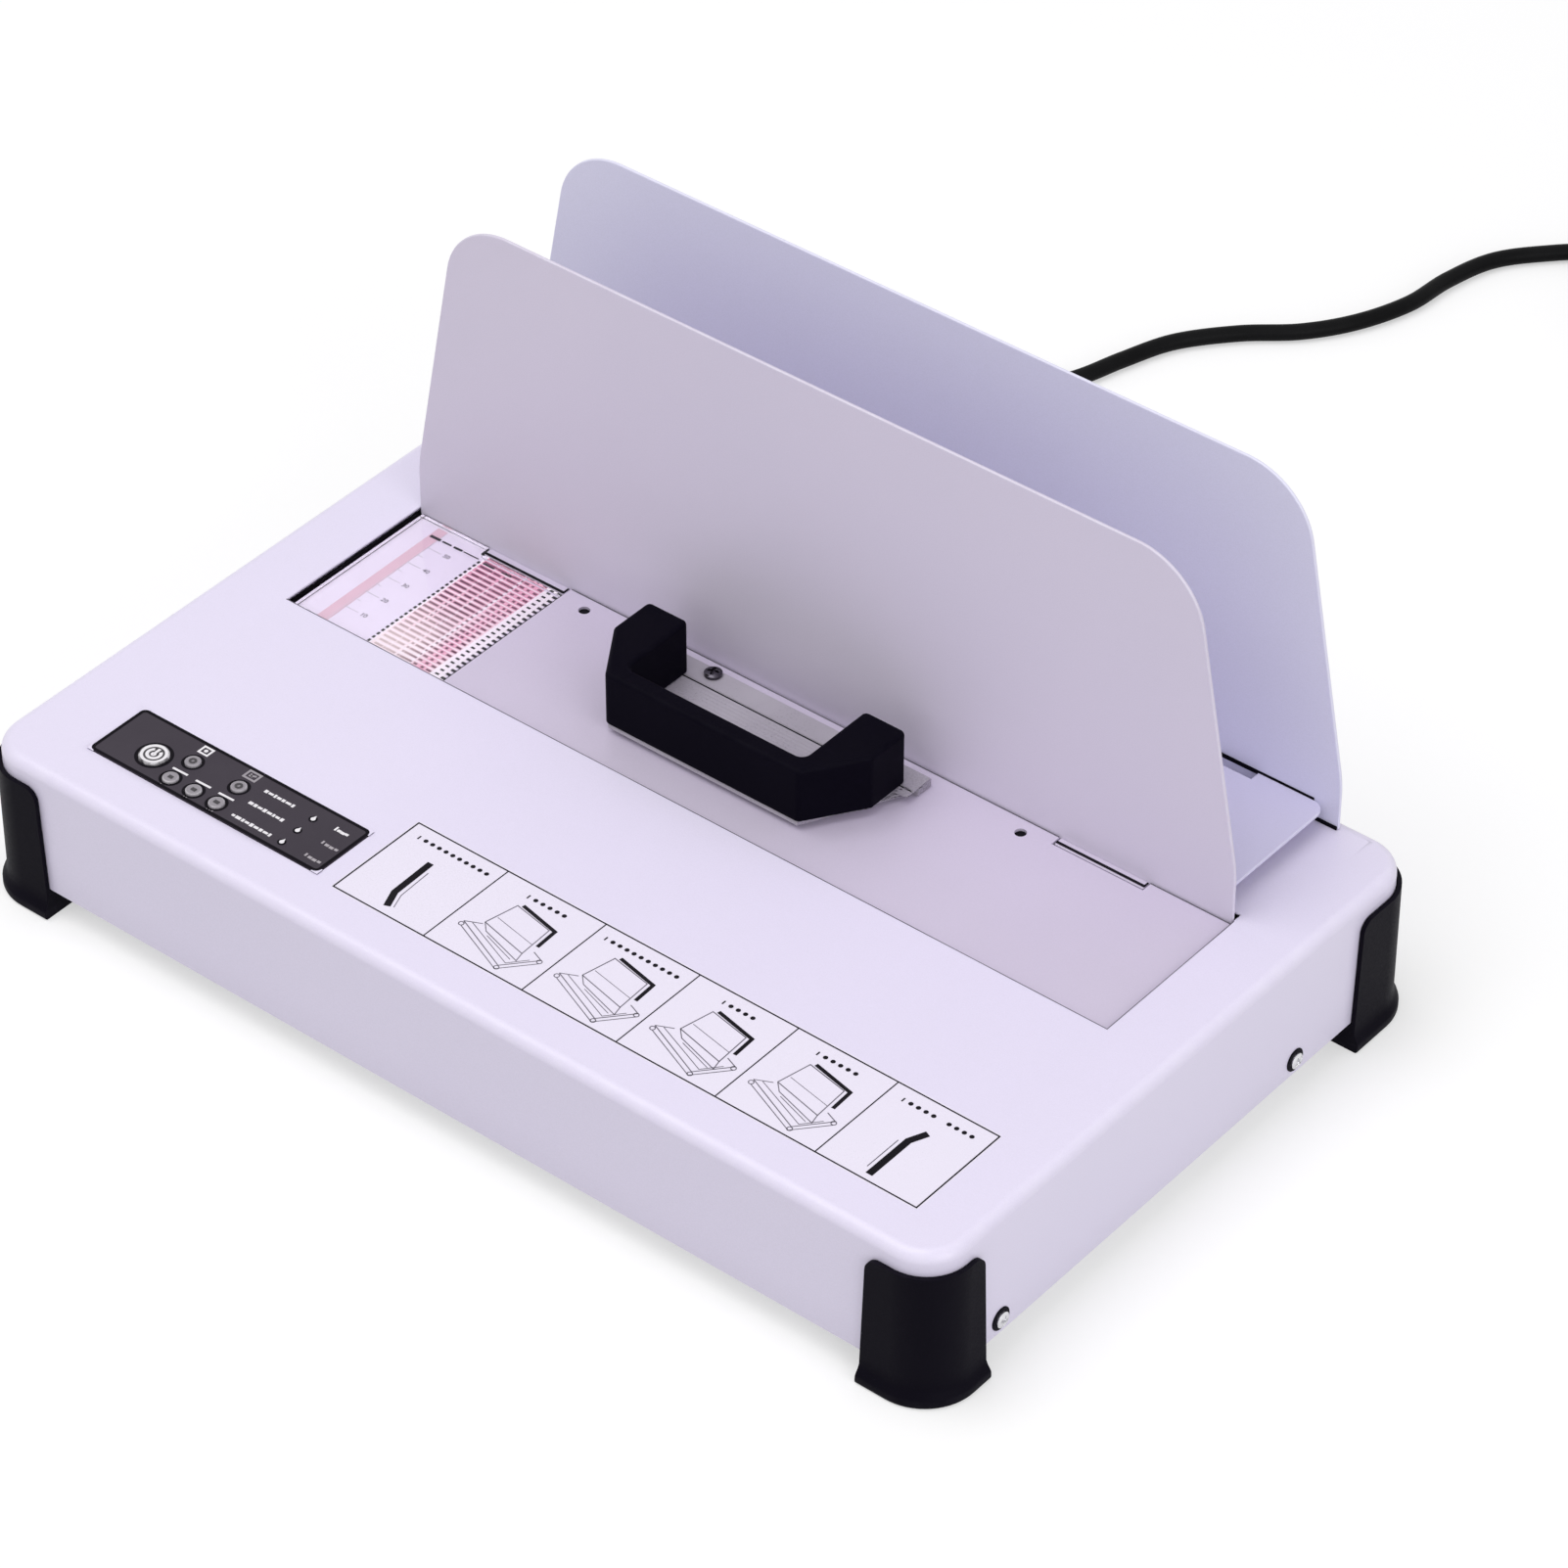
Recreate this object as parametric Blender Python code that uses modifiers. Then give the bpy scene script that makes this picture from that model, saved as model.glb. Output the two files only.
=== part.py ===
# Thermal binding machine: a sheet-metal case on four corner feet, a clamp carriage that slides on two rails,
# a fixed rear plate with its shelf, a heated trough under the carriage, a key panel and a mains lead.
# Metres, +Z up, X to the right, Y to the back. The origin is on the floor under the middle of the case.
import math

import bmesh
import bpy
import numpy as np
from mathutils import Matrix, Vector

MODEL_NAME = "thermal_binding_machine"

# General clearances
GAP = 0.0003
OVERRUN = 0.004
TINY = 0.00002

# Case
CASE_WIDTH = 0.380
CASE_DEPTH = 0.238
TABLE_HEIGHT = 0.058
GROUND_CLEARANCE = 0.0105
CASE_CORNER_RADIUS = 0.015
CASE_EDGE_RADIUS = 0.004
SHEET = 0.0012
CASE_CORNER_STEPS = 6
CASE_EDGE_STEPS = 3
HALF_WIDTH = CASE_WIDTH / 2
HALF_DEPTH = CASE_DEPTH / 2
FRONT_FACE = -HALF_DEPTH
CASE_BOTTOM = GROUND_CLEARANCE

# Where the two plates stand, and the opening in the table
PLATE_SHEET = 0.0012
REAR_PLATE_INSET = 0.0057
PLATE_SPACING = 0.0548
REAR_PLATE_FACE = HALF_DEPTH - REAR_PLATE_INSET
FRONT_PLATE_FACE = REAR_PLATE_FACE - PLATE_SPACING
OPENING_SIDE_MARGIN = 0.025
OPENING_DEPTH = 0.0672
OPENING_BEHIND_PLATE = 0.0035
OPENING_HALF_WIDTH = HALF_WIDTH - OPENING_SIDE_MARGIN
OPENING_REAR = FRONT_PLATE_FACE + OPENING_BEHIND_PLATE
OPENING_FRONT = OPENING_REAR - OPENING_DEPTH

# Clamp carriage
TRAVEL = 0.050
PLATE_HEIGHT = 0.1233
PLATE_SIDE_CLEARANCE = 0.0006
PLATE_TAPER = 0.0164
PLATE_HALF_FOOT = OPENING_HALF_WIDTH - PLATE_SIDE_CLEARANCE
PLATE_STRAIGHT_HEIGHT = 0.018
PLATE_SHOULDER_HEIGHT = 0.104
PLATE_CORNER_RADIUS = 0.026
COVER_DROP = 0.0016
COVER_SHEET = 0.0010
COVER_LEFT_GAP = 0.0020
COVER_RIGHT_GAP = 0.0008
COVER_TUCK = 0.0058
SCALE_WIDTH = 0.064
TRAY_DROP = 0.0033
SCALE_SHEET = 0.0004
SLOT_WIDTH = 0.035
SLOT_DEPTH = 0.0042
SLOT_INSET = 0.0485
SLOT_CENTRE = OPENING_HALF_WIDTH - SLOT_INSET
PEEP_HOLE_RADIUS = 0.0020
PEEP_HOLE_INSET = 0.0281
PEEP_HOLE_OFFSET = SLOT_CENTRE - PEEP_HOLE_INSET
PEEP_HOLE_SETBACK = 0.0062
BAR_DEPTH = 0.018
BAR_SHEET = 0.0028
BAR_STEP_INSET = 0.0015

# Rails
RAIL_RADIUS = 0.004
RAIL_CLEARANCE = 0.0001
RAIL_INSET = 0.014
RAIL_OFFSET = HALF_WIDTH - RAIL_INSET
RAIL_DROP = 0.017
BLOCK_WIDTH = 0.016
BLOCK_LENGTH = 0.024
BLOCK_BELOW_RAIL = 0.007
SUPPORT_WIDTH = 0.012
SUPPORT_LENGTH = 0.010
SUPPORT_ABOVE_RAIL = 0.007
RAIL_END_OVERHANG = 0.001
RAIL_FRONT_MARGIN = 0.0035
RAIL_REAR_MARGIN = 0.0085
RAIL_REAR = FRONT_PLATE_FACE + RAIL_REAR_MARGIN + SUPPORT_LENGTH + RAIL_END_OVERHANG
RAIL_FRONT = (FRONT_PLATE_FACE - BLOCK_LENGTH - TRAVEL - RAIL_FRONT_MARGIN - SUPPORT_LENGTH
              - RAIL_END_OVERHANG)
RAIL_LENGTH = RAIL_REAR - RAIL_FRONT
BAR_HALF_WIDTH = RAIL_OFFSET + BLOCK_WIDTH / 2

# Rear plate and shelf
TONGUE_INSET = 0.0744
TONGUE_HALF_WIDTH = PLATE_HALF_FOOT - TONGUE_INSET
TONGUE_DEPTH = 0.021
TONGUE_CLEARANCE = 0.0005
CLAMP_BAR_HEIGHT = 0.012
CLAMP_BAR_INSET = 0.004
SHELF_RISE = 0.0075
SHELF_INSET = 0.005
SHELF_HALF_WIDTH = OPENING_HALF_WIDTH - SHELF_INSET
SHELF_CORNER_RADIUS = 0.005
SHELF_SETBACK = 0.001
SHELF_FRONT = OPENING_REAR + SHELF_SETBACK
SHELF_NOTCH_DEPTH = 0.0038
SHELF_LIP_INSET = 0.004

# Heated trough
TROUGH_SIDE_INSET = 0.002
TROUGH_LENGTH = 0.0713
TROUGH_BACK_SETBACK = 0.0013
TROUGH_HALF_WIDTH = OPENING_HALF_WIDTH - TROUGH_SIDE_INSET
TROUGH_BACK = OPENING_REAR + TROUGH_BACK_SETBACK
TROUGH_FRONT = TROUGH_BACK - TROUGH_LENGTH
TROUGH_DEPTH = 0.026
TROUGH_WALL = 0.0010
TROUGH_RIM_DROP = 0.0095
TROUGH_RAISE_INSET = 0.013
HOT_PLATE_SIDE_GAP = 0.011
HOT_PLATE_BACK_GAP = 0.0028
HOT_PLATE_DEPTH = 0.0555
HOT_PLATE_HALF_WIDTH = TROUGH_HALF_WIDTH - HOT_PLATE_SIDE_GAP
HOT_PLATE_BACK = TROUGH_BACK - HOT_PLATE_BACK_GAP
HOT_PLATE_FRONT = HOT_PLATE_BACK - HOT_PLATE_DEPTH
HOT_PLATE_DROP = 0.012
HOT_PLATE_THICKNESS = 0.005
SKIRT_CLEARANCE = 0.0004
SKIRT_INSET = 0.002
SKIRT_HALF_WIDTH = HOT_PLATE_HALF_WIDTH - SKIRT_INSET
ELEMENT_SIDE_INSET = 0.014
ELEMENT_HALF_WIDTH = HOT_PLATE_HALF_WIDTH - ELEMENT_SIDE_INSET
ELEMENT_INSET = 0.010
ELEMENT_THICKNESS = 0.0026
INSULATOR_WIDTH = 0.008
INSULATOR_INSET = 0.003
THERMOSTAT_RADIUS = 0.008
THERMOSTAT_CAP_RADIUS = 0.0055
THERMOSTAT_X = 0.060
FUSE_RADIUS = 0.0018
FUSE_LENGTH = 0.016
FUSE_X = -0.060
BRACKET_INSET = 0.063
BRACKET_X = TROUGH_HALF_WIDTH - BRACKET_INSET
BRACKET_WIDTH = 0.040
BRACKET_LENGTH = 0.052
BRACKET_SHEET = 0.0015

# Bottom plate
BOTTOM_RISE = 0.0007
BOTTOM_CLEARANCE = 0.0004
BOTTOM_FLANGE_HEIGHT = 0.012
BOTTOM_FLANGE_END_GAP = 0.024
BOTTOM_FLANGE_HALF = HALF_DEPTH - BOTTOM_FLANGE_END_GAP
VENT_COUNT = 9
VENT_LENGTH = 0.030
VENT_WIDTH = 0.003
VENT_PITCH = 0.009
VENT_SETBACK = 0.044
VENT_CENTRE_Y = FRONT_FACE + VENT_SETBACK
VENT_CENTRE_X = -0.070
STANDOFF_RADIUS = 0.003
STANDOFF_HEIGHT = 0.005

# Feet
FOOT_WALL = 0.0015
FOOT_FLARE = 0.0018
FOOT_TOP_DROP = 0.0078
FOOT_LEG_X = 0.0280
FRONT_FOOT_LEG_Y = 0.0250
REAR_FOOT_LEG_Y = 0.0330
FOOT_LEG_DRAFT = 0.0020
FOOT_TOP_RADIUS = 0.0045
FOOT_TOP_STRAIGHT_SHARE = 0.9
FOOT_SOLE_CHAMFER = 0.0008
FOOT_FLARE_HEIGHT = 0.0030
FOOT_FLARE_FADE = 0.0068
FOOT_CORNER_STEPS = 8
FOOT_TOP_STEPS = 5

# Case screws
SCREW_HEAD_RADIUS = 0.0030
SCREW_HEAD_HEIGHT = 0.0016
SCREW_SHANK_RADIUS = 0.0014
SCREW_LENGTH = 0.0075
SCREW_HOLE_RADIUS = 0.0018
SCREW_RISE = 0.0055
SCREW_HEIGHT = CASE_BOTTOM + SCREW_RISE
SCREW_FRONT_SETBACK = 0.0315
SCREW_REAR_INSET = 0.0605
SCREW_FRONT_Y = FRONT_FACE + SCREW_FRONT_SETBACK
SCREW_REAR_Y = HALF_DEPTH - SCREW_REAR_INSET

# Handle
HANDLE_CENTRE = -0.0035
HANDLE_REAR_HALF = 0.052
HANDLE_FRONT_HALF = 0.0387
HANDLE_LEG_WIDTH = 0.0165
HANDLE_PLATE_DISTANCE = 0.0125
HANDLE_DEPTH = 0.037
HANDLE_SHOULDER_DEPTH = 0.017
HANDLE_REAR = FRONT_PLATE_FACE - HANDLE_PLATE_DISTANCE
HANDLE_FRONT = HANDLE_REAR - HANDLE_DEPTH
HANDLE_SHOULDER = HANDLE_REAR - HANDLE_SHOULDER_DEPTH
HANDLE_BAR_DEPTH = 0.0067
HANDLE_HEIGHT = 0.020
HANDLE_BEVEL = 0.0016
BASE_LIFT = 0.0004
BASE_THICKNESS = 0.0015
BASE_HALF_WIDTH = 0.0567
BASE_INSET = 0.0005
BASE_BAND_DEPTH = 0.0125
BASE_PLATE_DISTANCE = 0.006
BASE_REAR = FRONT_PLATE_FACE - BASE_PLATE_DISTANCE
BASE_FOOT_DEPTH = 0.0068
BASE_SCREW_OFFSET = 0.0285
BASE_SCREW_SETBACK = 0.0032

# Key panel
PANEL_SIDE_MARGIN = 0.0292
PANEL_WIDTH = 0.0964
PANEL_LEFT = PANEL_SIDE_MARGIN - HALF_WIDTH
PANEL_RIGHT = PANEL_LEFT + PANEL_WIDTH
PANEL_SETBACK = 0.0184
PANEL_DEPTH = 0.0253
PANEL_FRONT = FRONT_FACE + PANEL_SETBACK
PANEL_REAR = PANEL_FRONT + PANEL_DEPTH
PANEL_THICKNESS = 0.0020
PANEL_PROUD = 0.0003
PANEL_CORNER_RADIUS = 0.0015
PANEL_POST_RADIUS = 0.0014
PANEL_POST_INSET = 0.0040
PANEL_POST_HEIGHT = 0.0030
KEY_CLEARANCE = 0.0003
KEY_PROUD = 0.0007
KEY_FLANGE = 0.0006
KEY_FLANGE_THICKNESS = 0.0007
POWER_KEY_RADIUS = 0.0050
SMALL_KEY_RADIUS = 0.0027
KEY_CROWN_SHARE = 0.12
POWER_KEY_COLUMN = 0.0186
POWER_KEY_ROW = 0.0100
KEY_COLUMN_LEFT = 0.0303
KEY_COLUMN_MIDDLE = 0.0401
KEY_COLUMN_RIGHT = 0.0498
KEY_ROW_FRONT = 0.0051
KEY_ROW_REAR = 0.0152
KEY_PLACES = {
    "key_power": (PANEL_LEFT + POWER_KEY_COLUMN, PANEL_FRONT + POWER_KEY_ROW, POWER_KEY_RADIUS),
    "key_timer": (PANEL_LEFT + KEY_COLUMN_LEFT, PANEL_FRONT + KEY_ROW_REAR, SMALL_KEY_RADIUS),
    "key_start": (PANEL_LEFT + KEY_COLUMN_RIGHT, PANEL_FRONT + KEY_ROW_REAR, SMALL_KEY_RADIUS),
    "key_thin": (PANEL_LEFT + KEY_COLUMN_LEFT, PANEL_FRONT + KEY_ROW_FRONT, SMALL_KEY_RADIUS),
    "key_medium": (PANEL_LEFT + KEY_COLUMN_MIDDLE, PANEL_FRONT + KEY_ROW_FRONT, SMALL_KEY_RADIUS),
    "key_thick": (PANEL_LEFT + KEY_COLUMN_RIGHT, PANEL_FRONT + KEY_ROW_FRONT, SMALL_KEY_RADIUS),
}
LAMP_COLUMN = 0.0781
LAMP_X = PANEL_LEFT + LAMP_COLUMN
LAMP_FIRST_ROW = 0.0041
LAMP_PITCH = 0.0071
LAMP_COUNT = 3
LAMP_ROWS = [PANEL_FRONT + LAMP_FIRST_ROW + index * LAMP_PITCH for index in range(LAMP_COUNT)]
LAMP_RADIUS = 0.0011
LAMP_BAR_WIDTH = 0.0036
LAMP_BAR_THICKNESS = 0.0009
BOARD_INSET = 0.0025
BOARD_THICKNESS = 0.0016
DOME_RADIUS = 0.0022
DOME_HEIGHT = 0.0012

# Power electronics
POWER_BOARD_LEFT = 0.030
POWER_BOARD_SETBACK = 0.019
POWER_BOARD_WIDTH = 0.100
POWER_BOARD_DEPTH = 0.060
POWER_BOARD_LOW = (POWER_BOARD_LEFT, FRONT_FACE + POWER_BOARD_SETBACK)
POWER_BOARD_HIGH = (POWER_BOARD_LEFT + POWER_BOARD_WIDTH, POWER_BOARD_LOW[1] + POWER_BOARD_DEPTH)
STANDOFF_INSET = 0.006
TRANSFORMER_WIDTH = 0.032
TRANSFORMER_DEPTH = 0.028
TRANSFORMER_HEIGHT = 0.022
TRANSFORMER_BEVEL = 0.0018
TRANSFORMER_ACROSS = 0.014
TRANSFORMER_ALONG = 0.016
RELAY_WIDTH = 0.020
RELAY_DEPTH = 0.016
RELAY_HEIGHT = 0.015
RELAY_ACROSS = 0.066
RELAY_ALONG = 0.010
CAPACITOR_RADIUS = 0.006
CAPACITOR_HEIGHT = 0.016
CAPACITOR_ACROSS = 0.058
CAPACITOR_ALONG = 0.046

# Mains switch
SWITCH_INSET = 0.040
SWITCH_X = HALF_WIDTH - SWITCH_INSET
SWITCH_DROP = 0.025
SWITCH_FLANGE_HEIGHT = 0.021
SWITCH_FLANGE_WIDTH = 0.015
SWITCH_FLANGE_THICKNESS = 0.0020
SWITCH_BODY_HEIGHT = 0.0190
SWITCH_BODY_WIDTH = 0.0126
SWITCH_BODY_DEPTH = 0.016
SWITCH_POCKET_HEIGHT = 0.0176
SWITCH_POCKET_WIDTH = 0.0100
SWITCH_POCKET_DEPTH = 0.0120
SWITCH_WALL_CLEARANCE = 0.0003
ROCKER_HALF_HEIGHT = 0.0079
ROCKER_WIDTH = 0.0092
ROCKER_REACH = 0.0042
ROCKER_DISH = 0.0012
ROCKER_DEPTH = 0.0035
ROCKER_SWING = math.radians(16)

# Mains lead
CORD_DIAMETER = 0.0060
CORD_RADIUS = CORD_DIAMETER / 2
CORD_X = -0.120
CORD_EXIT_DROP = 0.025
RELIEF_LENGTH = 0.030
RELIEF_COLLAR_RADIUS = 0.0075
RELIEF_COLLAR_LENGTH = 0.0030
RELIEF_NECK_RADIUS = 0.0050
RELIEF_TIP_RADIUS = 0.0040
RELIEF_NUT_LENGTH = 0.0030
RELIEF_HOLE_CLEARANCE = 0.0003
CORD_STEP = 0.0130
CORD_LIE = CORD_RADIUS + 0.0001
ROUTE_START = (CORD_X, HALF_DEPTH + GAP + RELIEF_LENGTH + GAP, TABLE_HEIGHT - CORD_EXIT_DROP)
ROUTE_POINTS = [
    (-0.1200, 0.1640, 0.0326),
    (-0.1190, 0.1800, 0.0272),
    (-0.1172, 0.1965, 0.0180),
    (-0.1148, 0.2120, 0.0100),
    (-0.1120, 0.2265, 0.0050),
    (-0.1090, 0.2410, CORD_LIE),
    (-0.1053, 0.2590, CORD_LIE),
    (-0.1007, 0.2785, CORD_LIE),
    (-0.0947, 0.2982, CORD_LIE),
    (-0.0867, 0.3171, CORD_LIE),
    (-0.0817, 0.3341, CORD_LIE),
    (-0.0742, 0.3541, CORD_LIE),
    (-0.0597, 0.3726, CORD_LIE),
    (-0.0432, 0.3876, CORD_LIE),
    (-0.0312, 0.4051, CORD_LIE),
    (-0.0234, 0.4261, CORD_LIE),
    (-0.0212, 0.4471, CORD_LIE),
    (-0.0152, 0.4681, CORD_LIE),
    (-0.0007, 0.4861, CORD_LIE),
    (0.0160, 0.5010, 0.0035),
]

# Coil of the length that is put away
COIL_TURN_IN = 2.60
COIL_TURN_OUT = 2.65
COIL_INNER_RADIUS = 0.0240
COIL_PITCH = 0.0066
COIL_LAYER_RISE = 0.0065
COIL_LIFT = 0.0014
COIL_POINTS = 24
COIL_START_ANGLE = math.radians(129.3)
COIL_LEAD_IN = 0.0060
COIL_LEAD_OUT = 0.0300
COIL_START = (0.0400, 0.5250)
TIE_WIDTH = 0.0060
TIE_THICKNESS = 0.0009
TIE_CLEARANCE = 0.0005
TIE_ANGLE = math.radians(-150)
PLUG_TAIL_LENGTH = 0.014
PLUG_TAIL_TIP_RADIUS = 0.0042
PLUG_TAIL_ROOT_RADIUS = 0.0055
PLUG_LENGTH = 0.034
PLUG_WIDTH = 0.025
PLUG_BEVEL = 0.0030
PIN_LENGTH = 0.017
PIN_WIDTH = 0.0062
PIN_THICKNESS = 0.0015
PIN_SPACING = 0.0127
EARTH_PIN_RADIUS = 0.0024
EARTH_PIN_RISE = 0.0050

# Inner leads
LEAD_RADIUS = 0.0015
LEAD_STEP = 0.0075
LEAD_BEND = 0.014
LEAD_DROP_RUN = 0.034
LEAD_LIFT = 0.0008
LEAD_COLUMN_INSET = 0.006
LEAD_END_LAP = 0.006

PARTS = None
CUTTERS = None
MATERIALS = {}


def clear_scene():
    """Empties the file that the script runs in."""
    for obj in list(bpy.data.objects):
        bpy.data.objects.remove(obj, do_unlink=True)
    for collection in list(bpy.data.collections):
        bpy.data.collections.remove(collection)


def make_collections():
    """One collection holds the parts and another the cutters."""
    global PARTS, CUTTERS
    PARTS = bpy.data.collections.new(MODEL_NAME)
    CUTTERS = bpy.data.collections.new(MODEL_NAME + "_cutters")
    bpy.context.scene.collection.children.link(PARTS)
    bpy.context.scene.collection.children.link(CUTTERS)


def make_material(name, colour, roughness, metallic=0.0, alpha=1.0):
    """A Principled material of one colour, roughness and metallic value."""
    material = bpy.data.materials.new(name)
    material.use_nodes = True
    shader = material.node_tree.nodes["Principled BSDF"]
    shader.inputs["Base Color"].default_value = (*colour, 1.0)
    shader.inputs["Roughness"].default_value = roughness
    shader.inputs["Metallic"].default_value = metallic
    shader.inputs["Alpha"].default_value = alpha
    material.diffuse_color = (*colour, alpha)
    MATERIALS[name] = material


def make_materials():
    """The finishes of the machine."""
    make_material("white_paint", (0.80, 0.78, 0.88), 0.35)
    make_material("plate_paint", (0.74, 0.71, 0.80), 0.45)
    make_material("black_plastic", (0.012, 0.011, 0.020), 0.45)
    make_material("panel_film", (0.030, 0.028, 0.034), 0.30)
    make_material("key_plastic", (0.45, 0.44, 0.46), 0.40)
    make_material("clear_plastic", (0.90, 0.90, 0.93), 0.08, 0.0, 0.35)
    make_material("frosted_plastic", (0.72, 0.70, 0.76), 0.35, 0.0, 0.8)
    make_material("scale_paper", (0.90, 0.87, 0.92), 0.60)
    make_material("zinc_steel", (0.62, 0.62, 0.63), 0.38, 1.0)
    make_material("aluminium", (0.80, 0.80, 0.80), 0.35, 1.0)
    make_material("bright_steel", (0.75, 0.75, 0.76), 0.22, 1.0)
    make_material("mica_board", (0.55, 0.47, 0.33), 0.70)
    make_material("ceramic", (0.85, 0.82, 0.75), 0.60)
    make_material("circuit_board", (0.03, 0.22, 0.10), 0.50)
    make_material("acetal", (0.86, 0.86, 0.83), 0.45)
    make_material("rubber_lead", (0.010, 0.010, 0.011), 0.40)
    make_material("lamp_lens", (0.85, 0.88, 0.85), 0.20)
    make_material("brass", (0.78, 0.60, 0.28), 0.30, 1.0)


def place(name, mesh, material, location=(0, 0, 0), rotation=(0, 0, 0), cutter=False):
    """Makes the object of a mesh and links it to its collection."""
    obj = bpy.data.objects.new(name, mesh)
    obj.location = location
    obj.rotation_euler = rotation
    if cutter:
        CUTTERS.objects.link(obj)
        obj.hide_render = True
        obj.display_type = "WIRE"
    else:
        PARTS.objects.link(obj)
        mesh.materials.clear()
        mesh.materials.append(MATERIALS[material])
    return obj


def to_mesh(name, bm):
    """Writes a bmesh to a new mesh with its faces pointing out."""
    bmesh.ops.recalc_face_normals(bm, faces=bm.faces)
    mesh = bpy.data.meshes.new(name)
    bm.to_mesh(mesh)
    bm.free()
    return mesh


def box(name, low, high, material=None, cutter=False, bevel=0.0, bevel_steps=2):
    """A box between two corners, placed by its middle, with its edges rounded where a bevel is given."""
    size = Vector(high) - Vector(low)
    middle = (Vector(high) + Vector(low)) / 2
    bm = bmesh.new()
    bmesh.ops.create_cube(bm, size=1)
    bmesh.ops.scale(bm, vec=size, verts=bm.verts)
    if bevel > 0:
        bmesh.ops.bevel(bm, geom=bm.edges[:], offset=bevel, segments=bevel_steps, profile=0.5,
                        affect="EDGES")
    return place(name, to_mesh(name, bm), material, middle, cutter=cutter)


def rod(name, middle, radius, length, axis, material=None, cutter=False, sides=20):
    """A cylinder along X, Y or Z, placed by its middle."""
    turns = {"x": (0, math.pi / 2, 0), "y": (math.pi / 2, 0, 0), "z": (0, 0, 0)}
    bm = bmesh.new()
    bmesh.ops.create_cone(bm, cap_ends=True, segments=sides, radius1=radius, radius2=radius, depth=length)
    mesh = to_mesh(name, bm)
    smooth(mesh)
    return place(name, mesh, material, middle, turns[axis], cutter)


def smooth(mesh, angle=math.radians(35)):
    """Shades round walls smooth and keeps sharp edges."""
    mesh.shade_smooth()
    mesh.set_sharp_from_angle(angle=angle)


def evaluated_mesh(name, obj):
    """A mesh of the object as it is evaluated, with its loose caps welded."""
    bpy.context.view_layer.update()
    graph = bpy.context.evaluated_depsgraph_get()
    mesh = bpy.data.meshes.new_from_object(obj.evaluated_get(graph))
    mesh.name = name
    bm = bmesh.new()
    bm.from_mesh(mesh)
    bmesh.ops.remove_doubles(bm, verts=bm.verts, dist=TINY)
    bmesh.ops.recalc_face_normals(bm, faces=bm.faces)
    bm.to_mesh(mesh)
    bm.free()
    return mesh


def sheet(name, loops, thickness, material, location, rotation=(0, 0, 0), cutter=False):
    """A flat outline, with any holes as further loops, made as thick as a sheet about its own plane."""
    curve = bpy.data.curves.new(name + "_outline", "CURVE")
    curve.dimensions = "2D"
    curve.fill_mode = "BOTH"
    curve.extrude = thickness / 2
    for loop in loops:
        spline = curve.splines.new("POLY")
        spline.points.add(len(loop) - 1)
        for point, (x, y) in zip(spline.points, loop):
            point.co = (x, y, 0, 1)
        spline.use_cyclic_u = True
    source = bpy.data.objects.new(name + "_outline", curve)
    PARTS.objects.link(source)
    mesh = evaluated_mesh(name, source)
    bpy.data.objects.remove(source, do_unlink=True)
    return place(name, mesh, material, location, rotation, cutter)


def turned(name, profile, material, location, rotation=(0, 0, 0), steps=24):
    """A turned shape about its own Z: the profile gives radius and height from the top down outside."""
    mesh = bpy.data.meshes.new(name)
    points = [(radius, 0, height) for radius, height in profile]
    mesh.from_pydata(points, [(i, i + 1) for i in range(len(points) - 1)], [])
    obj = place(name, mesh, material, location, rotation)
    screw = obj.modifiers.new("turn", "SCREW")
    screw.axis = "Z"
    screw.angle = 2 * math.pi
    screw.steps = steps
    screw.render_steps = steps
    screw.use_merge_vertices = True
    screw.merge_threshold = TINY
    screw.use_smooth_shade = False
    baked = evaluated_mesh(name + "_turned", obj)
    baked.materials.clear()
    baked.materials.append(MATERIALS[material])
    obj.modifiers.clear()
    obj.data = baked
    smooth(baked)
    return obj


def tube(name, points, radius, material, resolution):
    """A round tube with closed ends along a list of points."""
    curve = bpy.data.curves.new(name, "CURVE")
    curve.dimensions = "3D"
    curve.bevel_depth = radius
    curve.bevel_resolution = resolution
    curve.use_fill_caps = True
    spline = curve.splines.new("POLY")
    spline.points.add(len(points) - 1)
    for point, place_of_point in zip(spline.points, points):
        point.co = (*place_of_point, 1)
    obj = bpy.data.objects.new(name, curve)
    PARTS.objects.link(obj)
    curve.materials.append(MATERIALS[material])
    return obj


def combine(obj, other, operation):
    """Adds an exact Boolean of another object to this one."""
    modifier = obj.modifiers.new(operation.lower() + "_" + other.name, "BOOLEAN")
    modifier.operation = operation
    modifier.solver = "EXACT"
    modifier.object = other
    return obj


def cut(obj, *cutters):
    """Cuts each cutter out of the object."""
    for cutter in cutters:
        combine(obj, cutter, "DIFFERENCE")
    return obj


def fuse(obj, *others):
    """Joins each helper shape to the object."""
    for other in others:
        combine(obj, other, "UNION")
    return obj


def rounded(corners, steps=5):
    """An outline through corners (x, y, radius), each rounded by an arc of its own radius."""
    outline = []
    count = len(corners)
    for index, (x, y, radius) in enumerate(corners):
        here = Vector((x, y))
        if radius <= 0:
            outline.append((x, y))
            continue
        before = Vector(corners[index - 1][:2])
        after = Vector(corners[(index + 1) % count][:2])
        to_before = (before - here).normalized()
        to_after = (after - here).normalized()
        half_angle = to_before.angle(to_after) / 2
        reach = radius / math.tan(half_angle)
        middle = here + (to_before + to_after).normalized() * (radius / math.sin(half_angle))
        first = here + to_before * reach - middle
        turn = first.angle_signed(here + to_after * reach - middle)
        for step in range(steps + 1):
            arm = first.copy()
            arm.rotate(Matrix.Rotation(-turn * step / steps, 2))
            outline.append(tuple(middle + arm))
    return outline


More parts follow.
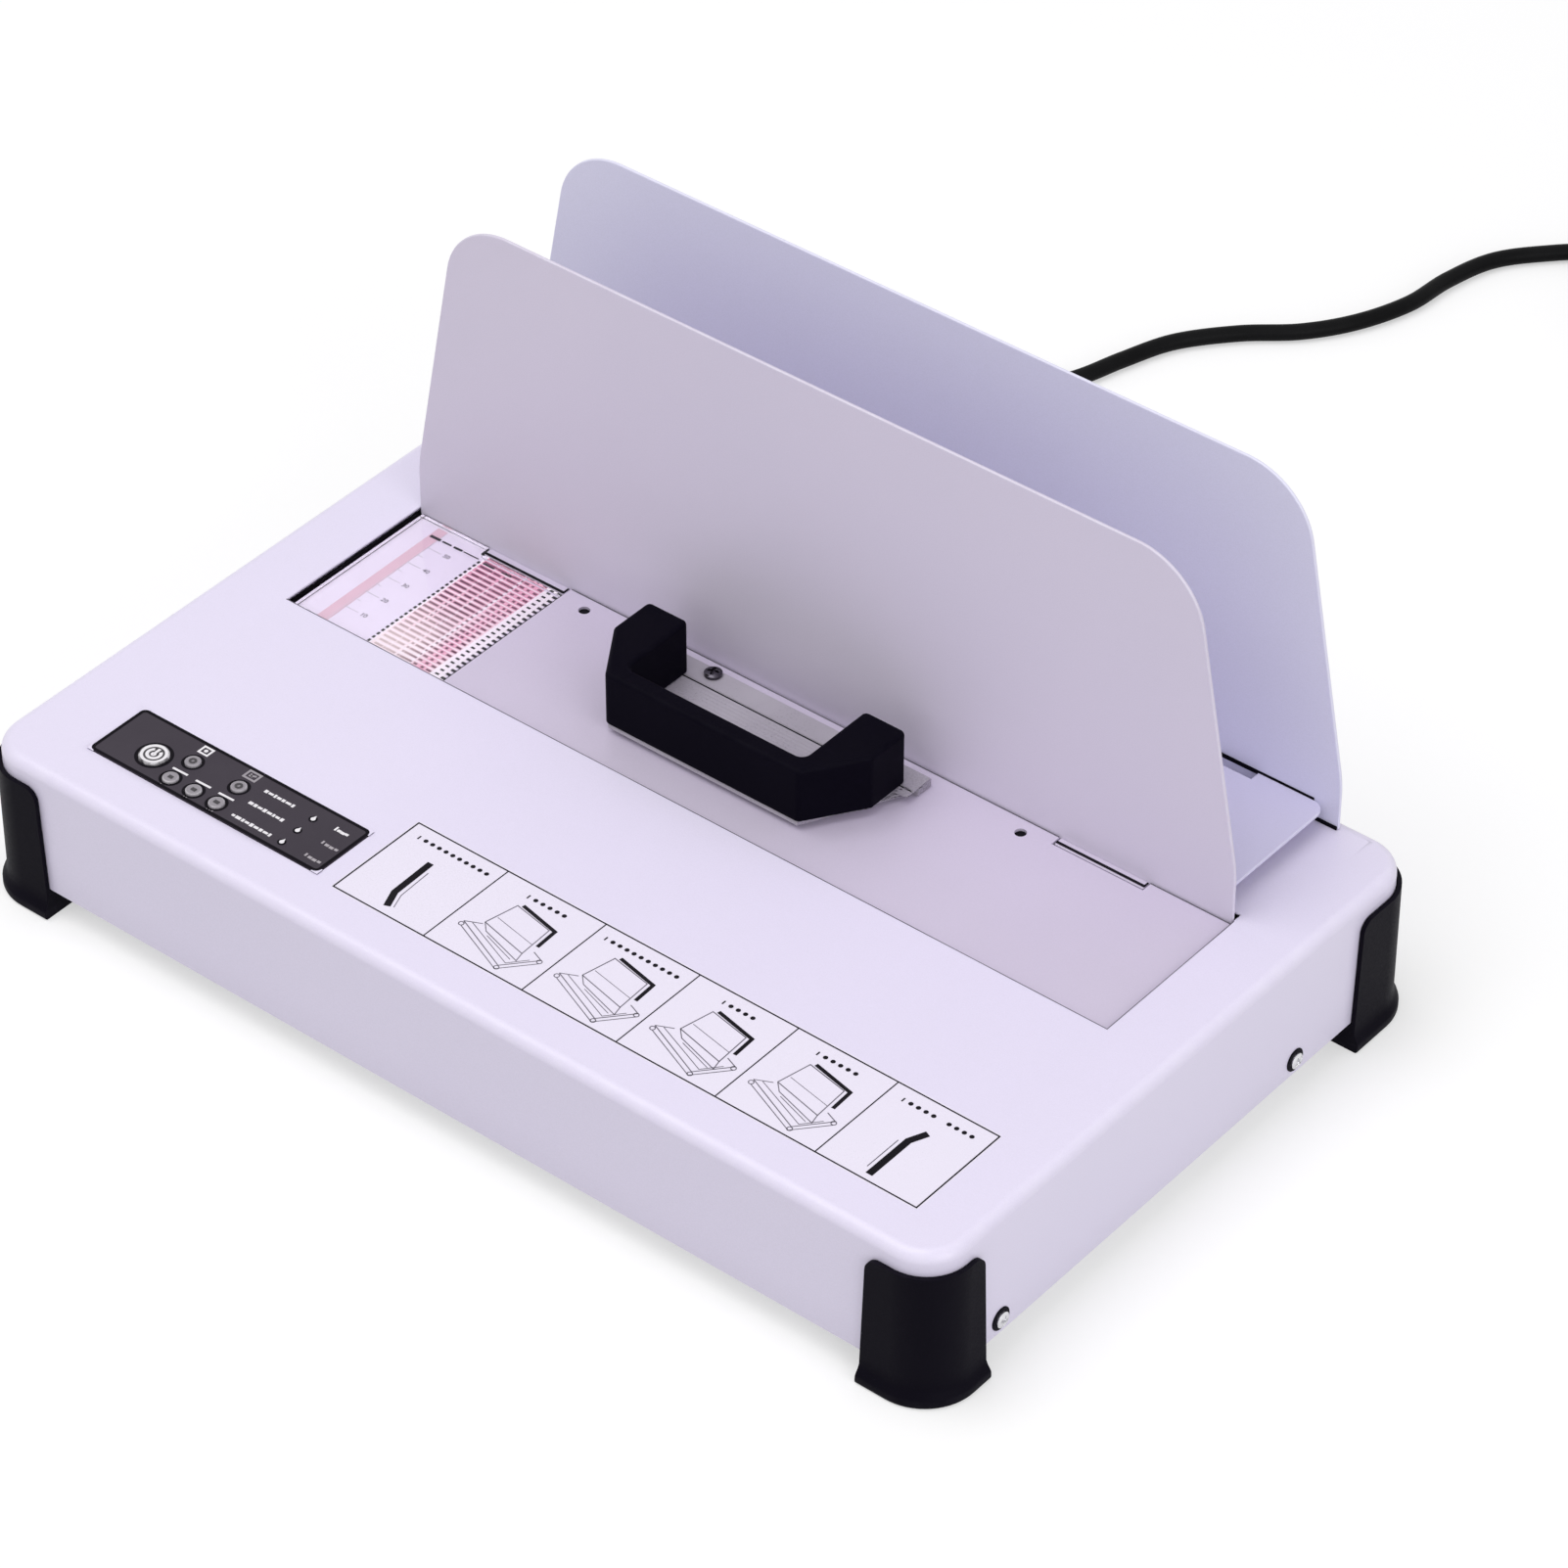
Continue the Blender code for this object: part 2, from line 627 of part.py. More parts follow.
def rectangle(x_low, x_high, y_low, y_high, radius=0.0):
    """A rectangular outline with rounded corners."""
    corners = [(x_low, y_low), (x_high, y_low), (x_high, y_high), (x_low, y_high)]
    return rounded([(x, y, radius) for x, y in corners])


def loft(name, rings, material, cutter=False):
    """A closed solid over rings of points, one above another."""
    bm = bmesh.new()
    rows = [[bm.verts.new(point) for point in ring] for ring in rings]
    count = len(rings[0])
    for lower, upper in zip(rows, rows[1:]):
        for i in range(count):
            j = (i + 1) % count
            bm.faces.new((lower[i], lower[j], upper[j], upper[i]))
    bm.faces.new(rows[0])
    bm.faces.new(rows[-1])
    return place(name, to_mesh(name, bm), material, cutter=cutter)


def smooth_route(points, step):
    """Points at an even step along a smooth curve through the given points."""
    given = np.array(points)
    padded = np.vstack([2 * given[0] - given[1], given, 2 * given[-1] - given[-2]])
    fine = []
    shares = np.linspace(0, 1, 40, endpoint=False)[:, None]
    for a, b, c, d in zip(padded, padded[1:], padded[2:], padded[3:]):
        fine.append(
            (2 * b + (c - a) * shares + (2 * a - 5 * b + 4 * c - d) * shares**2
             + (3 * b - a - 3 * c + d) * shares**3) / 2
        )
    fine = np.vstack([*fine, given[-1]])
    along = np.concatenate([[0], np.cumsum(np.linalg.norm(np.diff(fine, axis=0), axis=1))])
    count = max(int(round(along[-1] / step)), 2)
    even = np.linspace(0, along[-1], count + 1)
    route = np.stack([np.interp(even, along, fine[:, axis]) for axis in range(3)], axis=1)
    return [tuple(float(value) for value in point) for point in route], float(along[-1])


def carried(parent, *children):
    """Parents the children to an empty and leaves them where they are."""
    for child in children:
        child.parent = parent
        child.matrix_parent_inverse = Matrix.Translation(parent.location).inverted()


def joint_empty(name, location):
    """An empty on a joint's axis."""
    empty = bpy.data.objects.new(name, None)
    empty.location = location
    empty.empty_display_size = CASE_CORNER_RADIUS
    PARTS.objects.link(empty)
    return empty


# Case, bottom plate and feet
def rounded_block(name, half_x, half_y, low, high, corner, edge=0.0, open_bottom=False):
    """A block with round upright corners and, where asked, a round top edge and no bottom face."""
    bm = bmesh.new()
    bmesh.ops.create_cube(bm, size=1)
    bmesh.ops.scale(bm, vec=(2 * half_x, 2 * half_y, high - low), verts=bm.verts)
    bmesh.ops.translate(bm, vec=(0, 0, (high + low) / 2), verts=bm.verts)
    uprights = [e for e in bm.edges if abs(e.verts[0].co.z - e.verts[1].co.z) > TINY]
    bmesh.ops.bevel(bm, geom=uprights, offset=corner, segments=CASE_CORNER_STEPS, profile=0.5,
                    affect="EDGES")
    if edge > 0:
        top = [e for e in bm.edges if min(v.co.z for v in e.verts) > high - TINY]
        bmesh.ops.bevel(bm, geom=top, offset=edge, segments=CASE_EDGE_STEPS, profile=0.5, affect="EDGES")
    if open_bottom:
        under = [f for f in bm.faces if max(v.co.z for v in f.verts) < low + TINY]
        bmesh.ops.delete(bm, geom=under, context="FACES_ONLY")
    return to_mesh(name, bm)


def build_case():
    """The painted shell: a bottomless box, cut for the carriage, the rear plate, the panel and the back."""
    mesh = rounded_block("case_shell", HALF_WIDTH, HALF_DEPTH, CASE_BOTTOM, TABLE_HEIGHT,
                         CASE_CORNER_RADIUS, CASE_EDGE_RADIUS, open_bottom=True)
    smooth(mesh)
    case = place("case_shell", mesh, "white_paint")
    wall = case.modifiers.new("sheet", "SOLIDIFY")
    wall.thickness = SHEET
    wall.offset = -1
    wall.use_even_offset = True
    under = TABLE_HEIGHT - SHEET - OVERRUN
    over = TABLE_HEIGHT + OVERRUN
    opening = box("cut_opening", (-OPENING_HALF_WIDTH, OPENING_FRONT, under),
                  (OPENING_HALF_WIDTH, OPENING_REAR, over), cutter=True)
    slot_half, slot_face = TONGUE_HALF_WIDTH + TONGUE_CLEARANCE, REAR_PLATE_FACE - TONGUE_CLEARANCE
    slot = box("cut_rear_slot", (-slot_half, slot_face, under),
               (slot_half, REAR_PLATE_FACE + PLATE_SHEET + TONGUE_CLEARANCE, over),
               cutter=True)
    panel = box("cut_panel", (PANEL_LEFT - GAP, PANEL_FRONT - GAP, under),
                (PANEL_RIGHT + GAP, PANEL_REAR + GAP, over), cutter=True)
    switch_middle = TABLE_HEIGHT - SWITCH_DROP
    half_height = SWITCH_BODY_HEIGHT / 2 + SWITCH_WALL_CLEARANCE
    half_width = SWITCH_BODY_WIDTH / 2 + SWITCH_WALL_CLEARANCE
    inside_wall = HALF_DEPTH - SHEET - OVERRUN
    switch = box("cut_switch", (SWITCH_X - half_width, inside_wall, switch_middle - half_height),
                 (SWITCH_X + half_width, HALF_DEPTH + OVERRUN, switch_middle + half_height), cutter=True)
    lead = rod("cut_lead", (CORD_X, HALF_DEPTH - SHEET / 2, TABLE_HEIGHT - CORD_EXIT_DROP),
               RELIEF_NECK_RADIUS + RELIEF_HOLE_CLEARANCE, SHEET + 2 * OVERRUN, "y", cutter=True)
    cut(case, opening, slot, panel, switch, lead)
    for label, y in (("front", SCREW_FRONT_Y), ("rear", SCREW_REAR_Y)):
        hole = rod("cut_screw_" + label, (0, y, SCREW_HEIGHT), SCREW_HOLE_RADIUS,
                   CASE_WIDTH + 2 * OVERRUN, "x", cutter=True, sides=12)
        cut(case, hole)
    return case


def build_bottom_plate():
    """The steel floor of the case, with side flanges for the case screws, vents and board standoffs."""
    inset = SHEET + BOTTOM_CLEARANCE
    half_x = HALF_WIDTH - inset
    half_y = HALF_DEPTH - inset
    low = CASE_BOTTOM + BOTTOM_RISE
    vents = []
    for index in range(VENT_COUNT):
        x = VENT_CENTRE_X + (index - (VENT_COUNT - 1) / 2) * VENT_PITCH
        vents.append(rectangle(x - VENT_WIDTH / 2, x + VENT_WIDTH / 2, VENT_CENTRE_Y - VENT_LENGTH / 2,
                               VENT_CENTRE_Y + VENT_LENGTH / 2))
    outline = rectangle(-half_x, half_x, -half_y, half_y, CASE_CORNER_RADIUS - inset)
    plate = sheet("bottom_plate", [outline, *vents], SHEET, "zinc_steel", (0, 0, low + SHEET / 2))
    for side, label in ((-1, "left"), (1, "right")):
        near = sorted((side * half_x, side * (half_x - SHEET)))
        flange = box("bottom_flange_" + label, (near[0], -BOTTOM_FLANGE_HALF, low + TINY),
                     (near[1], BOTTOM_FLANGE_HALF, low + BOTTOM_FLANGE_HEIGHT), cutter=True)
        fuse(plate, flange)
    for label, y in (("front", SCREW_FRONT_Y), ("rear", SCREW_REAR_Y)):
        cut(plate, bpy.data.objects["cut_screw_" + label])
    for index, (x, y) in enumerate(standoff_places()):
        height = SHEET / 2 + STANDOFF_HEIGHT
        middle = low + SHEET / 2 + height / 2
        post = rod(f"bottom_standoff_{index}", (x, y, middle), STANDOFF_RADIUS, height, "z",
                   cutter=True, sides=12)
        fuse(plate, post)
    return plate


def standoff_places():
    """Where the power board stands on the bottom plate."""
    xs = (POWER_BOARD_LOW[0] + STANDOFF_INSET, POWER_BOARD_HIGH[0] - STANDOFF_INSET)
    ys = (POWER_BOARD_LOW[1] + STANDOFF_INSET, POWER_BOARD_HIGH[1] - STANDOFF_INSET)
    return [(x, y) for x in xs for y in ys]


def foot_ring(height, grow, shrink, leg_y):
    """The plan of a foot at one height, for the corner at +X and +Y: its outer face, then its inner one."""
    skin = GAP + FOOT_WALL + grow
    x_end = HALF_WIDTH + GAP + FOOT_WALL - FOOT_LEG_X + shrink
    y_end = HALF_DEPTH + GAP + FOOT_WALL - leg_y + shrink
    middle_x = HALF_WIDTH - CASE_CORNER_RADIUS
    middle_y = HALF_DEPTH - CASE_CORNER_RADIUS
    ring = [(x_end, y_end, height), (HALF_WIDTH + skin, y_end, height)]
    for step in range(FOOT_CORNER_STEPS + 1):
        angle = math.pi / 2 * step / FOOT_CORNER_STEPS
        reach = CASE_CORNER_RADIUS + skin
        ring.append((middle_x + reach * math.cos(angle), middle_y + reach * math.sin(angle), height))
    ring.append((x_end, HALF_DEPTH + skin, height))
    return ring


def build_foot(name, side_x, side_y, envelope):
    """A moulded corner foot: a wall round the case's corner over a block that flares at the floor."""
    leg_y = FRONT_FOOT_LEG_Y if side_y < 0 else REAR_FOOT_LEG_Y
    top = TABLE_HEIGHT - FOOT_TOP_DROP
    straight = min(leg_y, FOOT_LEG_X) - FOOT_LEG_DRAFT - GAP - FOOT_WALL - CASE_CORNER_RADIUS
    soft = min(FOOT_TOP_RADIUS, FOOT_TOP_STRAIGHT_SHARE * straight)
    levels = [
        (0, FOOT_FLARE - FOOT_SOLE_CHAMFER, 0),
        (FOOT_SOLE_CHAMFER, FOOT_FLARE, 0),
        (FOOT_FLARE_HEIGHT, FOOT_FLARE, 0),
        (FOOT_FLARE_FADE, 0, 0),
    ]
    for step in range(FOOT_TOP_STEPS + 1):
        angle = math.pi / 2 * step / FOOT_TOP_STEPS
        height = top - soft * (1 - math.sin(angle))
        levels.append((height, 0, soft * (1 - math.cos(angle))))
    rings = [foot_ring(height, grow, round_off + FOOT_LEG_DRAFT * height / top, leg_y)
             for height, grow, round_off in levels]
    rings = [[(side_x * x, side_y * y, z) for x, y, z in ring] for ring in rings]
    foot = loft(name, rings, "black_plastic")
    cut(foot, envelope)
    smooth(foot.data)
    return foot


def build_feet():
    """Four corner feet, cut by the case's own outline."""
    mesh = rounded_block("case_envelope", HALF_WIDTH + GAP, HALF_DEPTH + GAP, CASE_BOTTOM - GAP,
                         TABLE_HEIGHT + OVERRUN, CASE_CORNER_RADIUS + GAP)
    envelope = place("case_envelope", mesh, None, cutter=True)
    for side_y, depth_name in ((-1, "front"), (1, "rear")):
        for side_x, side_name in ((-1, "left"), (1, "right")):
            build_foot(f"foot_{depth_name}_{side_name}", side_x, side_y, envelope)


def build_case_screws():
    """Four pan-head screws through the case's sides into the bottom plate's flanges."""
    profile = [
        (0, SCREW_HEAD_HEIGHT),
        (SCREW_HEAD_RADIUS / 2, SCREW_HEAD_HEIGHT),
        (SCREW_HEAD_RADIUS, SCREW_HEAD_HEIGHT / 2),
        (SCREW_HEAD_RADIUS, 0),
        (SCREW_SHANK_RADIUS, 0),
        (SCREW_SHANK_RADIUS, -SCREW_LENGTH),
        (0, -SCREW_LENGTH),
    ]
    for side, side_name in ((-1, "left"), (1, "right")):
        for y, depth_name in ((SCREW_FRONT_Y, "front"), (SCREW_REAR_Y, "rear")):
            location = (side * (HALF_WIDTH + GAP), y, SCREW_HEIGHT)
            turned(f"case_screw_{depth_name}_{side_name}", profile, "bright_steel", location,
                   (0, side * math.pi / 2, 0), steps=16)


# Plates and shelf
def plate_corners(half_foot, foot):
    """The upper corners of a clamp plate, from its right foot round to its left foot."""
    straight = TABLE_HEIGHT + PLATE_STRAIGHT_HEIGHT
    top = TABLE_HEIGHT + PLATE_HEIGHT
    lean = PLATE_TAPER / (PLATE_SHOULDER_HEIGHT - PLATE_STRAIGHT_HEIGHT)
    half_top = half_foot - lean * (PLATE_HEIGHT - PLATE_STRAIGHT_HEIGHT)
    soft = PLATE_CORNER_RADIUS
    return [
        (half_foot, foot, 0),
        (half_foot, straight, 2 * soft),
        (half_top, top, soft),
        (-half_top, top, soft),
        (-half_foot, straight, 2 * soft),
        (-half_foot, foot, 0),
    ]


def build_rear_plate():
    """The fixed plate: its tongue passes the table's rear slot and is clamped to the back wall."""
    foot = TABLE_HEIGHT + GAP
    corners = plate_corners(PLATE_HALF_FOOT, foot)
    tip = TABLE_HEIGHT - TONGUE_DEPTH
    corners += [(-TONGUE_HALF_WIDTH, foot, 0), (-TONGUE_HALF_WIDTH, tip, 0),
                (TONGUE_HALF_WIDTH, tip, 0), (TONGUE_HALF_WIDTH, foot, 0)]
    sheet("rear_plate", [rounded(corners, 7)], PLATE_SHEET, "plate_paint",
          (0, REAR_PLATE_FACE + PLATE_SHEET / 2, 0), (math.pi / 2, 0, 0))
    half = TONGUE_HALF_WIDTH - CLAMP_BAR_INSET
    low = tip + CLAMP_BAR_INSET
    box("rear_plate_clamp", (-half, REAR_PLATE_FACE + PLATE_SHEET + GAP, low),
        (half, HALF_DEPTH - SHEET - GAP, low + CLAMP_BAR_HEIGHT), "zinc_steel")


def build_shelf():
    """The raised shelf between the plates: a sheet with a lip in front and two tabs behind, on the table."""
    top = TABLE_HEIGHT + SHELF_RISE
    rear = REAR_PLATE_FACE - GAP
    notch = rear - SHELF_NOTCH_DEPTH
    inner = SLOT_CENTRE - SLOT_WIDTH / 2
    outer = SLOT_CENTRE + SLOT_WIDTH / 2
    soft = SHELF_CORNER_RADIUS
    half_width = SHELF_HALF_WIDTH
    corners = [(-half_width, SHELF_FRONT, 0), (half_width, SHELF_FRONT, 0), (half_width, rear, soft)]
    for side in (1, -1):
        steps = [(outer, rear), (outer, notch), (inner, notch), (inner, rear)]
        corners += [(side * x, y, 0) for x, y in (steps if side > 0 else reversed(steps))]
    corners.append((-SHELF_HALF_WIDTH, rear, soft))
    shelf = sheet("rest_shelf", [rounded(corners)], SHEET, "white_paint", (0, 0, top - SHEET / 2))
    low = TABLE_HEIGHT + GAP
    half_lip = SHELF_HALF_WIDTH - SHELF_LIP_INSET
    lip = box("shelf_lip", (-half_lip, SHELF_FRONT + TINY, low),
              (half_lip, SHELF_FRONT + SHEET, top - SHEET / 2),
              cutter=True)
    fuse(shelf, lip)
    for side, label in ((-1, "left"), (1, "right")):
        near = sorted((side * (inner + TINY), side * (outer - TINY)))
        tab = box("shelf_tab_" + label, (near[0], notch - SHEET, low),
                  (near[1], notch - TINY, top - SHEET / 2),
                  cutter=True)
        fuse(shelf, tab)
    return shelf


# Heated trough
def build_trough():
    """A sheet tray under the opening, with the hot plate, its element and its two safety parts."""
    back = TROUGH_BACK
    raise_half = TROUGH_HALF_WIDTH - TROUGH_RAISE_INSET
    floor = TABLE_HEIGHT - TROUGH_DEPTH
    rim = TABLE_HEIGHT - TROUGH_RIM_DROP
    bm = bmesh.new()
    bmesh.ops.create_cube(bm, size=1)
    bmesh.ops.scale(bm, vec=(2 * TROUGH_HALF_WIDTH, back - TROUGH_FRONT, rim - floor), verts=bm.verts)
    lid = [f for f in bm.faces if f.normal.z > 0.5]
    bmesh.ops.delete(bm, geom=lid, context="FACES_ONLY")
    tray = place("trough_liner", to_mesh("trough_liner", bm), "zinc_steel",
                 (0, (back + TROUGH_FRONT) / 2, (rim + floor) / 2))
    wall = tray.modifiers.new("sheet", "SOLIDIFY")
    wall.thickness = TROUGH_WALL
    wall.offset = -1
    raised = box("trough_back", (-raise_half, back - TROUGH_WALL + TINY, rim - TROUGH_WALL),
                 (raise_half, back - TINY, TABLE_HEIGHT - SHEET - GAP), cutter=True)
    fuse(tray, raised)
    plate_top = TABLE_HEIGHT - HOT_PLATE_DROP
    plate_low = plate_top - HOT_PLATE_THICKNESS
    box("heating_plate", (-HOT_PLATE_HALF_WIDTH, HOT_PLATE_FRONT, plate_low),
        (HOT_PLATE_HALF_WIDTH, HOT_PLATE_BACK, plate_top), "aluminium", bevel=HOT_PLATE_THICKNESS / 8,
        bevel_steps=1)
    element_top = plate_low - GAP
    element_low = element_top - ELEMENT_THICKNESS
    box("heater_element", (-ELEMENT_HALF_WIDTH, HOT_PLATE_FRONT + ELEMENT_INSET, element_low),
        (ELEMENT_HALF_WIDTH, HOT_PLATE_BACK - ELEMENT_INSET, element_top), "mica_board")
    seat = floor + TROUGH_WALL + GAP
    for side, label in ((-1, "left"), (1, "right")):
        outer = HOT_PLATE_HALF_WIDTH - GAP
        near = sorted((side * outer, side * (outer - INSULATOR_WIDTH)))
        box("heater_insulator_" + label, (near[0], HOT_PLATE_FRONT + INSULATOR_INSET, seat),
            (near[1], HOT_PLATE_BACK - INSULATOR_INSET, element_top), "ceramic")
    middle_y = (HOT_PLATE_FRONT + HOT_PLATE_BACK) / 2
    cap_top = element_low - GAP
    cap_low = cap_top - (cap_top - seat) / 2
    profile = [(0, cap_top), (THERMOSTAT_RADIUS, cap_top), (THERMOSTAT_RADIUS, cap_low),
               (THERMOSTAT_CAP_RADIUS, cap_low), (THERMOSTAT_CAP_RADIUS, seat), (0, seat)]
    turned("thermostat", profile, "ceramic", (THERMOSTAT_X, middle_y, 0), steps=20)
    rod("thermal_fuse", (FUSE_X, middle_y, element_low - GAP - FUSE_RADIUS), FUSE_RADIUS, FUSE_LENGTH, "x",
        "bright_steel", sides=12)
    stand = floor - GAP
    ground = CASE_BOTTOM + BOTTOM_RISE + SHEET + GAP
    half = BRACKET_WIDTH / 2
    arch = [(-half, ground), (-half + BRACKET_SHEET, ground),
            (-half + BRACKET_SHEET, stand - BRACKET_SHEET),
            (half - BRACKET_SHEET, stand - BRACKET_SHEET), (half - BRACKET_SHEET, ground), (half, ground),
            (half, stand), (-half, stand)]
    for side, label in ((-1, "left"), (1, "right")):
        sheet("trough_bracket_" + label, [arch], BRACKET_LENGTH, "zinc_steel",
              (side * BRACKET_X, middle_y, 0), (math.pi / 2, 0, 0))


# Rails and carriage
def build_rails():
    """Two round rails, each held at its ends, and the long cutters that bore what rides on them."""
    height = TABLE_HEIGHT - RAIL_DROP
    ground = CASE_BOTTOM + BOTTOM_RISE + SHEET + GAP
    middle = RAIL_FRONT + RAIL_LENGTH / 2
    for side, label in ((-1, "left"), (1, "right")):
        x = side * RAIL_OFFSET
        rod("rail_" + label, (x, middle, height), RAIL_RADIUS, RAIL_LENGTH, "y", "bright_steel")
        bore = rod("cut_rail_" + label, (x, middle, height), RAIL_RADIUS + RAIL_CLEARANCE,
                   RAIL_LENGTH + 2 * OVERRUN, "y", cutter=True)
        seat = rod("cut_rail_seat_" + label, (x, middle, height), RAIL_RADIUS + GAP,
                   RAIL_LENGTH + 2 * OVERRUN, "y", cutter=True)
        starts = {"front": RAIL_FRONT + RAIL_END_OVERHANG,
                  "rear": RAIL_FRONT + RAIL_LENGTH - RAIL_END_OVERHANG - SUPPORT_LENGTH}
        for end, start in starts.items():
            support = box(f"rail_support_{end}_{label}", (x - SUPPORT_WIDTH / 2, start, ground),
                          (x + SUPPORT_WIDTH / 2, start + SUPPORT_LENGTH, height + SUPPORT_ABOVE_RAIL),
                          "acetal")
            cut(support, seat)


def build_carriage(carriage):
    """What slides: blocks on the rails, a cross bar, the cover with its scale, and the front plate."""
    height = TABLE_HEIGHT - RAIL_DROP
    cover_top = TABLE_HEIGHT - COVER_DROP
    cover_low = cover_top - COVER_SHEET
    tray_top = cover_top - TRAY_DROP
    tray_low = tray_top - COVER_SHEET
    left = -OPENING_HALF_WIDTH + COVER_LEFT_GAP
    right = OPENING_HALF_WIDTH - COVER_RIGHT_GAP
    front = OPENING_FRONT - COVER_TUCK
    rear = FRONT_PLATE_FACE - GAP
    step = left + SCALE_WIDTH
    bar_top = tray_low - GAP
    bar_low = bar_top - BAR_SHEET
    bar = box("carriage_bar", (-BAR_HALF_WIDTH, rear - BAR_DEPTH, bar_low), (BAR_HALF_WIDTH, rear, bar_top),
              "zinc_steel")
    rise = box("bar_step", (step + BAR_STEP_INSET, rear - BAR_DEPTH + TINY, bar_low + TINY),
               (right - BAR_STEP_INSET, rear - TINY, cover_low - GAP), cutter=True)
    fuse(bar, rise)
    profile = [(step, cover_top), (right, cover_top), (right, cover_low), (step + COVER_SHEET, cover_low),
               (step + COVER_SHEET, tray_low), (left, tray_low), (left, tray_top), (step, tray_top)]
    cover = sheet("slide_cover", [profile], rear - front, "plate_paint", (0, (front + rear) / 2, 0),
                  (math.pi / 2, 0, 0))
    slot = box("cut_cover_slot", (SLOT_CENTRE - SLOT_WIDTH / 2, rear - SLOT_DEPTH, cover_low - GAP / 2),
               (SLOT_CENTRE + SLOT_WIDTH / 2, rear + OVERRUN, cover_top + OVERRUN), cutter=True)
    cut(cover, slot)
    for side, label in ((-1, "left"), (1, "right")):
        hole = rod("cut_peep_" + label,
                   (side * PEEP_HOLE_OFFSET, FRONT_PLATE_FACE - PEEP_HOLE_SETBACK, tray_low),
                   PEEP_HOLE_RADIUS, 4 * OVERRUN, "z", cutter=True, sides=16)
        cut(cover, hole)
        cut(bar, hole)
    notch_left = -SLOT_CENTRE - SLOT_WIDTH / 2
    inset = GAP
    scale_rear = rear - GAP
    outline = [(left, front), (step - inset, front), (step - inset, rear - SLOT_DEPTH),
               (notch_left, rear - SLOT_DEPTH),
               (notch_left, scale_rear), (left, scale_rear)]
    scale_low = tray_top + GAP
    scale = sheet("scale_sheet", [outline], SCALE_SHEET, "scale_paper", (0, 0, scale_low + SCALE_SHEET / 2))
    window_low = scale_low + SCALE_SHEET + GAP
    window = sheet("scale_window", [outline], cover_top - window_low, "clear_plastic",
                   (0, 0, (cover_top + window_low) / 2))
    pieces = [bar, cover, scale, window]
    for side, label in ((-1, "left"), (1, "right")):
        x = side * RAIL_OFFSET
        block = box("slide_block_" + label,
                    (x - BLOCK_WIDTH / 2, rear - BLOCK_LENGTH, height - BLOCK_BELOW_RAIL),
                    (x + BLOCK_WIDTH / 2, rear, bar_low - GAP), "acetal")
        cut(block, bpy.data.objects["cut_rail_" + label])
        pieces.append(block)
    corners = plate_corners(PLATE_HALF_FOOT, cover_low)
    skirt = TABLE_HEIGHT - HOT_PLATE_DROP + SKIRT_CLEARANCE
    corners += [(-SKIRT_HALF_WIDTH, cover_low, 0), (-SKIRT_HALF_WIDTH, skirt, 0),
                (SKIRT_HALF_WIDTH, skirt, 0), (SKIRT_HALF_WIDTH, cover_low, 0)]
    pieces.append(sheet("front_plate", [rounded(corners, 7)], PLATE_SHEET, "plate_paint",
                        (0, FRONT_PLATE_FACE + PLATE_SHEET / 2, 0), (math.pi / 2, 0, 0)))
    pieces += build_handle(cover_top)
    carried(carriage, *pieces)


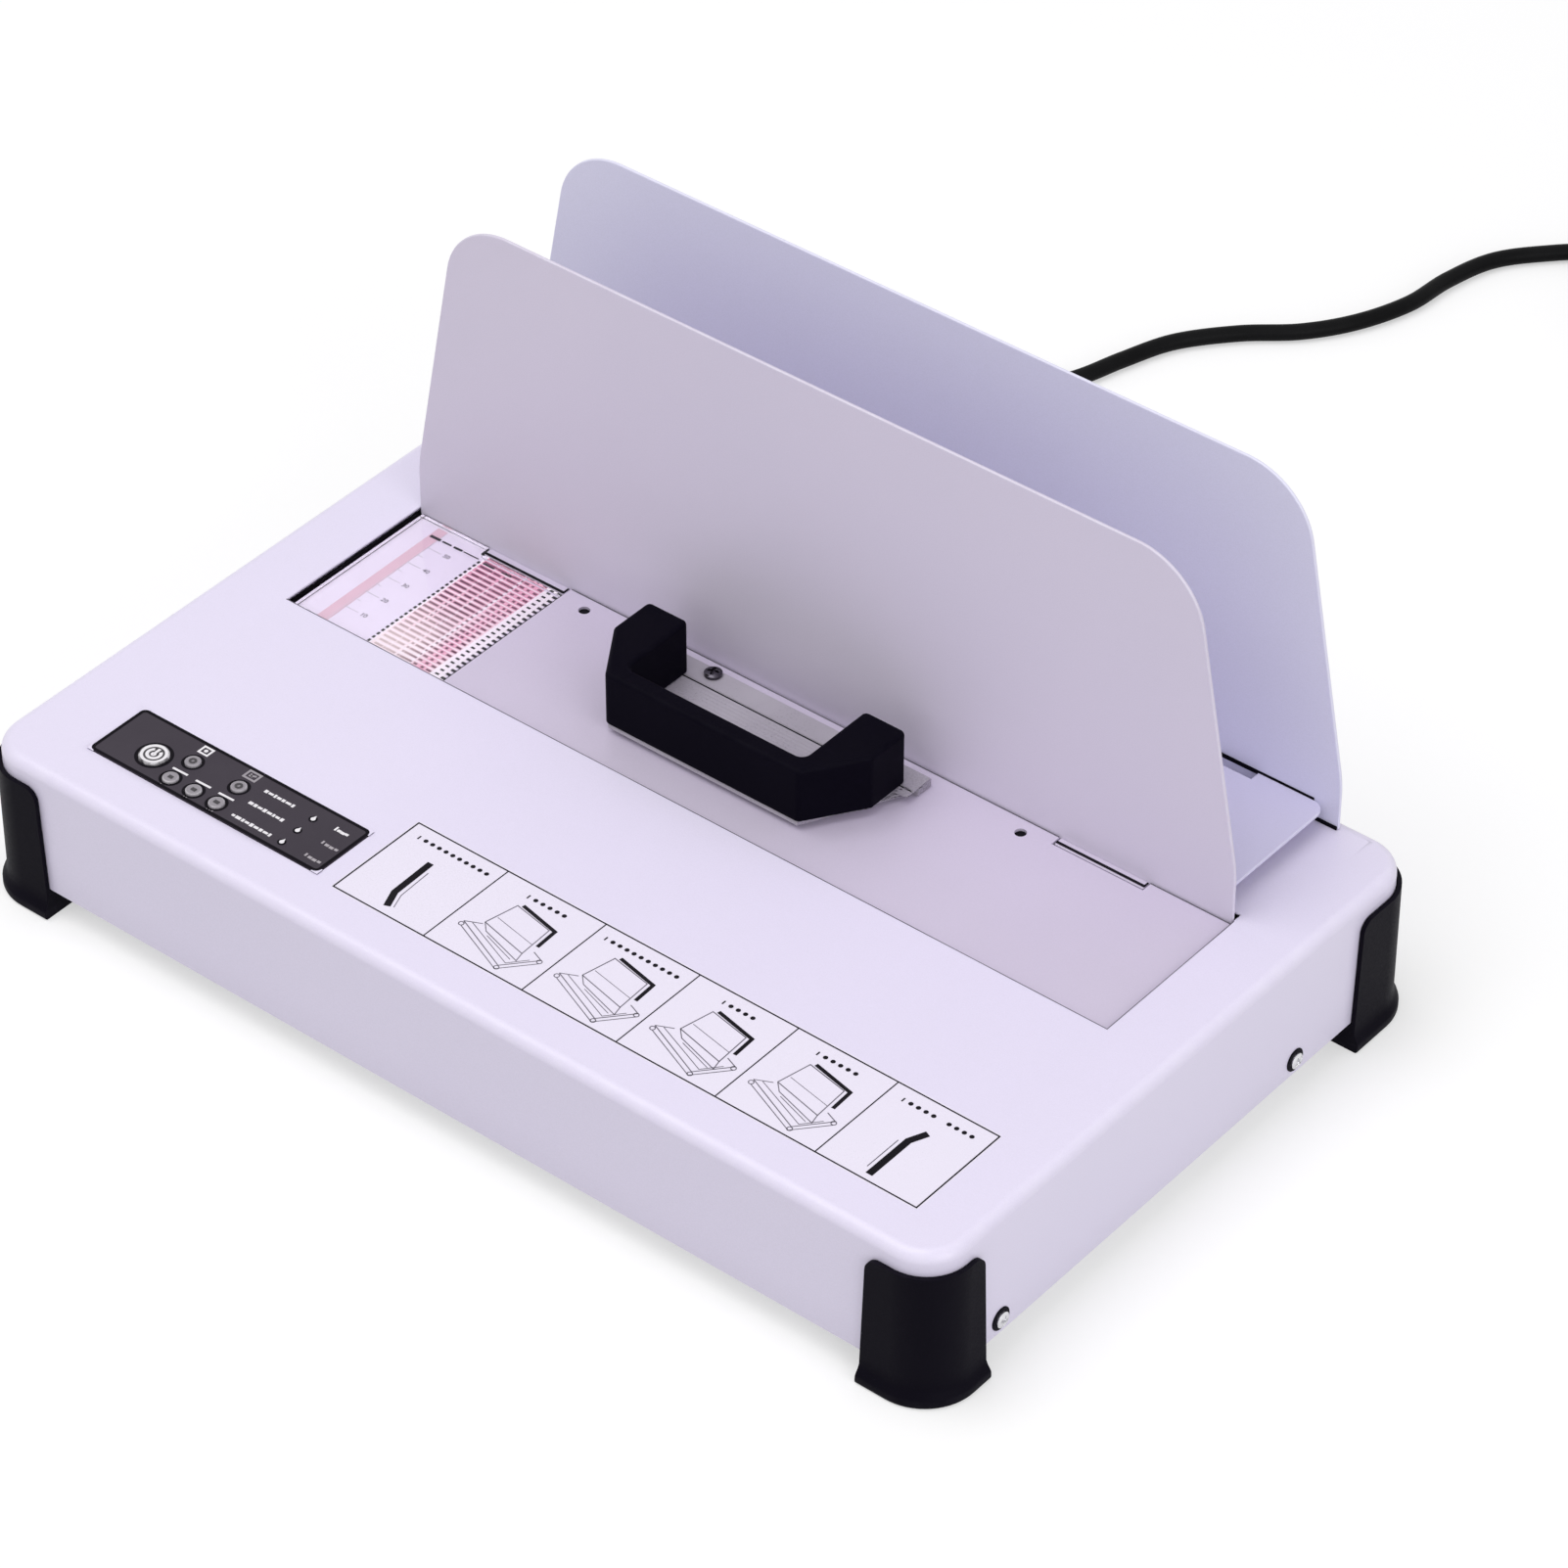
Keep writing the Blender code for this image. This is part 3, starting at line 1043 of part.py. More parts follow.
def build_handle(cover_top):
    """The bow handle on its base plate, with two screws into the sliding cover."""
    low = TABLE_HEIGHT + BASE_LIFT
    top = low + BASE_THICKNESS
    hidden_half = HANDLE_REAR_HALF - BASE_INSET
    band_front = BASE_REAR - BASE_BAND_DEPTH
    half_base = [(HANDLE_FRONT_HALF - BASE_INSET, HANDLE_FRONT + BASE_INSET),
                 (hidden_half, HANDLE_SHOULDER), (hidden_half, band_front - BASE_INSET),
                 (BASE_HALF_WIDTH, band_front), (BASE_HALF_WIDTH, BASE_REAR)]
    outline = [(HANDLE_CENTRE + x, y) for x, y in half_base]
    outline += [(HANDLE_CENTRE - x, y) for x, y in reversed(half_base)]
    base = sheet("handle_base", [outline], BASE_THICKNESS, "frosted_plastic",
                 (0, 0, low + BASE_THICKNESS / 2))
    half_foot = BASE_HALF_WIDTH - BASE_INSET
    foot = box("base_foot", (HANDLE_CENTRE - half_foot, BASE_REAR - BASE_FOOT_DEPTH, cover_top + GAP),
               (HANDLE_CENTRE + half_foot, BASE_REAR - BASE_INSET, low + BASE_THICKNESS / 2),
               cutter=True)
    fuse(base, foot)
    inner = HANDLE_REAR_HALF - HANDLE_LEG_WIDTH
    bay = HANDLE_FRONT + HANDLE_BAR_DEPTH
    half = [(HANDLE_FRONT_HALF, HANDLE_FRONT), (HANDLE_REAR_HALF, HANDLE_SHOULDER),
            (HANDLE_REAR_HALF, HANDLE_REAR), (inner, HANDLE_REAR), (inner, bay)]
    plan = [(HANDLE_CENTRE + x, y) for x, y in half]
    plan += [(HANDLE_CENTRE - x, y) for x, y in reversed(half)]
    handle = sheet("handle", [plan], HANDLE_HEIGHT, "black_plastic", (0, 0, top + GAP + HANDLE_HEIGHT / 2))
    bm = bmesh.new()
    bm.from_mesh(handle.data)
    bmesh.ops.dissolve_limit(bm, angle_limit=math.radians(1), verts=bm.verts, edges=bm.edges)
    upper = [e for e in bm.edges if min(v.co.z for v in e.verts) > HANDLE_HEIGHT / 2 - TINY]
    bmesh.ops.bevel(bm, geom=upper, offset=HANDLE_BEVEL, segments=3, profile=0.5, affect="EDGES")
    bmesh.ops.recalc_face_normals(bm, faces=bm.faces)
    bm.to_mesh(handle.data)
    bm.free()
    pieces = [handle, base]
    screw_y = BASE_REAR - BASE_SCREW_SETBACK
    for side, label in ((-1, "left"), (1, "right")):
        profile = [(0, SCREW_HEAD_HEIGHT), (SCREW_HEAD_RADIUS / 2, SCREW_HEAD_HEIGHT),
                   (SCREW_HEAD_RADIUS, SCREW_HEAD_HEIGHT / 2), (SCREW_HEAD_RADIUS, 0), (0, 0)]
        screw = turned("handle_screw_" + label, profile, "bright_steel",
                       (HANDLE_CENTRE + side * BASE_SCREW_OFFSET, screw_y, top + GAP), steps=16)
        pieces.append(screw)
    return pieces


# Key panel
def build_panel():
    """The panel plate with its keys, its lamp bar and the board under it."""
    top = TABLE_HEIGHT + PANEL_PROUD
    low = top - PANEL_THICKNESS
    outline = rectangle(PANEL_LEFT, PANEL_RIGHT, PANEL_FRONT, PANEL_REAR, PANEL_CORNER_RADIUS)
    panel = sheet("control_panel", [outline], PANEL_THICKNESS, "panel_film", (0, 0, (top + low) / 2))
    for x in (PANEL_LEFT + PANEL_POST_INSET, PANEL_RIGHT - PANEL_POST_INSET):
        for y in (PANEL_FRONT + PANEL_POST_INSET, PANEL_REAR - PANEL_POST_INSET):
            length = PANEL_POST_HEIGHT + PANEL_THICKNESS / 2
            post = rod(f"panel_post_{x:.3f}_{y:.3f}", (x, y, low - PANEL_POST_HEIGHT + length / 2),
                       PANEL_POST_RADIUS, length, "z", cutter=True, sides=10)
            fuse(panel, post)
    board_top = low - PANEL_POST_HEIGHT - GAP
    board = box("control_board",
                (PANEL_LEFT + BOARD_INSET, PANEL_FRONT + BOARD_INSET / 2, board_top - BOARD_THICKNESS),
                (PANEL_RIGHT - BOARD_INSET, PANEL_REAR - BOARD_INSET / 2, board_top), "circuit_board")
    flange_top = low - GAP
    for name, (x, y, radius) in KEY_PLACES.items():
        through = PANEL_THICKNESS + 2 * OVERRUN
        hole = rod("cut_" + name, (x, y, (top + low) / 2), radius + KEY_CLEARANCE, through, "z",
                   cutter=True, sides=24)
        cut(panel, hole)
        crown = radius * KEY_CROWN_SHARE
        profile = [
            (0, top + KEY_PROUD - low),
            (radius - crown, top + KEY_PROUD - low),
            (radius, top + KEY_PROUD - crown - low),
            (radius, flange_top - low),
            (radius + KEY_FLANGE + KEY_CLEARANCE, flange_top - low),
            (radius + KEY_FLANGE + KEY_CLEARANCE, flange_top - KEY_FLANGE_THICKNESS - low),
            (0, flange_top - KEY_FLANGE_THICKNESS - low),
        ]
        turned(name, profile, "key_plastic", (x, y, low), steps=24)
        dome = rod("dome_" + name, (x, y, board_top + DOME_HEIGHT / 2 - TINY), DOME_RADIUS,
                   DOME_HEIGHT + 2 * TINY, "z",
                   cutter=True, sides=12)
        fuse(board, dome)
    lamp_top = low - GAP
    lamp_low = lamp_top - LAMP_BAR_THICKNESS
    lamps = box("lamp_bar", (LAMP_X - LAMP_BAR_WIDTH / 2, LAMP_ROWS[0] - LAMP_BAR_WIDTH / 2, lamp_low),
                (LAMP_X + LAMP_BAR_WIDTH / 2, LAMP_ROWS[-1] + LAMP_BAR_WIDTH / 2, lamp_top), "lamp_lens")
    for index, y in enumerate(LAMP_ROWS):
        hole = rod(f"cut_lamp_{index}", (LAMP_X, y, (top + low) / 2), LAMP_RADIUS + KEY_CLEARANCE,
                   PANEL_THICKNESS + 2 * OVERRUN, "z", cutter=True, sides=12)
        cut(panel, hole)
        lens_low = lamp_low + TINY
        lens = rod(f"lamp_lens_{index}", (LAMP_X, y, (top + lens_low) / 2), LAMP_RADIUS, top - lens_low, "z",
                   cutter=True, sides=12)
        fuse(lamps, lens)


def build_power_board():
    """The mains board on its standoffs, and the transformer on it."""
    low = CASE_BOTTOM + BOTTOM_RISE + SHEET + STANDOFF_HEIGHT + GAP
    top = low + BOARD_THICKNESS
    x, y = POWER_BOARD_LOW
    board = box("power_board", (x, y, low), (*POWER_BOARD_HIGH, top), "circuit_board")
    relay_x = x + RELAY_ACROSS
    relay_y = y + RELAY_ALONG
    relay = box("board_relay", (relay_x, relay_y, top - TINY),
                (relay_x + RELAY_WIDTH, relay_y + RELAY_DEPTH, top + RELAY_HEIGHT), cutter=True)
    capacitor = rod("board_capacitor", (x + CAPACITOR_ACROSS, y + CAPACITOR_ALONG,
                                        top + CAPACITOR_HEIGHT / 2 - TINY),
                    CAPACITOR_RADIUS, CAPACITOR_HEIGHT, "z", cutter=True)
    fuse(board, relay, capacitor)
    core_x = x + TRANSFORMER_ACROSS
    core_y = y + TRANSFORMER_ALONG
    box("transformer", (core_x, core_y, top + GAP),
        (core_x + TRANSFORMER_WIDTH, core_y + TRANSFORMER_DEPTH, top + GAP + TRANSFORMER_HEIGHT), "brass",
        bevel=TRANSFORMER_BEVEL, bevel_steps=1)


# Mains switch
def build_switch():
    """The rocker switch in the back wall: a flanged housing and the rocker in its pocket."""
    middle = TABLE_HEIGHT - SWITCH_DROP
    wall = HALF_DEPTH
    face = wall + GAP + SWITCH_FLANGE_THICKNESS
    half_width, half_height = SWITCH_FLANGE_WIDTH / 2, SWITCH_FLANGE_HEIGHT / 2
    housing = box("switch_housing", (SWITCH_X - half_width, wall + GAP, middle - half_height),
                  (SWITCH_X + half_width, face, middle + half_height), "black_plastic")
    body = box("switch_body", (SWITCH_X - SWITCH_BODY_WIDTH / 2, wall - SWITCH_BODY_DEPTH,
                               middle - SWITCH_BODY_HEIGHT / 2),
               (SWITCH_X + SWITCH_BODY_WIDTH / 2, wall + GAP + SWITCH_FLANGE_THICKNESS / 2,
                middle + SWITCH_BODY_HEIGHT / 2), cutter=True)
    pocket = box("cut_switch_pocket", (SWITCH_X - SWITCH_POCKET_WIDTH / 2, face - SWITCH_POCKET_DEPTH,
                                       middle - SWITCH_POCKET_HEIGHT / 2),
                 (SWITCH_X + SWITCH_POCKET_WIDTH / 2, face + OVERRUN, middle + SWITCH_POCKET_HEIGHT / 2),
                 cutter=True)
    fuse(housing, body)
    cut(housing, pocket)
    half = ROCKER_HALF_HEIGHT
    side = [(-ROCKER_DEPTH, -half / 2), (ROCKER_REACH, -half), (ROCKER_REACH - ROCKER_DISH, 0),
            (ROCKER_REACH, half), (-ROCKER_DEPTH, half / 2)]
    rocker = sheet("switch_rocker", [side], ROCKER_WIDTH, "black_plastic",
                   (SWITCH_X, face - ROCKER_REACH, middle))
    upright = Matrix(((0, 0, 1, 0), (1, 0, 0, 0), (0, 1, 0, 0), (0, 0, 0, 1)))
    turn = Matrix.Rotation(-ROCKER_SWING / 2, 4, "X") @ upright
    rocker.data.transform(turn)


# Mains lead
def coil_points():
    """The coil's tube: in along the bottom layer, up a layer in a half turn at the middle, and out again."""
    total = COIL_TURN_IN + COIL_TURN_OUT
    count = int(round(total * COIL_POINTS))
    outer = COIL_INNER_RADIUS + COIL_PITCH * COIL_TURN_IN
    direction = np.array([math.sin(COIL_START_ANGLE), -math.cos(COIL_START_ANGLE)])
    outward = np.array([math.cos(COIL_START_ANGLE), math.sin(COIL_START_ANGLE)])
    start = np.array(COIL_START) + direction * COIL_LEAD_IN
    centre = start - outward * outer
    low = COIL_LIFT + CORD_RADIUS
    points = [(*COIL_START, low)]
    for index in range(count + 1):
        turn = total * index / count
        radius = COIL_INNER_RADIUS + COIL_PITCH * abs(turn - COIL_TURN_IN)
        climb = min(max((turn - COIL_TURN_IN) * 2 + 0.5, 0.0), 1.0)
        angle = COIL_START_ANGLE - 2 * math.pi * turn
        points.append((centre[0] + radius * math.cos(angle), centre[1] + radius * math.sin(angle),
                       low + COIL_LAYER_RISE * climb))
    end_angle = COIL_START_ANGLE - 2 * math.pi * total
    leave = np.array([math.sin(end_angle), -math.cos(end_angle)])
    last = np.array(points[-1])
    tip = last + np.array([leave[0], leave[1], 0]) * COIL_LEAD_OUT
    points.append(tuple(last + np.array([leave[0], leave[1], 0]) * COIL_LEAD_OUT / 2))
    points.append(tuple(tip))
    return points, centre, tip, math.atan2(leave[1], leave[0])


def measured_gap(points):
    """The least gap between turns of the coil, on fine points along its middle line."""
    route = np.array(points)
    fine = []
    for a, b in zip(route, route[1:]):
        shares = np.linspace(0, 1, 6, endpoint=False)[:, None]
        fine.append(a + (b - a) * shares)
    fine = np.vstack(fine)
    along = np.concatenate([[0], np.cumsum(np.linalg.norm(np.diff(fine, axis=0), axis=1))])
    distance = np.linalg.norm(fine[:, None] - fine[None], axis=2)
    apart = np.abs(along[:, None] - along[None]) > 4 * CORD_DIAMETER
    return float(distance[apart].min() - CORD_DIAMETER)


def build_relief():
    """The strain relief: a nut inside the back wall, a collar outside it and a tapered sleeve."""
    wall = SHEET + GAP
    profile = [
        (0, RELIEF_LENGTH),
        (RELIEF_TIP_RADIUS, RELIEF_LENGTH),
        (RELIEF_NECK_RADIUS, RELIEF_COLLAR_LENGTH),
        (RELIEF_COLLAR_RADIUS, RELIEF_COLLAR_LENGTH),
        (RELIEF_COLLAR_RADIUS, 0),
        (RELIEF_NECK_RADIUS, 0),
        (RELIEF_NECK_RADIUS, -wall - GAP),
        (RELIEF_COLLAR_RADIUS, -wall - GAP),
        (RELIEF_COLLAR_RADIUS, -wall - GAP - RELIEF_NUT_LENGTH),
        (0, -wall - GAP - RELIEF_NUT_LENGTH),
    ]
    turned("strain_relief", profile, "rubber_lead",
           (CORD_X, HALF_DEPTH + GAP, TABLE_HEIGHT - CORD_EXIT_DROP),
           (-math.pi / 2, 0, 0), steps=20)


def build_lead():
    """The mains lead from the strain relief, the coil of the rest of it, its tie and its plug."""
    points, centre, tip, heading = coil_points()
    lead_in = np.array(points[1]) - np.array(points[0])
    lead_in /= np.linalg.norm(lead_in)
    meet = np.array(points[0]) - lead_in * GAP
    before = meet - lead_in * CORD_DIAMETER
    near_exit = (ROUTE_START[0], ROUTE_START[1] + CORD_DIAMETER, ROUTE_START[2])
    stops = [ROUTE_START, near_exit, *ROUTE_POINTS, tuple(before), tuple(meet)]
    route, free_length = smooth_route(stops, CORD_STEP)
    route.insert(1, near_exit)
    route.insert(-1, tuple(float(value) for value in before))
    tube("cord", route, CORD_RADIUS, "rubber_lead", 2)
    tube("cord_coil", points, CORD_RADIUS, "rubber_lead", 1)
    coil_length = float(np.linalg.norm(np.diff(np.array(points), axis=0), axis=1).sum())
    print(f"free stretch {free_length:.4f} m in {len(route)} points, coil {coil_length:.4f} m,"
          f" in all {free_length + coil_length:.4f} m")
    print(f"least gap between turns {measured_gap(points) * 1000:.2f} mm")
    build_tie(centre)
    build_plug(tip, heading)


def build_tie(centre):
    """A flat band round the coil's turns."""
    reach = COIL_PITCH * max(COIL_TURN_IN, COIL_TURN_OUT)
    inner = COIL_INNER_RADIUS - CORD_RADIUS - TIE_CLEARANCE
    outer = COIL_INNER_RADIUS + reach + CORD_RADIUS + TIE_CLEARANCE
    floor = COIL_LIFT - TIE_CLEARANCE
    ceiling = COIL_LIFT + COIL_LAYER_RISE + CORD_DIAMETER + TIE_CLEARANCE
    skin = TIE_THICKNESS
    hole = rectangle(inner, outer, floor, ceiling)
    band = rectangle(inner - skin, outer + skin, floor - skin, ceiling + skin)
    tie = sheet("cord_tie", [band, hole], TIE_WIDTH, "rubber_lead", (centre[0], centre[1], 0),
                (math.pi / 2, 0, TIE_ANGLE))
    return tie


def build_plug(tip, heading):
    """A moulded plug in line with the end of the lead: a tail, a body and three pins."""
    half_height = tip[2] - GAP
    start = GAP + PLUG_TAIL_LENGTH
    end = start + PLUG_LENGTH
    plug = box("plug", (start, -PLUG_WIDTH / 2, -half_height), (end, PLUG_WIDTH / 2, half_height),
               "rubber_lead",
               bevel=PLUG_BEVEL)
    plug.data.transform(Matrix.Translation(plug.location))
    plug.location = tip
    plug.rotation_euler = (0, 0, heading)
    tail = turned("plug_tail", [
        (0, PLUG_TAIL_LENGTH + GAP + PLUG_BEVEL),
        (PLUG_TAIL_ROOT_RADIUS, PLUG_TAIL_LENGTH + GAP + PLUG_BEVEL),
        (PLUG_TAIL_TIP_RADIUS, GAP),
        (0, GAP),
    ], "rubber_lead", (0, 0, 0), steps=16)
    tail.data.transform(Matrix.Rotation(math.pi / 2, 4, "Y"))
    helpers = [tail]
    for side in (-1, 1):
        y = side * PIN_SPACING / 2
        pin_middle = -EARTH_PIN_RISE / 2
        pin = box(f"plug_pin_{side}",
                  (end - PLUG_BEVEL, y - PIN_THICKNESS / 2, pin_middle - PIN_WIDTH / 2),
                  (end + PIN_LENGTH, y + PIN_THICKNESS / 2, pin_middle + PIN_WIDTH / 2), cutter=True)
        pin.data.transform(Matrix.Translation(pin.location))
        helpers.append(pin)
    earth_length = PIN_LENGTH + PLUG_BEVEL
    earth = rod("plug_earth_pin", (0, 0, 0), EARTH_PIN_RADIUS, earth_length, "z", cutter=True, sides=12)
    earth.data.transform(Matrix.Translation((end + PIN_LENGTH - earth_length / 2, 0, EARTH_PIN_RISE))
                         @ Matrix.Rotation(math.pi / 2, 4, "Y"))
    helpers.append(earth)
    for helper in helpers:
        helper.location = tip
        helper.rotation_euler = (0, 0, heading)
        if helper.name not in CUTTERS.objects:
            PARTS.objects.unlink(helper)
            CUTTERS.objects.link(helper)
            helper.hide_render = True
            helper.display_type = "WIRE"
    fuse(plug, *helpers)


def build_inner_leads():
    """The lead from the gland's nut to the mains board, along the case's floor."""
    floor = CASE_BOTTOM + BOTTOM_RISE + SHEET + GAP + LEAD_LIFT + LEAD_RADIUS
    board_top = CASE_BOTTOM + BOTTOM_RISE + SHEET + STANDOFF_HEIGHT + GAP + BOARD_THICKNESS
    rest = board_top + GAP + LEAD_RADIUS
    nut_face = HALF_DEPTH + GAP - SHEET - GAP - GAP - RELIEF_NUT_LENGTH - GAP
    leave = TABLE_HEIGHT - CORD_EXIT_DROP
    row = nut_face - LEAD_DROP_RUN
    column = POWER_BOARD_LOW[0] + LEAD_COLUMN_INSET
    board_rear = POWER_BOARD_HIGH[1]
    through = [
        (CORD_X, nut_face, leave),
        (CORD_X, nut_face - LEAD_BEND, leave - LEAD_RADIUS),
        (CORD_X, row + LEAD_BEND / 2, floor + LEAD_RADIUS),
        (CORD_X + LEAD_BEND, row, floor),
        (CORD_X + 3 * LEAD_BEND, row, floor),
        (column - 3 * LEAD_BEND, row, floor),
        (column - LEAD_BEND, row, floor),
        (column, row - LEAD_BEND, floor),
        (column, row - 3 * LEAD_BEND, floor),
        (column, board_rear + 3 * LEAD_BEND, floor),
        (column, board_rear + LEAD_BEND, floor + LEAD_RADIUS),
        (column, board_rear + LEAD_RADIUS, rest),
        (column, board_rear - LEAD_END_LAP, rest),
    ]
    points, _ = smooth_route(through, LEAD_STEP)
    tube("mains_inner_lead", points, LEAD_RADIUS, "rubber_lead", 2)


def main():
    """Builds the machine."""
    clear_scene()
    make_collections()
    make_materials()
    build_case()
    build_bottom_plate()
    build_feet()
    build_case_screws()
    build_rear_plate()
    build_shelf()
    build_trough()
    build_rails()
    carriage = joint_empty("carriage_slide_axis",
                           (0, RAIL_FRONT + RAIL_LENGTH / 2, TABLE_HEIGHT - RAIL_DROP))
    build_carriage(carriage)
    build_panel()
    build_power_board()
    build_switch()
    build_relief()
    build_lead()
    build_inner_leads()
    bpy.context.view_layer.update()


main()
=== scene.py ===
import math

import bmesh
import bpy
import numpy as np
from mathutils import Matrix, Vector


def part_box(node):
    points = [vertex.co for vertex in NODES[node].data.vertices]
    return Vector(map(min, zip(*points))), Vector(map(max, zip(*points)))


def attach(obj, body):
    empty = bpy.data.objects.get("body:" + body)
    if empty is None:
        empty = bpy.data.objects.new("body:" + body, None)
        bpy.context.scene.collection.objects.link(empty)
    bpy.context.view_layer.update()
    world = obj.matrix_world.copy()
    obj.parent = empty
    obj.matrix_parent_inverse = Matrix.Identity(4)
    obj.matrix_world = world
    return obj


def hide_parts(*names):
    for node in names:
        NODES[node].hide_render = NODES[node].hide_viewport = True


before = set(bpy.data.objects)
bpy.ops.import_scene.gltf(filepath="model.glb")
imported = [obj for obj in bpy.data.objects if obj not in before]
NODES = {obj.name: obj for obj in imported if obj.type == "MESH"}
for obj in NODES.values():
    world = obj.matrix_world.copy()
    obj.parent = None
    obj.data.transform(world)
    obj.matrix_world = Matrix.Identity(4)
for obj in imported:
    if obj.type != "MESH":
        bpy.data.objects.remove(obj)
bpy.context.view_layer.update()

MM = 0.001


# Camera: where the photograph was taken from
CAMERA_PLACE = (0.98975, -1.1646, 1.3080)
CAMERA_AZIMUTH = math.radians(39.28)
CAMERA_ELEVATION = math.radians(39.17)
CAMERA_LENS = 146.6
CAMERA_SENSOR = 36.0


def make_camera():
    """The view's three axes from azimuth a and elevation e: right is (cos a, sin a, 0), back is
    (cos e sin a, -cos e cos a, sin e), and up is back x right."""
    a, e = CAMERA_AZIMUTH, CAMERA_ELEVATION
    right = np.array([math.cos(a), math.sin(a), 0.0])
    back = np.array([math.cos(e) * math.sin(a), -math.cos(e) * math.cos(a), math.sin(e)])
    up = np.cross(back, right)
    data = bpy.data.cameras.new("view_camera")
    data.sensor_width = CAMERA_SENSOR
    data.lens = CAMERA_LENS
    data.clip_end = 30.0
    camera = bpy.data.objects.new("view_camera", data)
    rows = np.eye(4)
    rows[:3, 0], rows[:3, 1], rows[:3, 2], rows[:3, 3] = right, up, back, CAMERA_PLACE
    camera.matrix_world = Matrix(rows.tolist())
    bpy.context.scene.collection.objects.link(camera)
    bpy.context.scene.camera = camera


make_camera()


# Surface tools: every new shape is a grid of points worked out as one array
def grid_faces(rows, columns, wrap_rows=False, wrap_columns=False, keep=None):
    """Quads between neighbours of a rows x columns grid, closed in either direction, less the cells that keep drops."""
    index = np.arange(rows * columns).reshape(rows, columns)
    if wrap_rows:
        index = np.vstack([index, index[:1]])
    if wrap_columns:
        index = np.hstack([index, index[:, :1]])
    quads = np.stack([index[:-1, :-1], index[:-1, 1:], index[1:, 1:], index[1:, :-1]], axis=-1)
    return (quads if keep is None else quads[keep]).reshape(-1, 4)


def place_points(points, origin, across, along):
    """Points given along three axes of a part's own: x times across, y times along, z times their cross product."""
    across, along = np.array(across, float), np.array(along, float)
    return np.array(origin) + points @ np.stack([across, along, np.cross(across, along)])


def piece(name, points, faces, body, material, stands_for=(), slot=None, sharp=38.0, rim=None, closed=True,
          settle=False):
    """An object of one mesh at the origin, with doubles merged, faces outwards and a place on its body."""
    mesh = bpy.data.meshes.new(name)
    flat = np.reshape(points, (-1, 3))
    mesh.from_pydata(flat.tolist(), [], [list(face) for face in faces])
    if rim is not None:
        mesh.attributes.new("rim", "FLOAT", "POINT").data.foreach_set("value", np.ravel(rim).astype(np.float32))
    bm = bmesh.new()
    bm.from_mesh(mesh)
    bmesh.ops.remove_doubles(bm, verts=bm.verts, dist=0.000002)
    if closed:
        bmesh.ops.recalc_face_normals(bm, faces=bm.faces)
    bm.to_mesh(mesh)
    bm.free()
    mesh.materials.append(material)
    mesh.shade_smooth()
    mesh.set_sharp_from_angle(angle=math.radians(sharp))
    obj = bpy.data.objects.new(name, mesh)
    bpy.context.scene.collection.objects.link(obj)
    if settle:
        even_normals(obj)
    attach(obj, body)
    if stands_for:
        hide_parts(*stands_for)
    return obj


def even_normals(obj):
    """Large flat faces keep flat shading beside their rounded rims."""
    weighted = obj.modifiers.new("even_normals", "WEIGHTED_NORMAL")
    weighted.keep_sharp = True
    weighted.weight = 90


def rounded_outline(corners, steps=8):
    """An outline through corners (x, y, radius): each corner is the arc that touches both of its sides."""
    parts = []
    places = np.array([corner[:2] for corner in corners], float)
    for index, (x, y, radius) in enumerate(corners):
        here = places[index]
        if radius <= 0:
            parts.append(here[None])
            continue
        before = places[index - 1] - here
        after = places[(index + 1) % len(corners)] - here
        before /= np.linalg.norm(before)
        after /= np.linalg.norm(after)
        half = math.acos(float(np.clip(before @ after, -1, 1))) / 2
        reach = radius / math.tan(half)
        middle = here + (before + after) / np.linalg.norm(before + after) * radius / math.sin(half)
        start = here + before * reach - middle
        end = here + after * reach - middle
        turn = math.atan2(start[0] * end[1] - start[1] * end[0], float(start @ end))
        angle = math.atan2(start[1], start[0]) + turn * np.linspace(0, 1, steps + 1)
        parts.append(middle + radius * np.stack([np.cos(angle), np.sin(angle)], axis=1))
    outline = np.vstack(parts)
    x, y = outline.T
    return outline if np.sum(x * np.roll(y, -1) - y * np.roll(x, -1)) > 0 else outline[::-1]


def outward_arms(outline):
    """At each point of a closed outline, the sum of its two edge normals over one plus their dot product."""
    edge = np.roll(outline, -1, axis=0) - outline
    edge = edge / np.linalg.norm(edge, axis=1, keepdims=True)
    normal = np.stack([edge[:, 1], -edge[:, 0]], axis=1)
    before = np.roll(normal, 1, axis=0)
    return (before + normal) / (1 + np.sum(before * normal, axis=1, keepdims=True))


def slab(outline, low, high, low_edge, high_edge, steps=4):
    """A plate: the outline carried up a profile of a quarter circle, a straight wall and a quarter circle, where the
    inset is r(1 - sin t) and r(1 - cos t) and the height follows the same circles. Both ends are flat."""
    turn = np.linspace(0, np.pi / 2, steps + 1)
    inset = np.concatenate([low_edge * (1 - np.sin(turn)), high_edge * (1 - np.cos(turn))])
    height = np.concatenate([low + low_edge * (1 - np.cos(turn)), high - high_edge * (1 - np.sin(turn))])
    flat = outline[None] - outward_arms(outline)[None] * inset[:, None, None]
    points = np.concatenate([flat, np.broadcast_to(height[:, None, None], (*flat.shape[:2], 1))], axis=2)
    rows, count = points.shape[:2]
    faces = grid_faces(rows, count, wrap_columns=True).tolist()
    faces += [list(range(count)), list(range((rows - 1) * count, rows * count))]
    wear = np.concatenate([np.sin(2 * turn), np.sin(2 * turn)])
    return points, faces, np.broadcast_to(wear[:, None], (rows, count))


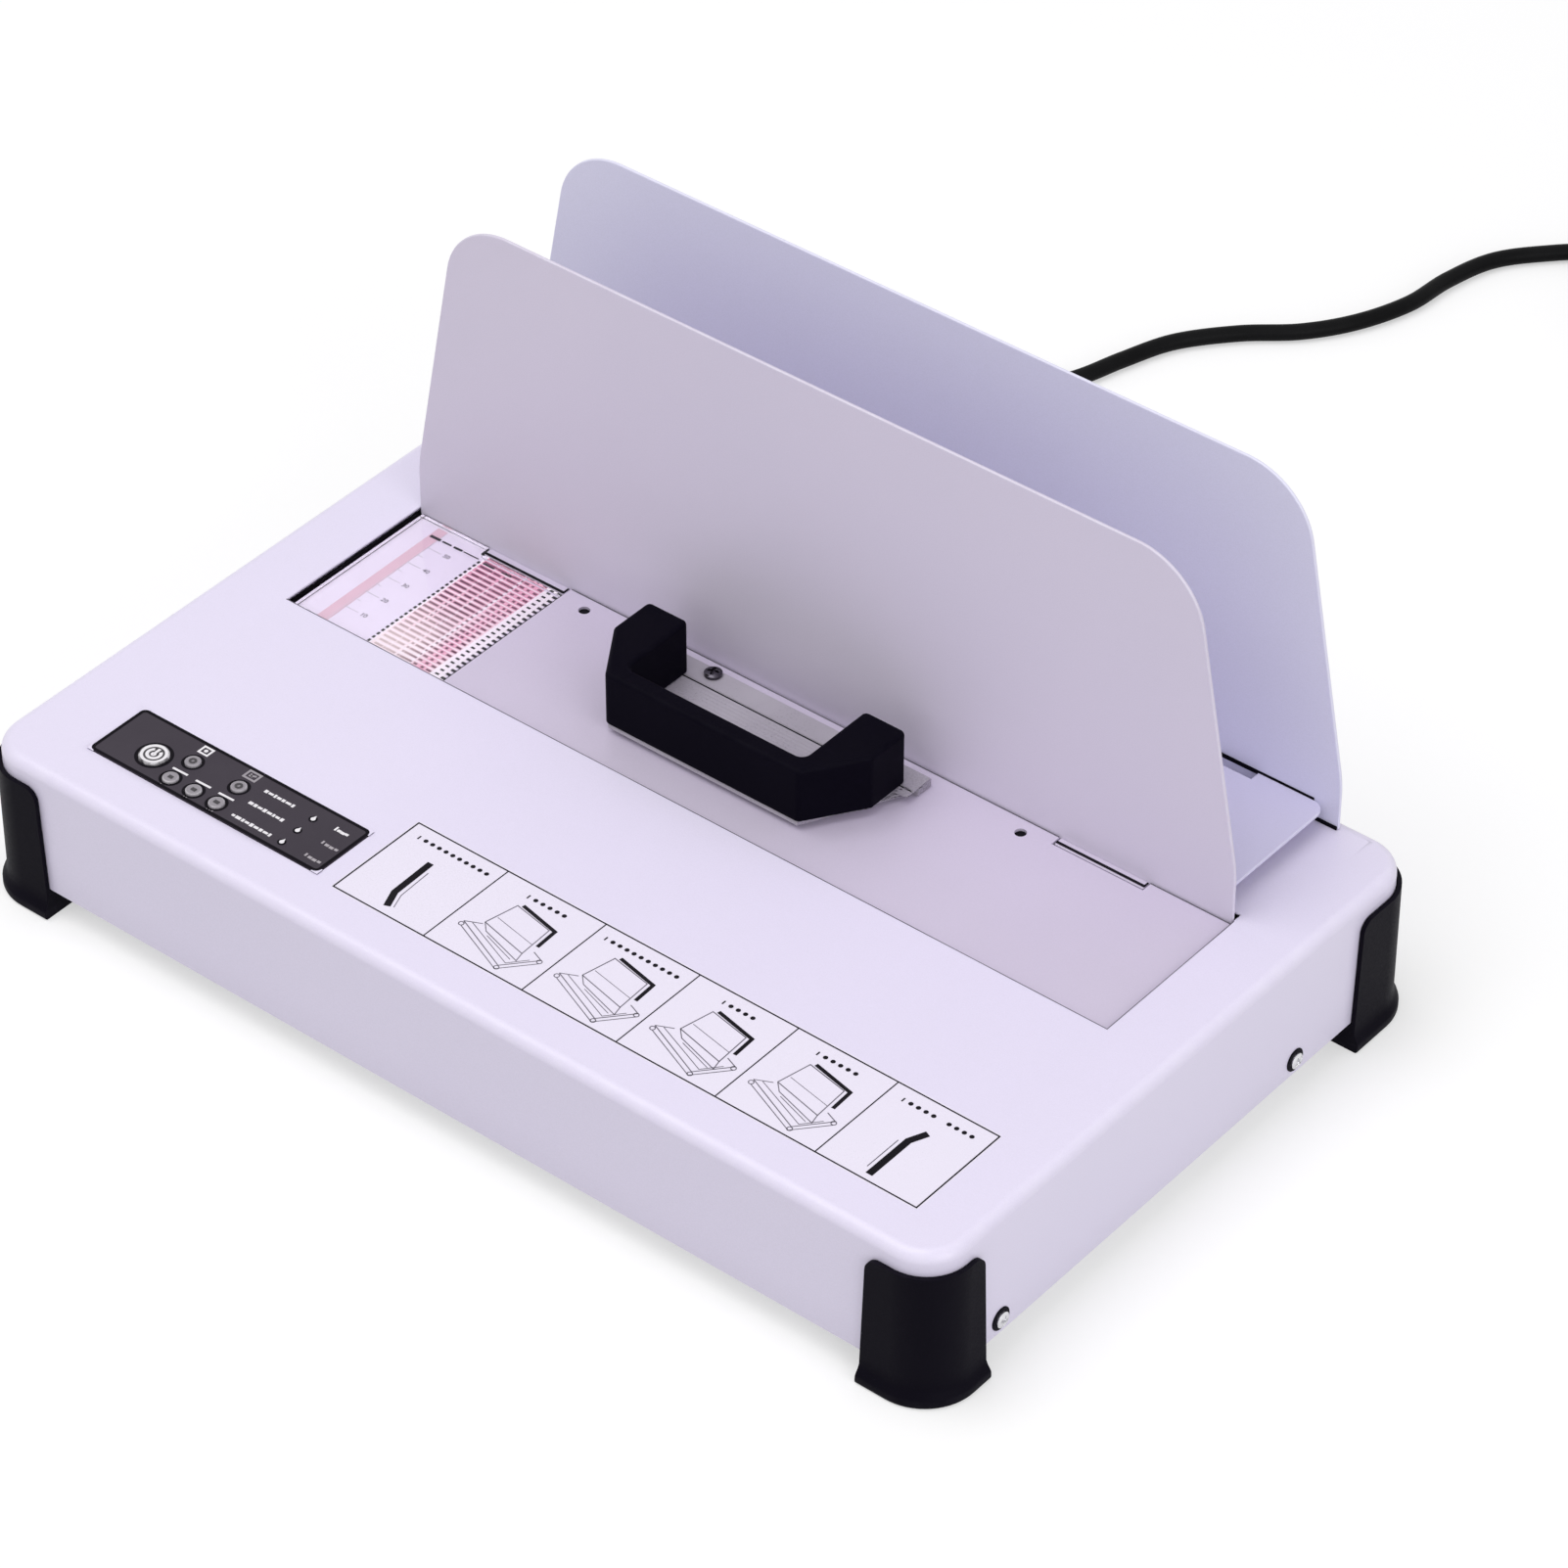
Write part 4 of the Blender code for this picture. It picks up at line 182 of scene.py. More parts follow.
def turned_grid(profile, sides, origin=(0, 0, 0), across=(1, 0, 0), along=(0, 1, 0)):
    """A profile of radius and height turned about its own axis: x = r cos a, y = r sin a, z = h."""
    profile = np.array(profile, float)
    angle = np.linspace(0, 2 * np.pi, sides, endpoint=False)
    points = np.stack([profile[:, :1] * np.cos(angle), profile[:, :1] * np.sin(angle),
                       np.broadcast_to(profile[:, 1:], (len(profile), sides))], axis=2)
    return place_points(points, origin, across, along), grid_faces(len(profile), sides, wrap_columns=True)


def box_grid(low, high):
    """The six faces of a box between two corners."""
    corner = np.array(np.meshgrid([0, 1], [0, 1], [0, 1], indexing="ij")).reshape(3, -1).T
    points = np.array(low) + corner * (np.array(high) - np.array(low))
    return points, [[0, 1, 3, 2], [4, 6, 7, 5], [0, 4, 5, 1], [2, 3, 7, 6], [0, 2, 6, 4], [1, 5, 7, 3]]


def joined(*shapes):
    """Several shapes (points, faces) as one list of points and faces."""
    points, faces, start = [], [], 0
    for shape_points, shape_faces in shapes:
        flat = np.reshape(shape_points, (-1, 3))
        points.append(flat)
        faces += [[int(i) + start for i in face] for face in shape_faces]
        start += len(flat)
    return np.vstack(points), faces


# Finishes: shader node groups that several materials share, then the materials
def new_group(name, inputs, outputs):
    """A node group with named inputs (label, kind, value) and outputs (label, kind)."""
    tree = bpy.data.node_groups.new(name, "ShaderNodeTree")
    for label, kind, value in inputs:
        socket = tree.interface.new_socket(label, in_out="INPUT", socket_type="NodeSocket" + kind)
        if value is not None:
            socket.default_value = value
    for label, kind in outputs:
        tree.interface.new_socket(label, in_out="OUTPUT", socket_type="NodeSocket" + kind)
    return tree, tree.nodes.new("NodeGroupInput"), tree.nodes.new("NodeGroupOutput")


def put(tree, kind, **links):
    """A node of a kind, with its inputs set to values or linked to outputs; property names start with an underscore."""
    node = tree.nodes.new(kind)
    for key, value in links.items():
        if key.startswith("_"):
            setattr(node, key[1:], value)
    for key, value in links.items():
        if key.startswith("_"):
            continue
        socket = node.inputs[int(key[1:])] if key[1:].isdigit() else node.inputs[key.replace("__", " ")]
        if isinstance(value, bpy.types.NodeSocket):
            tree.links.new(value, socket)
        else:
            socket.default_value = value
    return node


def noise(tree, vector, scale, detail=3.0, roughness=0.55):
    """The value of a noise texture."""
    return put(tree, "ShaderNodeTexNoise", Vector=vector, Scale=scale, Detail=detail,
               Roughness=roughness).outputs[0]


def spread(tree, value, low, high, to_low, to_high):
    """A value from one range brought to another."""
    return put(tree, "ShaderNodeMapRange", Value=value, i1=low, i2=high, i3=to_low, i4=to_high).outputs[0]


def sums(tree, operation, a, b, clamp=False):
    """One sum of two values."""
    return put(tree, "ShaderNodeMath", _operation=operation, _use_clamp=clamp, i0=a, i1=b).outputs[0]


def blended(tree, share, a, b, kind="MIX"):
    """Two colours mixed."""
    return put(tree, "ShaderNodeMix", _data_type="RGBA", _blend_type=kind, i0=share, i6=a, i7=b).outputs[2]


def make_groups():
    """The groups: sprayed paint, moulded plastic, rolled steel, settled dust and rubbed rims."""
    colour, value, vector = "Color", "Float", "Vector"
    surface = [("Colour", colour), ("Roughness", value), ("Height", value)]

    tree, into, out = new_group("sprayed_paint", [
        ("Vector", vector, None), ("Colour", colour, (0.8, 0.8, 0.8, 1)), ("Shade Colour", colour, (0.7, 0.7, 0.7, 1)),
        ("Mottle", value, 0.3), ("Peel Scale", value, 900.0), ("Roughness", value, 0.35)], surface)
    cloud = noise(tree, into.outputs["Vector"], 7.0, 4.0)
    fleck = noise(tree, into.outputs["Vector"], 2600.0, 1.0)
    share = sums(tree, "MULTIPLY", spread(tree, cloud, 0.35, 0.7, 0.0, 1.0), into.outputs["Mottle"])
    tone = blended(tree, share, into.outputs["Colour"], into.outputs["Shade Colour"])
    grey = blended(tree, spread(tree, fleck, 0.3, 0.75, 0.0, 0.08), tone, (0.35, 0.33, 0.40, 1), "MIX")
    tree.links.new(grey, out.inputs["Colour"])
    peel = noise(tree, into.outputs["Vector"], into.outputs["Peel Scale"], 2.0, 0.4)
    tree.links.new(peel, out.inputs["Height"])
    rough = sums(tree, "ADD", into.outputs["Roughness"], spread(tree, cloud, 0.3, 0.7, -0.035, 0.045))
    tree.links.new(sums(tree, "ADD", rough, spread(tree, peel, 0.3, 0.7, -0.03, 0.03)), out.inputs["Roughness"])

    tree, into, out = new_group("moulded_plastic", [
        ("Vector", vector, None), ("Colour", colour, (0.02, 0.02, 0.02, 1)), ("Bloom", colour, (0.05, 0.05, 0.06, 1)),
        ("Grain Scale", value, 1600.0), ("Bloom Share", value, 0.25), ("Roughness", value, 0.4)], surface)
    grain = noise(tree, into.outputs["Vector"], into.outputs["Grain Scale"], 2.0, 0.6)
    flow = noise(tree, into.outputs["Vector"], 28.0, 4.0)
    share = sums(tree, "MULTIPLY", spread(tree, flow, 0.42, 0.72, 0.0, 1.0), into.outputs["Bloom Share"])
    tree.links.new(blended(tree, share, into.outputs["Colour"], into.outputs["Bloom"]), out.inputs["Colour"])
    rough = sums(tree, "ADD", into.outputs["Roughness"], spread(tree, grain, 0.3, 0.7, -0.06, 0.06))
    tree.links.new(sums(tree, "ADD", rough, spread(tree, flow, 0.3, 0.7, -0.04, 0.06)), out.inputs["Roughness"])
    tree.links.new(grain, out.inputs["Height"])

    tree, into, out = new_group("rolled_steel", [
        ("Vector", vector, None), ("Colour", colour, (0.6, 0.6, 0.62, 1)), ("Dull Colour", colour, (0.45, 0.46, 0.48, 1)),
        ("Streak Scale", value, 60.0), ("Spangle Scale", value, 120.0), ("Spangle", value, 0.3),
        ("Roughness", value, 0.35)], surface)
    drawn = put(tree, "ShaderNodeVectorMath", _operation="MULTIPLY", i0=into.outputs["Vector"], i1=(1.0, 24.0, 24.0))
    streak = noise(tree, drawn.outputs[0], into.outputs["Streak Scale"], 4.0, 0.65)
    cells = put(tree, "ShaderNodeTexVoronoi", Vector=into.outputs["Vector"], Scale=into.outputs["Spangle Scale"])
    cell = put(tree, "ShaderNodeSeparateColor", i0=cells.outputs["Color"]).outputs[0]
    share = sums(tree, "MULTIPLY", cell, into.outputs["Spangle"])
    tone = blended(tree, share, into.outputs["Colour"], into.outputs["Dull Colour"])
    tree.links.new(blended(tree, spread(tree, streak, 0.35, 0.75, 0.0, 0.35), tone, into.outputs["Dull Colour"]),
                   out.inputs["Colour"])
    rough = sums(tree, "ADD", into.outputs["Roughness"], spread(tree, streak, 0.3, 0.7, -0.08, 0.10))
    tree.links.new(sums(tree, "ADD", rough, sums(tree, "MULTIPLY", share, 0.25)), out.inputs["Roughness"])
    tree.links.new(streak, out.inputs["Height"])

    tree, into, out = new_group("settled_dust", [
        ("Vector", vector, None), ("Colour", colour, (0.5, 0.5, 0.5, 1)), ("Dust Colour", colour, (0.62, 0.60, 0.58, 1)),
        ("Roughness", value, 0.4), ("Amount", value, 0.1)], [("Colour", colour), ("Roughness", value)])
    facing = put(tree, "ShaderNodeSeparateXYZ", i0=put(tree, "ShaderNodeNewGeometry").outputs["Normal"]).outputs[2]
    drift = noise(tree, into.outputs["Vector"], 45.0, 6.0, 0.7)
    lying = sums(tree, "MULTIPLY", spread(tree, facing, 0.3, 1.0, 0.0, 1.0), spread(tree, drift, 0.35, 0.75, 0.0, 1.0))
    share = sums(tree, "MULTIPLY", lying, into.outputs["Amount"], True)
    tree.links.new(blended(tree, share, into.outputs["Colour"], into.outputs["Dust Colour"]), out.inputs["Colour"])
    tree.links.new(sums(tree, "ADD", into.outputs["Roughness"], sums(tree, "MULTIPLY", share, 0.35), True),
                   out.inputs["Roughness"])

    tree, into, out = new_group("rubbed_rim", [
        ("Vector", vector, None), ("Colour", colour, (0.5, 0.5, 0.5, 1)), ("Bare Colour", colour, (0.7, 0.7, 0.7, 1)),
        ("Roughness", value, 0.4), ("Rim", value, 0.0), ("Amount", value, 0.3)],
        [("Colour", colour), ("Roughness", value)])
    broken = noise(tree, into.outputs["Vector"], 160.0, 5.0, 0.7)
    worn = sums(tree, "MULTIPLY", into.outputs["Rim"], spread(tree, broken, 0.4, 0.62, 0.0, 1.0))
    share = sums(tree, "MULTIPLY", worn, into.outputs["Amount"], True)
    tree.links.new(blended(tree, share, into.outputs["Colour"], into.outputs["Bare Colour"]), out.inputs["Colour"])
    tree.links.new(sums(tree, "SUBTRACT", into.outputs["Roughness"], sums(tree, "MULTIPLY", share, 0.15), True),
                   out.inputs["Roughness"])


make_groups()


def group_node(tree, name, **values):
    """One of the groups, with its inputs set or linked."""
    node = tree.nodes.new("ShaderNodeGroup")
    node.node_tree = bpy.data.node_groups[name]
    for key, value in values.items():
        socket = node.inputs[key.replace("_", " ")]
        if isinstance(value, bpy.types.NodeSocket):
            tree.links.new(value, socket)
        else:
            socket.default_value = value
    return node


def rgb(red, green, blue):
    """A colour with full alpha."""
    return (red, green, blue, 1.0)


def finish(name, group, values, bump=0.0, stretch=None, dust=0.0, rim=0.0, bare=(0.8, 0.8, 0.8), shader=()):
    """A material: Object coordinates into a group, its rim wear and dust, then the Principled shader."""
    material = bpy.data.materials.new(name)
    material.use_nodes = True
    tree = material.node_tree
    principled = tree.nodes["Principled BSDF"]
    vector = put(tree, "ShaderNodeTexCoord").outputs["Object"]
    if stretch:
        vector = put(tree, "ShaderNodeMapping", Vector=vector, Rotation=stretch).outputs[0]
    base = group_node(tree, group, Vector=vector, **values)
    colour, rough = base.outputs["Colour"], base.outputs["Roughness"]
    if rim:
        edge = put(tree, "ShaderNodeAttribute", _attribute_name="rim").outputs["Fac"]
        worn = group_node(tree, "rubbed_rim", Vector=vector, Colour=colour, Roughness=rough, Rim=edge,
                          Amount=rim, Bare_Colour=rgb(*bare))
        colour, rough = worn.outputs[0], worn.outputs[1]
    if dust:
        laid = group_node(tree, "settled_dust", Vector=vector, Colour=colour, Roughness=rough, Amount=dust)
        colour, rough = laid.outputs[0], laid.outputs[1]
    tree.links.new(colour, principled.inputs["Base Color"])
    tree.links.new(rough, principled.inputs["Roughness"])
    if bump:
        relief = put(tree, "ShaderNodeBump", Height=base.outputs["Height"], Distance=bump, Strength=1.0)
        tree.links.new(relief.outputs[0], principled.inputs["Normal"])
    for socket, value in dict(shader).items():
        principled.inputs[socket].default_value = value
    return material


CASE_PAINT = finish("case_paint", "sprayed_paint", {
    "Colour": rgb(0.820, 0.768, 0.940), "Shade_Colour": rgb(0.785, 0.735, 0.912), "Mottle": 0.35,
    "Peel_Scale": 850.0, "Roughness": 0.34}, bump=0.00003, dust=0.03, rim=0.25, bare=(0.86, 0.82, 0.95))
PLATE_PAINT = finish("plate_paint", "sprayed_paint", {
    "Colour": rgb(0.715, 0.660, 0.790), "Shade_Colour": rgb(0.665, 0.625, 0.760), "Mottle": 0.45,
    "Peel_Scale": 700.0, "Roughness": 0.42}, bump=0.00003, dust=0.03, rim=0.45, bare=(0.80, 0.80, 0.90))
# A lighter, bluer copy of the plate paint for the rear plate: painted light standing in for the light that falls
# between the two plates.
REAR_PAINT_AND_LIGHT = finish("rear_plate_paint_and_light", "sprayed_paint", {
    "Colour": rgb(0.800, 0.790, 0.950), "Shade_Colour": rgb(0.755, 0.750, 0.925), "Mottle": 0.45,
    "Peel_Scale": 700.0, "Roughness": 0.40}, bump=0.00003, dust=0.02, rim=0.45, bare=(0.78, 0.78, 0.92))
# Darker than the plate paint: partly the cover's own tone, partly painted shade from the plates and handle over it.
COVER_PAINT_AND_SHADE = finish("cover_paint_and_shade", "sprayed_paint", {
    "Colour": rgb(0.655, 0.590, 0.735), "Shade_Colour": rgb(0.595, 0.535, 0.665), "Mottle": 0.60,
    "Peel_Scale": 800.0, "Roughness": 0.34}, bump=0.00003, dust=0.03, rim=0.3, bare=(0.80, 0.78, 0.88))
# A darker copy of the case paint for the shelf: painted shade from the plates around it.
SHELF_PAINT_AND_SHADE = finish("shelf_paint_and_shade", "sprayed_paint", {
    "Colour": rgb(0.700, 0.670, 0.860), "Shade_Colour": rgb(0.650, 0.620, 0.820), "Mottle": 0.35,
    "Peel_Scale": 800.0, "Roughness": 0.38}, bump=0.00003, dust=0.05, rim=0.3, bare=(0.85, 0.83, 0.93))
# Besides the black parts, also laid as black strips of painted shadow at the rear plate's foot.
BLACK_PLASTIC_AND_SHADE = finish("black_plastic", "moulded_plastic", {
    "Colour": rgb(0.0040, 0.0032, 0.0070), "Bloom": rgb(0.010, 0.009, 0.015), "Grain_Scale": 1500.0,
    "Bloom_Share": 0.3, "Roughness": 0.46}, bump=0.00004, dust=0.003, rim=0.2, bare=(0.022, 0.020, 0.030),
    shader={"Specular IOR Level": 0.03})
HANDLE_PLASTIC = finish("handle_plastic", "moulded_plastic", {
    "Colour": rgb(0.0030, 0.0024, 0.0060), "Bloom": rgb(0.006, 0.005, 0.010), "Grain_Scale": 2200.0,
    "Bloom_Share": 0.3, "Roughness": 0.50}, bump=0.00003, dust=0.002, rim=0.15, bare=(0.012, 0.011, 0.017),
    shader={"Specular IOR Level": 0.02})
PANEL_FILM = finish("panel_film", "moulded_plastic", {
    "Colour": rgb(0.046, 0.038, 0.051), "Bloom": rgb(0.064, 0.054, 0.070), "Grain_Scale": 3200.0,
    "Bloom_Share": 0.4, "Roughness": 0.40}, bump=0.00002, dust=0.006, shader={"Specular IOR Level": 0.12})
# Besides the panel's black print, also laid as rings of painted shade round the keys.
PANEL_BLACK_AND_SHADE = finish("panel_black_and_shade", "moulded_plastic", {
    "Colour": rgb(0.006, 0.005, 0.008), "Bloom": rgb(0.014, 0.012, 0.016), "Grain_Scale": 3200.0,
    "Bloom_Share": 0.3, "Roughness": 0.40}, bump=0.00001, shader={"Specular IOR Level": 0.03})
KEY_PLASTIC = finish("key_plastic", "moulded_plastic", {
    "Colour": rgb(0.30, 0.28, 0.31), "Bloom": rgb(0.22, 0.20, 0.23), "Grain_Scale": 2600.0,
    "Bloom_Share": 0.5, "Roughness": 0.38}, bump=0.00002, dust=0.02, rim=0.8, bare=(0.52, 0.50, 0.53))
KEY_DARK = finish("key_dark", "moulded_plastic", {
    "Colour": rgb(0.030, 0.026, 0.032), "Bloom": rgb(0.050, 0.045, 0.052), "Grain_Scale": 2600.0,
    "Bloom_Share": 0.5, "Roughness": 0.36}, bump=0.00002, rim=1.0, bare=(0.86, 0.84, 0.87))
WHITE_INK = finish("white_ink", "moulded_plastic", {
    "Colour": rgb(0.88, 0.86, 0.89), "Bloom": rgb(0.70, 0.68, 0.72), "Grain_Scale": 2400.0,
    "Bloom_Share": 0.5, "Roughness": 0.45}, bump=0.00001)
GREY_INK = finish("grey_ink", "moulded_plastic", {
    "Colour": rgb(0.40, 0.37, 0.40), "Bloom": rgb(0.25, 0.23, 0.26), "Grain_Scale": 1400.0,
    "Bloom_Share": 0.8, "Roughness": 0.45}, bump=0.00001)
# Besides print, laid as painted shade on the tabs' bends, in the base's groove, under the peep holes and in the
# opening's gap.
BLACK_INK_AND_SHADE = finish("black_ink_and_shade", "moulded_plastic", {
    "Colour": rgb(0.008, 0.007, 0.010), "Bloom": rgb(0.030, 0.028, 0.034), "Grain_Scale": 1800.0,
    "Bloom_Share": 0.4, "Roughness": 0.5}, bump=0.00001, shader={"Specular IOR Level": 0.05})
# Besides the fine print, also laid as lines of painted shadow at the front plate's foot and the opening's edge.
LINE_INK_AND_SHADOW = finish("line_ink_and_shadow", "moulded_plastic", {
    "Colour": rgb(0.10, 0.09, 0.12), "Bloom": rgb(0.26, 0.24, 0.29), "Grain_Scale": 1200.0,
    "Bloom_Share": 0.8, "Roughness": 0.5}, bump=0.00001)
LABEL_FILM = finish("label_film", "sprayed_paint", {
    "Colour": rgb(0.865, 0.820, 0.945), "Shade_Colour": rgb(0.840, 0.795, 0.930), "Mottle": 0.3,
    "Peel_Scale": 1800.0, "Roughness": 0.28}, bump=0.00001, dust=0.02)
SCALE_PAPER = finish("scale_paper", "sprayed_paint", {
    "Colour": rgb(0.640, 0.585, 0.700), "Shade_Colour": rgb(0.615, 0.520, 0.620), "Mottle": 0.5,
    "Peel_Scale": 2200.0, "Roughness": 0.6}, bump=0.00002)
FROSTED = finish("frosted_plastic", "moulded_plastic", {
    "Colour": rgb(0.400, 0.370, 0.430), "Bloom": rgb(0.520, 0.490, 0.550), "Grain_Scale": 1300.0,
    "Bloom_Share": 0.7, "Roughness": 0.30}, bump=0.00003, dust=0.03, rim=0.3, bare=(0.72, 0.70, 0.76))
ZINC_STEEL = finish("zinc_steel", "rolled_steel", {
    "Colour": rgb(0.60, 0.60, 0.62), "Dull_Colour": rgb(0.42, 0.43, 0.46), "Streak_Scale": 30.0,
    "Spangle_Scale": 110.0, "Spangle": 0.55, "Roughness": 0.36}, bump=0.00001, dust=0.06,
    shader={"Metallic": 1.0})
BRIGHT_STEEL = finish("bright_steel", "rolled_steel", {
    "Colour": rgb(0.72, 0.72, 0.74), "Dull_Colour": rgb(0.50, 0.50, 0.53), "Streak_Scale": 40.0,
    "Spangle_Scale": 400.0, "Spangle": 0.2, "Roughness": 0.22}, bump=0.00001, stretch=(0.0, 0.0, math.pi / 2),
    rim=0.3, bare=(0.85, 0.85, 0.86), shader={"Metallic": 1.0})
DARK_STEEL = finish("dark_steel", "rolled_steel", {
    "Colour": rgb(0.10, 0.09, 0.11), "Dull_Colour": rgb(0.04, 0.04, 0.05), "Streak_Scale": 60.0,
    "Spangle_Scale": 500.0, "Spangle": 0.3, "Roughness": 0.22}, bump=0.00001, shader={"Metallic": 1.0})
HOT_ALUMINIUM = finish("hot_plate_aluminium", "rolled_steel", {
    "Colour": rgb(0.74, 0.73, 0.72), "Dull_Colour": rgb(0.56, 0.52, 0.48), "Streak_Scale": 22.0,
    "Spangle_Scale": 40.0, "Spangle": 0.35, "Roughness": 0.40}, bump=0.00001, dust=0.04, shader={"Metallic": 1.0})
ACETAL = finish("bearing_plastic", "moulded_plastic", {
    "Colour": rgb(0.80, 0.79, 0.75), "Bloom": rgb(0.70, 0.68, 0.62), "Grain_Scale": 900.0,
    "Bloom_Share": 0.5, "Roughness": 0.42}, bump=0.00003, dust=0.08)
MICA = finish("insulating_board", "rolled_steel", {
    "Colour": rgb(0.52, 0.43, 0.30), "Dull_Colour": rgb(0.36, 0.28, 0.18), "Streak_Scale": 18.0,
    "Spangle_Scale": 260.0, "Spangle": 0.8, "Roughness": 0.5}, bump=0.00003)
CERAMIC = finish("ceramic", "moulded_plastic", {
    "Colour": rgb(0.82, 0.79, 0.72), "Bloom": rgb(0.66, 0.61, 0.52), "Grain_Scale": 1100.0,
    "Bloom_Share": 0.6, "Roughness": 0.55}, bump=0.00005, dust=0.06)
BOARD_GREEN = finish("circuit_board", "moulded_plastic", {
    "Colour": rgb(0.020, 0.170, 0.075), "Bloom": rgb(0.050, 0.260, 0.120), "Grain_Scale": 500.0,
    "Bloom_Share": 0.8, "Roughness": 0.32}, bump=0.00003, dust=0.05)
CORE_STEEL = finish("transformer_core", "rolled_steel", {
    "Colour": rgb(0.62, 0.50, 0.22), "Dull_Colour": rgb(0.24, 0.20, 0.13), "Streak_Scale": 90.0,
    "Spangle_Scale": 200.0, "Spangle": 0.4, "Roughness": 0.38}, bump=0.00002, shader={"Metallic": 0.6})
LAMP_LENS = finish("lamp_plastic", "moulded_plastic", {
    "Colour": rgb(0.90, 0.91, 0.90), "Bloom": rgb(0.78, 0.80, 0.79), "Grain_Scale": 2500.0,
    "Bloom_Share": 0.5, "Roughness": 0.15}, shader={"Subsurface Weight": 0.2})
LEAD_RUBBER = finish("lead_rubber", "moulded_plastic", {
    "Colour": rgb(0.0050, 0.0050, 0.0055), "Bloom": rgb(0.020, 0.020, 0.021), "Grain_Scale": 900.0,
    "Bloom_Share": 0.3, "Roughness": 0.40}, bump=0.00004, dust=0.002, rim=0.2, bare=(0.02, 0.02, 0.02),
    shader={"Specular IOR Level": 0.05})
BAND_FABRIC = finish("tie_band", "moulded_plastic", {
    "Colour": rgb(0.020, 0.020, 0.022), "Bloom": rgb(0.060, 0.060, 0.064), "Grain_Scale": 700.0,
    "Bloom_Share": 0.9, "Roughness": 0.75}, bump=0.0002)
PIN_BRASS = finish("pin_brass", "rolled_steel", {
    "Colour": rgb(0.76, 0.60, 0.30), "Dull_Colour": rgb(0.55, 0.42, 0.22), "Streak_Scale": 70.0,
    "Spangle_Scale": 400.0, "Spangle": 0.2, "Roughness": 0.26}, shader={"Metallic": 1.0})


def make_window_material():
    """Clear plastic: glass for what the eye sees, open to the light that falls through it."""
    material = finish("clear_window", "moulded_plastic", {
        "Colour": rgb(0.965, 0.955, 0.985), "Bloom": rgb(0.93, 0.92, 0.96), "Grain_Scale": 60.0,
        "Bloom_Share": 0.4, "Roughness": 0.08}, shader={"IOR": 1.32, "Transmission Weight": 1.0})
    tree = material.node_tree
    output = tree.nodes["Material Output"]
    clear = put(tree, "ShaderNodeBsdfTransparent")
    path = put(tree, "ShaderNodeLightPath")
    mixed = put(tree, "ShaderNodeMixShader")
    tree.links.new(path.outputs["Is Shadow Ray"], mixed.inputs[0])
    tree.links.new(tree.nodes["Principled BSDF"].outputs[0], mixed.inputs[1])
    tree.links.new(clear.outputs[0], mixed.inputs[2])
    tree.links.new(mixed.outputs[0], output.inputs["Surface"])
    return material


CLEAR_WINDOW = make_window_material()


def make_chart_ink():
    """The chart's ink: dark plum at the rear, rose in the middle and cream at the front, by the place along Y."""
    material = finish("chart_ink", "moulded_plastic", {
        "Colour": rgb(0.10, 0.015, 0.05), "Bloom": rgb(0.26, 0.09, 0.15), "Grain_Scale": 1500.0,
        "Bloom_Share": 0.7, "Roughness": 0.5})
    tree = material.node_tree
    principled = tree.nodes["Principled BSDF"]
    base = next(node for node in tree.nodes if node.type == "GROUP")
    place = put(tree, "ShaderNodeSeparateXYZ", i0=put(tree, "ShaderNodeTexCoord").outputs["Object"])
    to_rear = spread(tree, place.outputs[1], 0.004, 0.030, 0.0, 1.0)
    to_side = spread(tree, place.outputs[0], -0.124, -0.112, 0.0, 1.0)
    strong = sums(tree, "MAXIMUM", to_rear, to_side)
    tree.links.new(blended(tree, strong, (0.48, 0.38, 0.38, 1), base.outputs["Colour"]), principled.inputs["Base Color"])
    return material


def make_chart_tint():
    """The chart's rose tint: full at the rear and in its right-hand column, thin at the front, over white paper."""
    material = finish("chart_tint", "moulded_plastic", {
        "Colour": rgb(0.62, 0.25, 0.37), "Bloom": rgb(0.72, 0.38, 0.49), "Grain_Scale": 1500.0,
        "Bloom_Share": 0.7, "Roughness": 0.5})
    tree = material.node_tree
    principled = tree.nodes["Principled BSDF"]
    base = next(node for node in tree.nodes if node.type == "GROUP")
    place = put(tree, "ShaderNodeSeparateXYZ", i0=put(tree, "ShaderNodeTexCoord").outputs["Object"])
    to_rear = spread(tree, place.outputs[1], 0.002, 0.048, 0.10, 1.0)
    column = spread(tree, sums(tree, "ABSOLUTE", sums(tree, "ADD", place.outputs[0], 0.1105), 0.0), 0.0, 0.006, 0.95, 0.0)
    strong = sums(tree, "MAXIMUM", to_rear, column)
    tree.links.new(blended(tree, strong, (0.76, 0.68, 0.70, 1), base.outputs["Colour"]), principled.inputs["Base Color"])
    return material


CHART_INK = make_chart_ink()
CHART_TINT = make_chart_tint()
BAND_INK = finish("band_ink", "moulded_plastic", {
    "Colour": rgb(0.56, 0.37, 0.45), "Bloom": rgb(0.62, 0.43, 0.51), "Grain_Scale": 800.0,
    "Bloom_Share": 0.8, "Roughness": 0.55})
CHART_WHITE = finish("chart_white", "moulded_plastic", {
    "Colour": rgb(0.76, 0.70, 0.75), "Bloom": rgb(0.70, 0.62, 0.68), "Grain_Scale": 900.0,
    "Bloom_Share": 0.8, "Roughness": 0.6})
PALE_INK = finish("pale_ink", "moulded_plastic", {
    "Colour": rgb(0.48, 0.45, 0.52), "Bloom": rgb(0.60, 0.57, 0.64), "Grain_Scale": 800.0,
    "Bloom_Share": 0.8, "Roughness": 0.55})


